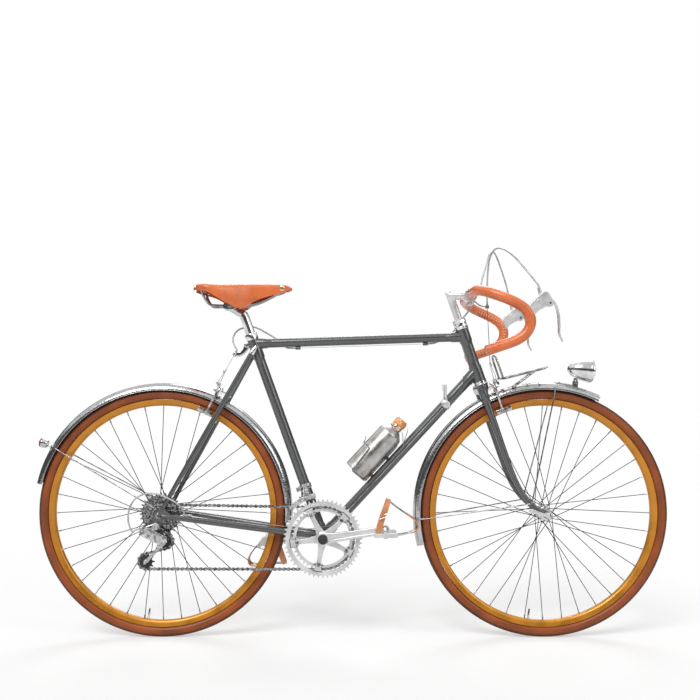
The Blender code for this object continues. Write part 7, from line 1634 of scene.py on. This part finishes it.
def build_shift_levers():
    for side, name in ((-1, "right"), (1, "left")):
        pivot = joint_place(name + "_shift_lever_turn")
        pivot = vec(pivot.x, 0, pivot.z)
        out = SIDE * side
        lever = Shape()
        lever.turned([(0, 18.8), (10, 18.8), (10, 20), (8.6, 20.6), (8.6, 23.4), (10, 24), (10, 25.4),
            (8, 26.4), (4.6, 26.8), (4.6, 29.2), (0, 29.6)], pivot, out, 40)
        up = vec(-0.05, 0, 1).normalized()
        start = pivot + out * 23
        line = smooth_line([start + up * rise + out * y for rise, y in ((4, 0), (18, 0), (38, 3),
            (55, 5.5))], 5)
        widths = spread((4.4, 2.5, 2.2, 3.2, 2.4), len(line))
        lever.sweep(line, [rounded(2.2, w, 1.1, 3) for w in widths])
        lever.piece(name + "_shifter", "alloy", name + "_shift_lever", (name + "_shift_lever",), bevel=0.3)


# Cables
def add_housing(shape, ends, start, start_dir, rows, end, end_dir, far=None):
    """A cable's housing that leaves and arrives straight, with a ferrule at both ends."""
    radius = bpy.context.scene.bicycle_sizes.housing / MM
    line = smooth_line([start + start_dir * 18] + rows + [end - end_dir * 14], 5)
    shape.tube([start] + line + [end], radius, 14, up=vec(0.1, 0.3, 1))
    ends.rod(start - start_dir, start + start_dir * 9, 3.1, 20)
    (far or ends).rod(end - end_dir * 9, end + end_dir, 3.1, 20)


def add_straddle(wires, ends, centre, up, out, rise):
    """The yoke of a centre-pull brake, and the short cable that it pulls."""
    middle = centre + out * 9
    wires.tube([middle + SIDE * a + up * b for a, b in ((-25, 20), (-7, rise - 3), (0, rise - 4),
        (7, rise - 3), (25, 20))], 0.95, 10, up=out)
    yoke = middle + up * rise
    ends.plate(((-9, -6), (9, -6), (8.6, -2), (5, 7), (-5, 7), (-8.6, -2)), yoke, SIDE, up, -2, 2)
    ends.bolt(yoke + out * 2, out, 3.2, 3)
    for side in (-1, 1):
        eye = middle + SIDE * side * 25 + up * 20
        ends.rod(eye - out * 4, eye + out * 3, 3.6, 20)
    return yoke


def build_cables():
    names = ("front_brake_cable", "rear_brake_housing", "rear_brake_cable", "rear_shift_cable")
    covers = {name: Shape() for name in names}
    ends = {"steering": Shape(), "frame": Shape()}
    wires = {"steering": Shape(), "frame": Shape()}
    yoke = add_straddle(wires["steering"], ends["steering"], FRONT_BRAKE, STEER_UP, STEER_AHEAD, 62)
    start = joint_place("right_brake_squeeze") + HOOD_EXIT + HOUSING_OUT
    rows = placed(((122, -188, 42), (98, -160, 80), (80, -122, 106), (66, -90, 118), (56, -64, 116),
        (49, -36, 96), (47.5, -10, 52)), BAR_CENTRE)
    add_housing(covers[names[0]], ends["steering"], start, HOUSING_OUT, rows, FRONT_STOP - UP, -UP)
    wires["steering"].rod(FRONT_STOP + UP * 3, yoke + STEER_UP * 2, 0.9, 10)
    start = joint_place("left_brake_squeeze") + HOOD_EXIT + HOUSING_OUT
    rows = placed(((132, 188, 64), (114, 166, 104), (98, 138, 130), (84, 112, 141), (68, 88, 130),
        (58, 74, 100), (46, 62, 66), (34, 50, 26), (6, 38, -30), (-18, 32, -62)), BAR_CENTRE)
    landing = TOP_TUBE_FRONT + vec(-38, 26, 6)
    rows += [landing, cable_stop(512) + vec(0, 17, 5)]
    add_housing(covers[names[1]], ends["steering"], start, HOUSING_OUT, rows, cable_stop(473.5),
        -TOP_DIR, ends["frame"])
    bend = ("steering", "frame", (BAR_CENTRE + vec(46, 62, 66)) * MM, landing * MM)
    yoke = add_straddle(wires["frame"], ends["frame"], REAR_BRAKE, STAY_UP, STAY_BACK, 58)
    rear = cable_stop(128)
    wires["frame"].rod(rear - TOP_DIR * 3, cable_stop(472), 0.9, 10)
    post = on_seat(622)
    rows = [rear - TOP_DIR * 40 + vec(0, 12, 4), rear - TOP_DIR * 58 + vec(0, 22, 22)]
    rows += placed(((48, 26, -15), (13, 28, 1), (-25, 22, -5), (-41, 12, -24), (-42, 5, -44)), post)
    add_housing(covers[names[2]], ends["frame"], rear, -TOP_DIR, rows, HANGER_STOP, -STAY_UP)
    wires["frame"].rod(HANGER_STOP + STAY_UP * 3, yoke + STAY_UP * 2, 0.9, 10)
    root = BB + vec(-12, -23, 4)
    tip = REAR_AXLE + vec(30, -65, -4)
    run = (tip - root).normalized()
    stop_at = 352
    share = max(stop_at / (tip - root).length - 0.5, 0) * 2
    stop = root + run * stop_at + (UP - run * run.z).normalized() * (9.4 - 2.4 * share + 3)
    line = [BB + DOWN_DIR * place - SIDE * 20.5 for place in (488, 120)]
    line += placed(((22, -27, 34), (-10, -27, 26), (-44, -30, 24)), BB)
    line += [stop - run * 90 + UP, stop - run * 12, stop + run * 4]
    wires["frame"].tube(line, 0.9, 10, up=vec(0, 1, 0.2))
    rows = placed(((58, -76, 29), (26, -80, 50), (-6, -82, 61), (-36, -82, 60), (-62, -82, 45),
        (-77, -82, 15), (-78, -81, -18), (-68, -80, -42)), REAR_AXLE)
    heel = REAR_AXLE + vec(-48.6, -79, -32)
    add_housing(covers[names[3]], ends["frame"], stop + run, run, rows, heel,
        (heel - rows[-1]).normalized())
    for name in names:
        body = {names[0]: "steering", names[1]: bend}.get(name, "frame")
        covers[name].piece(name + "_housing", "cable", body, (name,))
    for body in ("steering", "frame"):
        ends[body].piece(body + "_cable_fittings", "chrome", body, bevel=0.2)
        wires[body].piece(body + "_inner_wires", "chrome", body)


# Saddle
def add_saddle_rivet(shape, rows, i, j, radius=4.6):
    run = rows[i][min(j + 1, len(rows[i]) - 1)] - rows[i][max(j - 1, 0)]
    out = vec(-0.5 if i < 6 else 0, -run.z, run.y).normalized()
    shape.ball(rows[i][j] - out * 0.7, out, radius, 2, 24)


def build_saddle():
    head = on_seat(SADDLE_CLAMP)
    nose = head.x + 137
    top = head.z + 81
    tail = nose - SADDLE_LENGTH
    stations = ((0, 0.30, -14, 9), (0.05, 0.78, -8.5, 17), (0.16, 0.98, -8, 24), (0.26, 0.92, -8, 38),
        (0.364, 0.76, -6, 56), (0.45, 0.62, -4.5, 68), (0.52, 0.50, -4, 67), (0.585, 0.40, -3.5, 56),
        (0.68, 0.32, -3.5, 42), (0.80, 0.25, -3.5, 32), (0.873, 0.235, -4, 27), (0.95, 0.20, -6, 17),
        (1, 0.12, -13, 6))
    profile = ((-1, 1), (-1.01, 0.62), (-0.99, 0.30), (-0.90, 0.10), (-0.62, 0.02))
    profile += ((0, 0),) + tuple((-a, b) for a, b in profile[::-1])
    columns = []
    for across, down in profile:
        knots = [vec(tail + SADDLE_LENGTH * along, SADDLE_HALF_WIDTH * width * across,
            top + rise - drop * down) for along, width, rise, drop in stations]
        columns.append(smooth_line(knots, 6))
    rows = [smooth_line([column[i] for column in columns], 4) for i in range(len(columns[0]))]

    def outward(row, j):
        run = row[min(j + 1, len(row) - 1)] - row[max(j - 1, 0)]
        return vec(0, -run.z, run.y).normalized()

    leather = Shape()
    rings = []
    for i, row in enumerate(rows):
        edge = min(i, len(rows) - 1 - i, 2) / 2
        wall = 2.6 + 2.4 * edge
        under = [p - outward(row, j) * wall for j, p in enumerate(row)]
        rings.append(row + under[::-1])
    leather.rings(rings)
    leather.piece("saddle_top", "leather", "saddle", ("saddle_leather",), sharp=60, bevel=0.7)
    rivets = Shape()
    last = len(rows[0]) - 1
    for i, j in ((3, 13), (3, 20), (3, 27), (5, 7), (5, last - 7)):
        add_saddle_rivet(rivets, rows, i, j)
    for j in (6, last - 6):
        add_saddle_rivet(rivets, rows, 62, j, 8)
    rivets.piece("saddle_rivets", "rivet", "saddle")
    clamp = head + vec(-34, 0, 17)
    metal = Shape()
    for side in (-1, 1):
        path = placed(((tail + 24, side * 44, top - 18), (tail + 30, side * 40, top - 40),
            (tail + 44, side * 30, clamp.z + 4), (tail + 62, side * 23, clamp.z),
            (tail + 140, side * 21, clamp.z + 1), (tail + 190, side * 11, clamp.z + 14),
            (nose - 30, side * 7, top - 24), (nose - 12, side * 6, top - 20)))
        metal.tube(smooth_line(path, 5), 3.5, 18)
    plate = placed(((tail + 34, -49, top - 21), (tail + 22, -30, top - 15), (tail + 18, 0, top - 12),
        (tail + 22, 30, top - 15), (tail + 34, 49, top - 21)))
    metal.sweep(smooth_line(plate, 5), rounded(5.5, 1.6, 0.8), up=UP)
    metal.block(vec(nose - 14.5, 0, top - 19.7), (AHEAD, UP, SIDE), (5.5, 5.2, 8), 1.5)
    metal.piece("saddle_rails_and_plates", "rod", "saddle", ("saddle_rails",))
    post = Shape()
    post.turned(((0, 470), (13.1, 470), (13.1, 650), (12.6, 655), (11.6, 662), (0, SADDLE_CLAMP)), BB,
        SEAT_UP, 48)
    post.rod(on_seat(656), clamp + vec(-2, 0, -4), 11.5, 32, 9)
    for side in (-1, 1):
        post.plate(((-17, -9), (-8, -11), (8, -11), (17, -9), (19, -4), (16, 6), (10, 9), (-10, 9),
            (-16, 6), (-19, -4)), clamp + SIDE * side * 22, AHEAD, UP, -7, 7)
    post.rod(clamp - SIDE * 28, clamp + SIDE * 28, 7, 32)
    post.piece("seat_post_and_clamp", "chrome", "saddle", ("seatpost",), "alloy", bevel=0.6)
    nuts = Shape()
    for side in (-1, 1):
        nuts.bolt(clamp + SIDE * side * 28.6, SIDE * side, 6, 5)
    nuts.piece("saddle_clamp_nuts", "chrome", "saddle")


# Bottle
def build_bottle():
    base = BB + DOWN_DIR * 193.5 + DOWN_OVER * 56.4

    def at(along, over, side=0.0):
        return base + DOWN_DIR * along + DOWN_OVER * over + SIDE * side

    body = Shape()
    body.turned(((0, 1.5), (30, 1.5), (31.5, 0.4), (34, 0.6), (35.7, 3), (35.7, 139), (35.2, 142.6),
        (33.2, 146.4), (20, 158.6), (17.4, 160.8), (16.4, 163), (16.4, 168), (0, 168)), base, DOWN_DIR,
        96)
    body.turned(((35, 4.8), (35.9, 5.4), (35.9, 6.6), (35, 7.2)), base, DOWN_DIR, 96)
    body.piece("bottle_body", "bottle", "bottle", ("bottle",))
    neck = Shape().turned(((12, 163.4), (17, 163.4), (17.6, 164.6), (17.6, 168), (16.6, 168.8),
        (16.6, 171), (17.6, 171.8), (17.6, 175), (16.8, 176), (12, 176)), base, DOWN_DIR, 64)
    neck.piece("bottle_neck", "rivet", "bottle", (), "cap")
    cap = Shape()
    rings = []
    for i in range(144):
        angle = pi * i / 72
        out = SIDE * cos(angle) + DOWN_OVER * sin(angle)
        grip = 18.2 - (0.5 if i % 3 == 0 else 0)
        rings.append([base + out * r + DOWN_DIR * h for r, h in ((12, 176.4), (17.6, 176.4),
            (grip, 177.2), (grip, 188.5), (17.4, 190.4), (16, 191.2), (15.6, 193.6), (14.2, 195),
            (0, 195), (0, 180), (12, 180))])
    cap.rings(rings, True)
    cap.piece("bottle_cap_knurled", "cap", "bottle", ("bottle_cap",), sharp=25)
    leash = Shape().tube(smooth_line([at(186, -15, -8), at(187, -24, -13), at(170, -34, -17),
        at(148, -43, -17), at(146, -46, -17), at(152, -38, -16), at(166, -24, -12), at(169, -15, -8)], 5),
        1.0, 10)
    leash.piece("bottle_leash", "rod", "bottle", (), "strap")
    cage = Shape()
    spine = -37.2
    for side in (-1, 1):
        knots = ((136, spine + 8, 19), (128, spine + 1, 11), (100, spine, 8), (18, spine, 8),
            (-1, spine + 2, 9), (-2.6, -14, 20), (-2.6, 4, 33), (4, 12, 36.4), (70, 18, 34.2),
            (75.5, 24, 30.4), (77.5, 34, 18.6), (78, 38.9, 0))
        cage.tube(smooth_line([at(t, o, side * y) for t, o, y in knots], 4), 1.8, 14)
    tab = smooth_line([at(72, 38.6), at(80, 39.6), at(88, 43), at(91, 47)], 4)
    cage.sweep(tab, rounded(5, 0.9, 0.6))
    for place in BOSSES:
        foot = BB + DOWN_DIR * place + DOWN_OVER * 16.9
        cage.block(foot + DOWN_OVER * 1, (DOWN_DIR, SIDE, DOWN_OVER), (6, 11, 1.1), 0.8)
        cage.bolt(foot + DOWN_OVER * 2.2, DOWN_OVER, 3, 1.6)
    cage.piece("bottle_cage_wire", "rod", "frame", ("bottle_cage",))


# The stage
def rays(value, *kinds):
    """1 for rays of these kinds."""
    return sum(value.node("ShaderNodeLightPath", out="Is " + kind + " Ray") for kind in kinds)


def build_stage():
    scene = bpy.context.scene
    mesh = bpy.data.meshes.new("floor")
    mesh.from_pydata([(-60, -60, 0), (60, -60, 0), (60, 60, 0), (-60, 60, 0)], [], [(0, 1, 2, 3)])
    floor = linked("floor", mesh)
    paint = Paint("floor", grey(0.6), 0.0, 0.9, specular_ior_level=0.0, emission_strength=1.0)
    mesh.materials.append(paint.feed(base_color=paint.noise(0.8).blend(grey(0.59), grey(0.61)),
        emission_color=rays(paint, "Camera", "Glossy", "Transmission") * 0.43))
    scene.world = bpy.data.worlds.new("studio")
    scene.world.use_nodes = True
    sky = Value(scene.world.node_tree, None)
    toward = sky.node("ShaderNodeTexCoord", out="Generated")
    height = sky.node("ShaderNodeSeparateXYZ", values={0: toward}, out="Z")
    curtain = (height - 0.10).maths("ABSOLUTE").between(0.40, 0.26)
    strength = (0.32 + rays(sky, "Camera", "Transmission") * 0.68
        + rays(sky, "Glossy") * (0.68 - curtain * 0.90))
    shader = scene.world.node_tree.nodes["Background"]
    shader.inputs["Color"].default_value = (1, 1, 1, 1)
    scene.world.node_tree.links.new(strength.socket, shader.inputs["Strength"])
    for name, place, power in (("key", (-1.0, -1.9, 2.3), 1.7), ("fill", (2.2, -1.6, 1.2), 0.5),
            ("rim", (0.4, 2.8, 2.6), 0.8)):
        lamp = bpy.data.lights.new(name, "SUN")
        lamp.angle = 0.5
        lamp.energy = power
        made = linked(name, lamp)
        made.location = place
        made.rotation_euler = (-vec(*place)).to_track_quat("-Z", "Y").to_euler()
    camera = linked("camera", bpy.data.cameras.new("camera"))
    camera.data.lens = 45.97
    camera.data.sensor_width = 36
    camera.data.shift_x = 2 / 700
    camera.data.shift_y = 54 / 700
    camera.location = (-0.010, -2.5, 0.6489)
    camera.rotation_euler = (pi / 2, 0, 0)
    scene.camera = camera
    scene.view_settings.view_transform = "Standard"


# The operators
class BicycleOperator:
    """What the operators share: each runs its own builders."""

    builders = ()

    def execute(self, context):
        for build in self.builders:
            build()
        return {"FINISHED"}


def build_wheels():
    build_wheel("front", FRONT_AXLE, "front_wheel", {-1: (-34, 21), 1: (34, 21)}, 60.8)
    build_wheel("rear", REAR_AXLE, "rear_wheel", {-1: (-23.5, 22), 1: (36, 22)}, 75)


def build_pedals():
    build_pedal(-1, "right", 0)
    build_pedal(1, "left", radians(140))


class BICYCLE_OT_frame(BicycleOperator, bpy.types.Operator):
    """Build the frame's tubes, lugs, stays and dropouts"""

    bl_idname = "bicycle.frame"
    bl_label = "Frame"
    builders = (build_tubes, build_stays)


class BICYCLE_OT_fork(BicycleOperator, bpy.types.Operator):
    """Build the fork and the headset"""

    bl_idname = "bicycle.fork"
    bl_label = "Fork"
    builders = (build_fork,)


class BICYCLE_OT_wheels(BicycleOperator, bpy.types.Operator):
    """Build both wheels and the front quick release"""

    bl_idname = "bicycle.wheels"
    bl_label = "Wheels"
    builders = (build_wheels, build_quick_release)


class BICYCLE_OT_mudguards(BicycleOperator, bpy.types.Operator):
    """Build the mudguards and their stays"""

    bl_idname = "bicycle.mudguards"
    bl_label = "Mudguards"
    builders = (build_mudguards,)


class BICYCLE_OT_lamps(BicycleOperator, bpy.types.Operator):
    """Build the lamps and the front rack"""

    bl_idname = "bicycle.lamps"
    bl_label = "Lamps and rack"
    builders = (build_lamps, build_rack)


class BICYCLE_OT_bars(BicycleOperator, bpy.types.Operator):
    """Build the stem, the handlebar with its covers, and the brake levers"""

    bl_idname = "bicycle.bars"
    bl_label = "Bars and levers"
    builders = (build_stem, build_bars, build_levers)


class BICYCLE_OT_brakes(BicycleOperator, bpy.types.Operator):
    """Build the brakes and the cables"""

    bl_idname = "bicycle.brakes"
    bl_label = "Brakes and cables"
    builders = (build_brakes, build_cables)


class BICYCLE_OT_drive(BicycleOperator, bpy.types.Operator):
    """Build the freewheel, chain, chainrings, cranks and pedals"""

    bl_idname = "bicycle.drive"
    bl_label = "Drive"
    builders = (build_freewheel, build_chain, build_chainrings, build_cranks, build_pedals)


class BICYCLE_OT_gears(BicycleOperator, bpy.types.Operator):
    """Build the derailleurs and the shift levers"""

    bl_idname = "bicycle.gears"
    bl_label = "Gears"
    builders = (build_derailleurs, build_shift_levers)


class BICYCLE_OT_saddle(BicycleOperator, bpy.types.Operator):
    """Build the saddle and the seat post"""

    bl_idname = "bicycle.saddle"
    bl_label = "Saddle"
    builders = (build_saddle,)


class BICYCLE_OT_bottle(BicycleOperator, bpy.types.Operator):
    """Build the bottle and its cage"""

    bl_idname = "bicycle.bottle"
    bl_label = "Bottle"
    builders = (build_bottle,)


class BICYCLE_OT_stage(BicycleOperator, bpy.types.Operator):
    """Build the floor, the lamps of the studio and the camera"""

    bl_idname = "bicycle.stage"
    bl_label = "Stage"
    builders = (build_stage,)


OPERATORS = (BICYCLE_OT_materials, BICYCLE_OT_frame, BICYCLE_OT_fork, BICYCLE_OT_wheels,
    BICYCLE_OT_mudguards, BICYCLE_OT_lamps, BICYCLE_OT_bars, BICYCLE_OT_brakes, BICYCLE_OT_drive,
    BICYCLE_OT_gears, BICYCLE_OT_saddle, BICYCLE_OT_bottle, BICYCLE_OT_stage)


class BICYCLE_PT_panel(bpy.types.Panel):
    """Lists what the add-on builds"""

    bl_idname = "BICYCLE_PT_panel"
    bl_label = "Touring Bicycle"
    bl_space_type = "VIEW_3D"
    bl_region_type = "UI"
    bl_category = "Bicycle"

    def draw(self, context):
        for group in (context.scene.bicycle_colours, context.scene.bicycle_sizes):
            for name in group.bl_rna.properties.keys():
                if name not in ("rna_type", "name"):
                    self.layout.prop(group, name)
        for operator in OPERATORS:
            self.layout.operator(operator.bl_idname)


def register():
    for made in (BicycleColours, BicycleSizes, *OPERATORS, BICYCLE_PT_panel):
        bpy.utils.register_class(made)
    bpy.types.Scene.bicycle_colours = PointerProperty(type=BicycleColours)
    bpy.types.Scene.bicycle_sizes = PointerProperty(type=BicycleSizes)


def unregister():
    del bpy.types.Scene.bicycle_sizes
    del bpy.types.Scene.bicycle_colours
    for made in reversed((BicycleColours, BicycleSizes, *OPERATORS, BICYCLE_PT_panel)):
        bpy.utils.unregister_class(made)


def main():
    register()
    for operator in OPERATORS:
        getattr(bpy.ops.bicycle, operator.bl_idname.split(".")[1])()


if __name__ == "__main__":
    main()
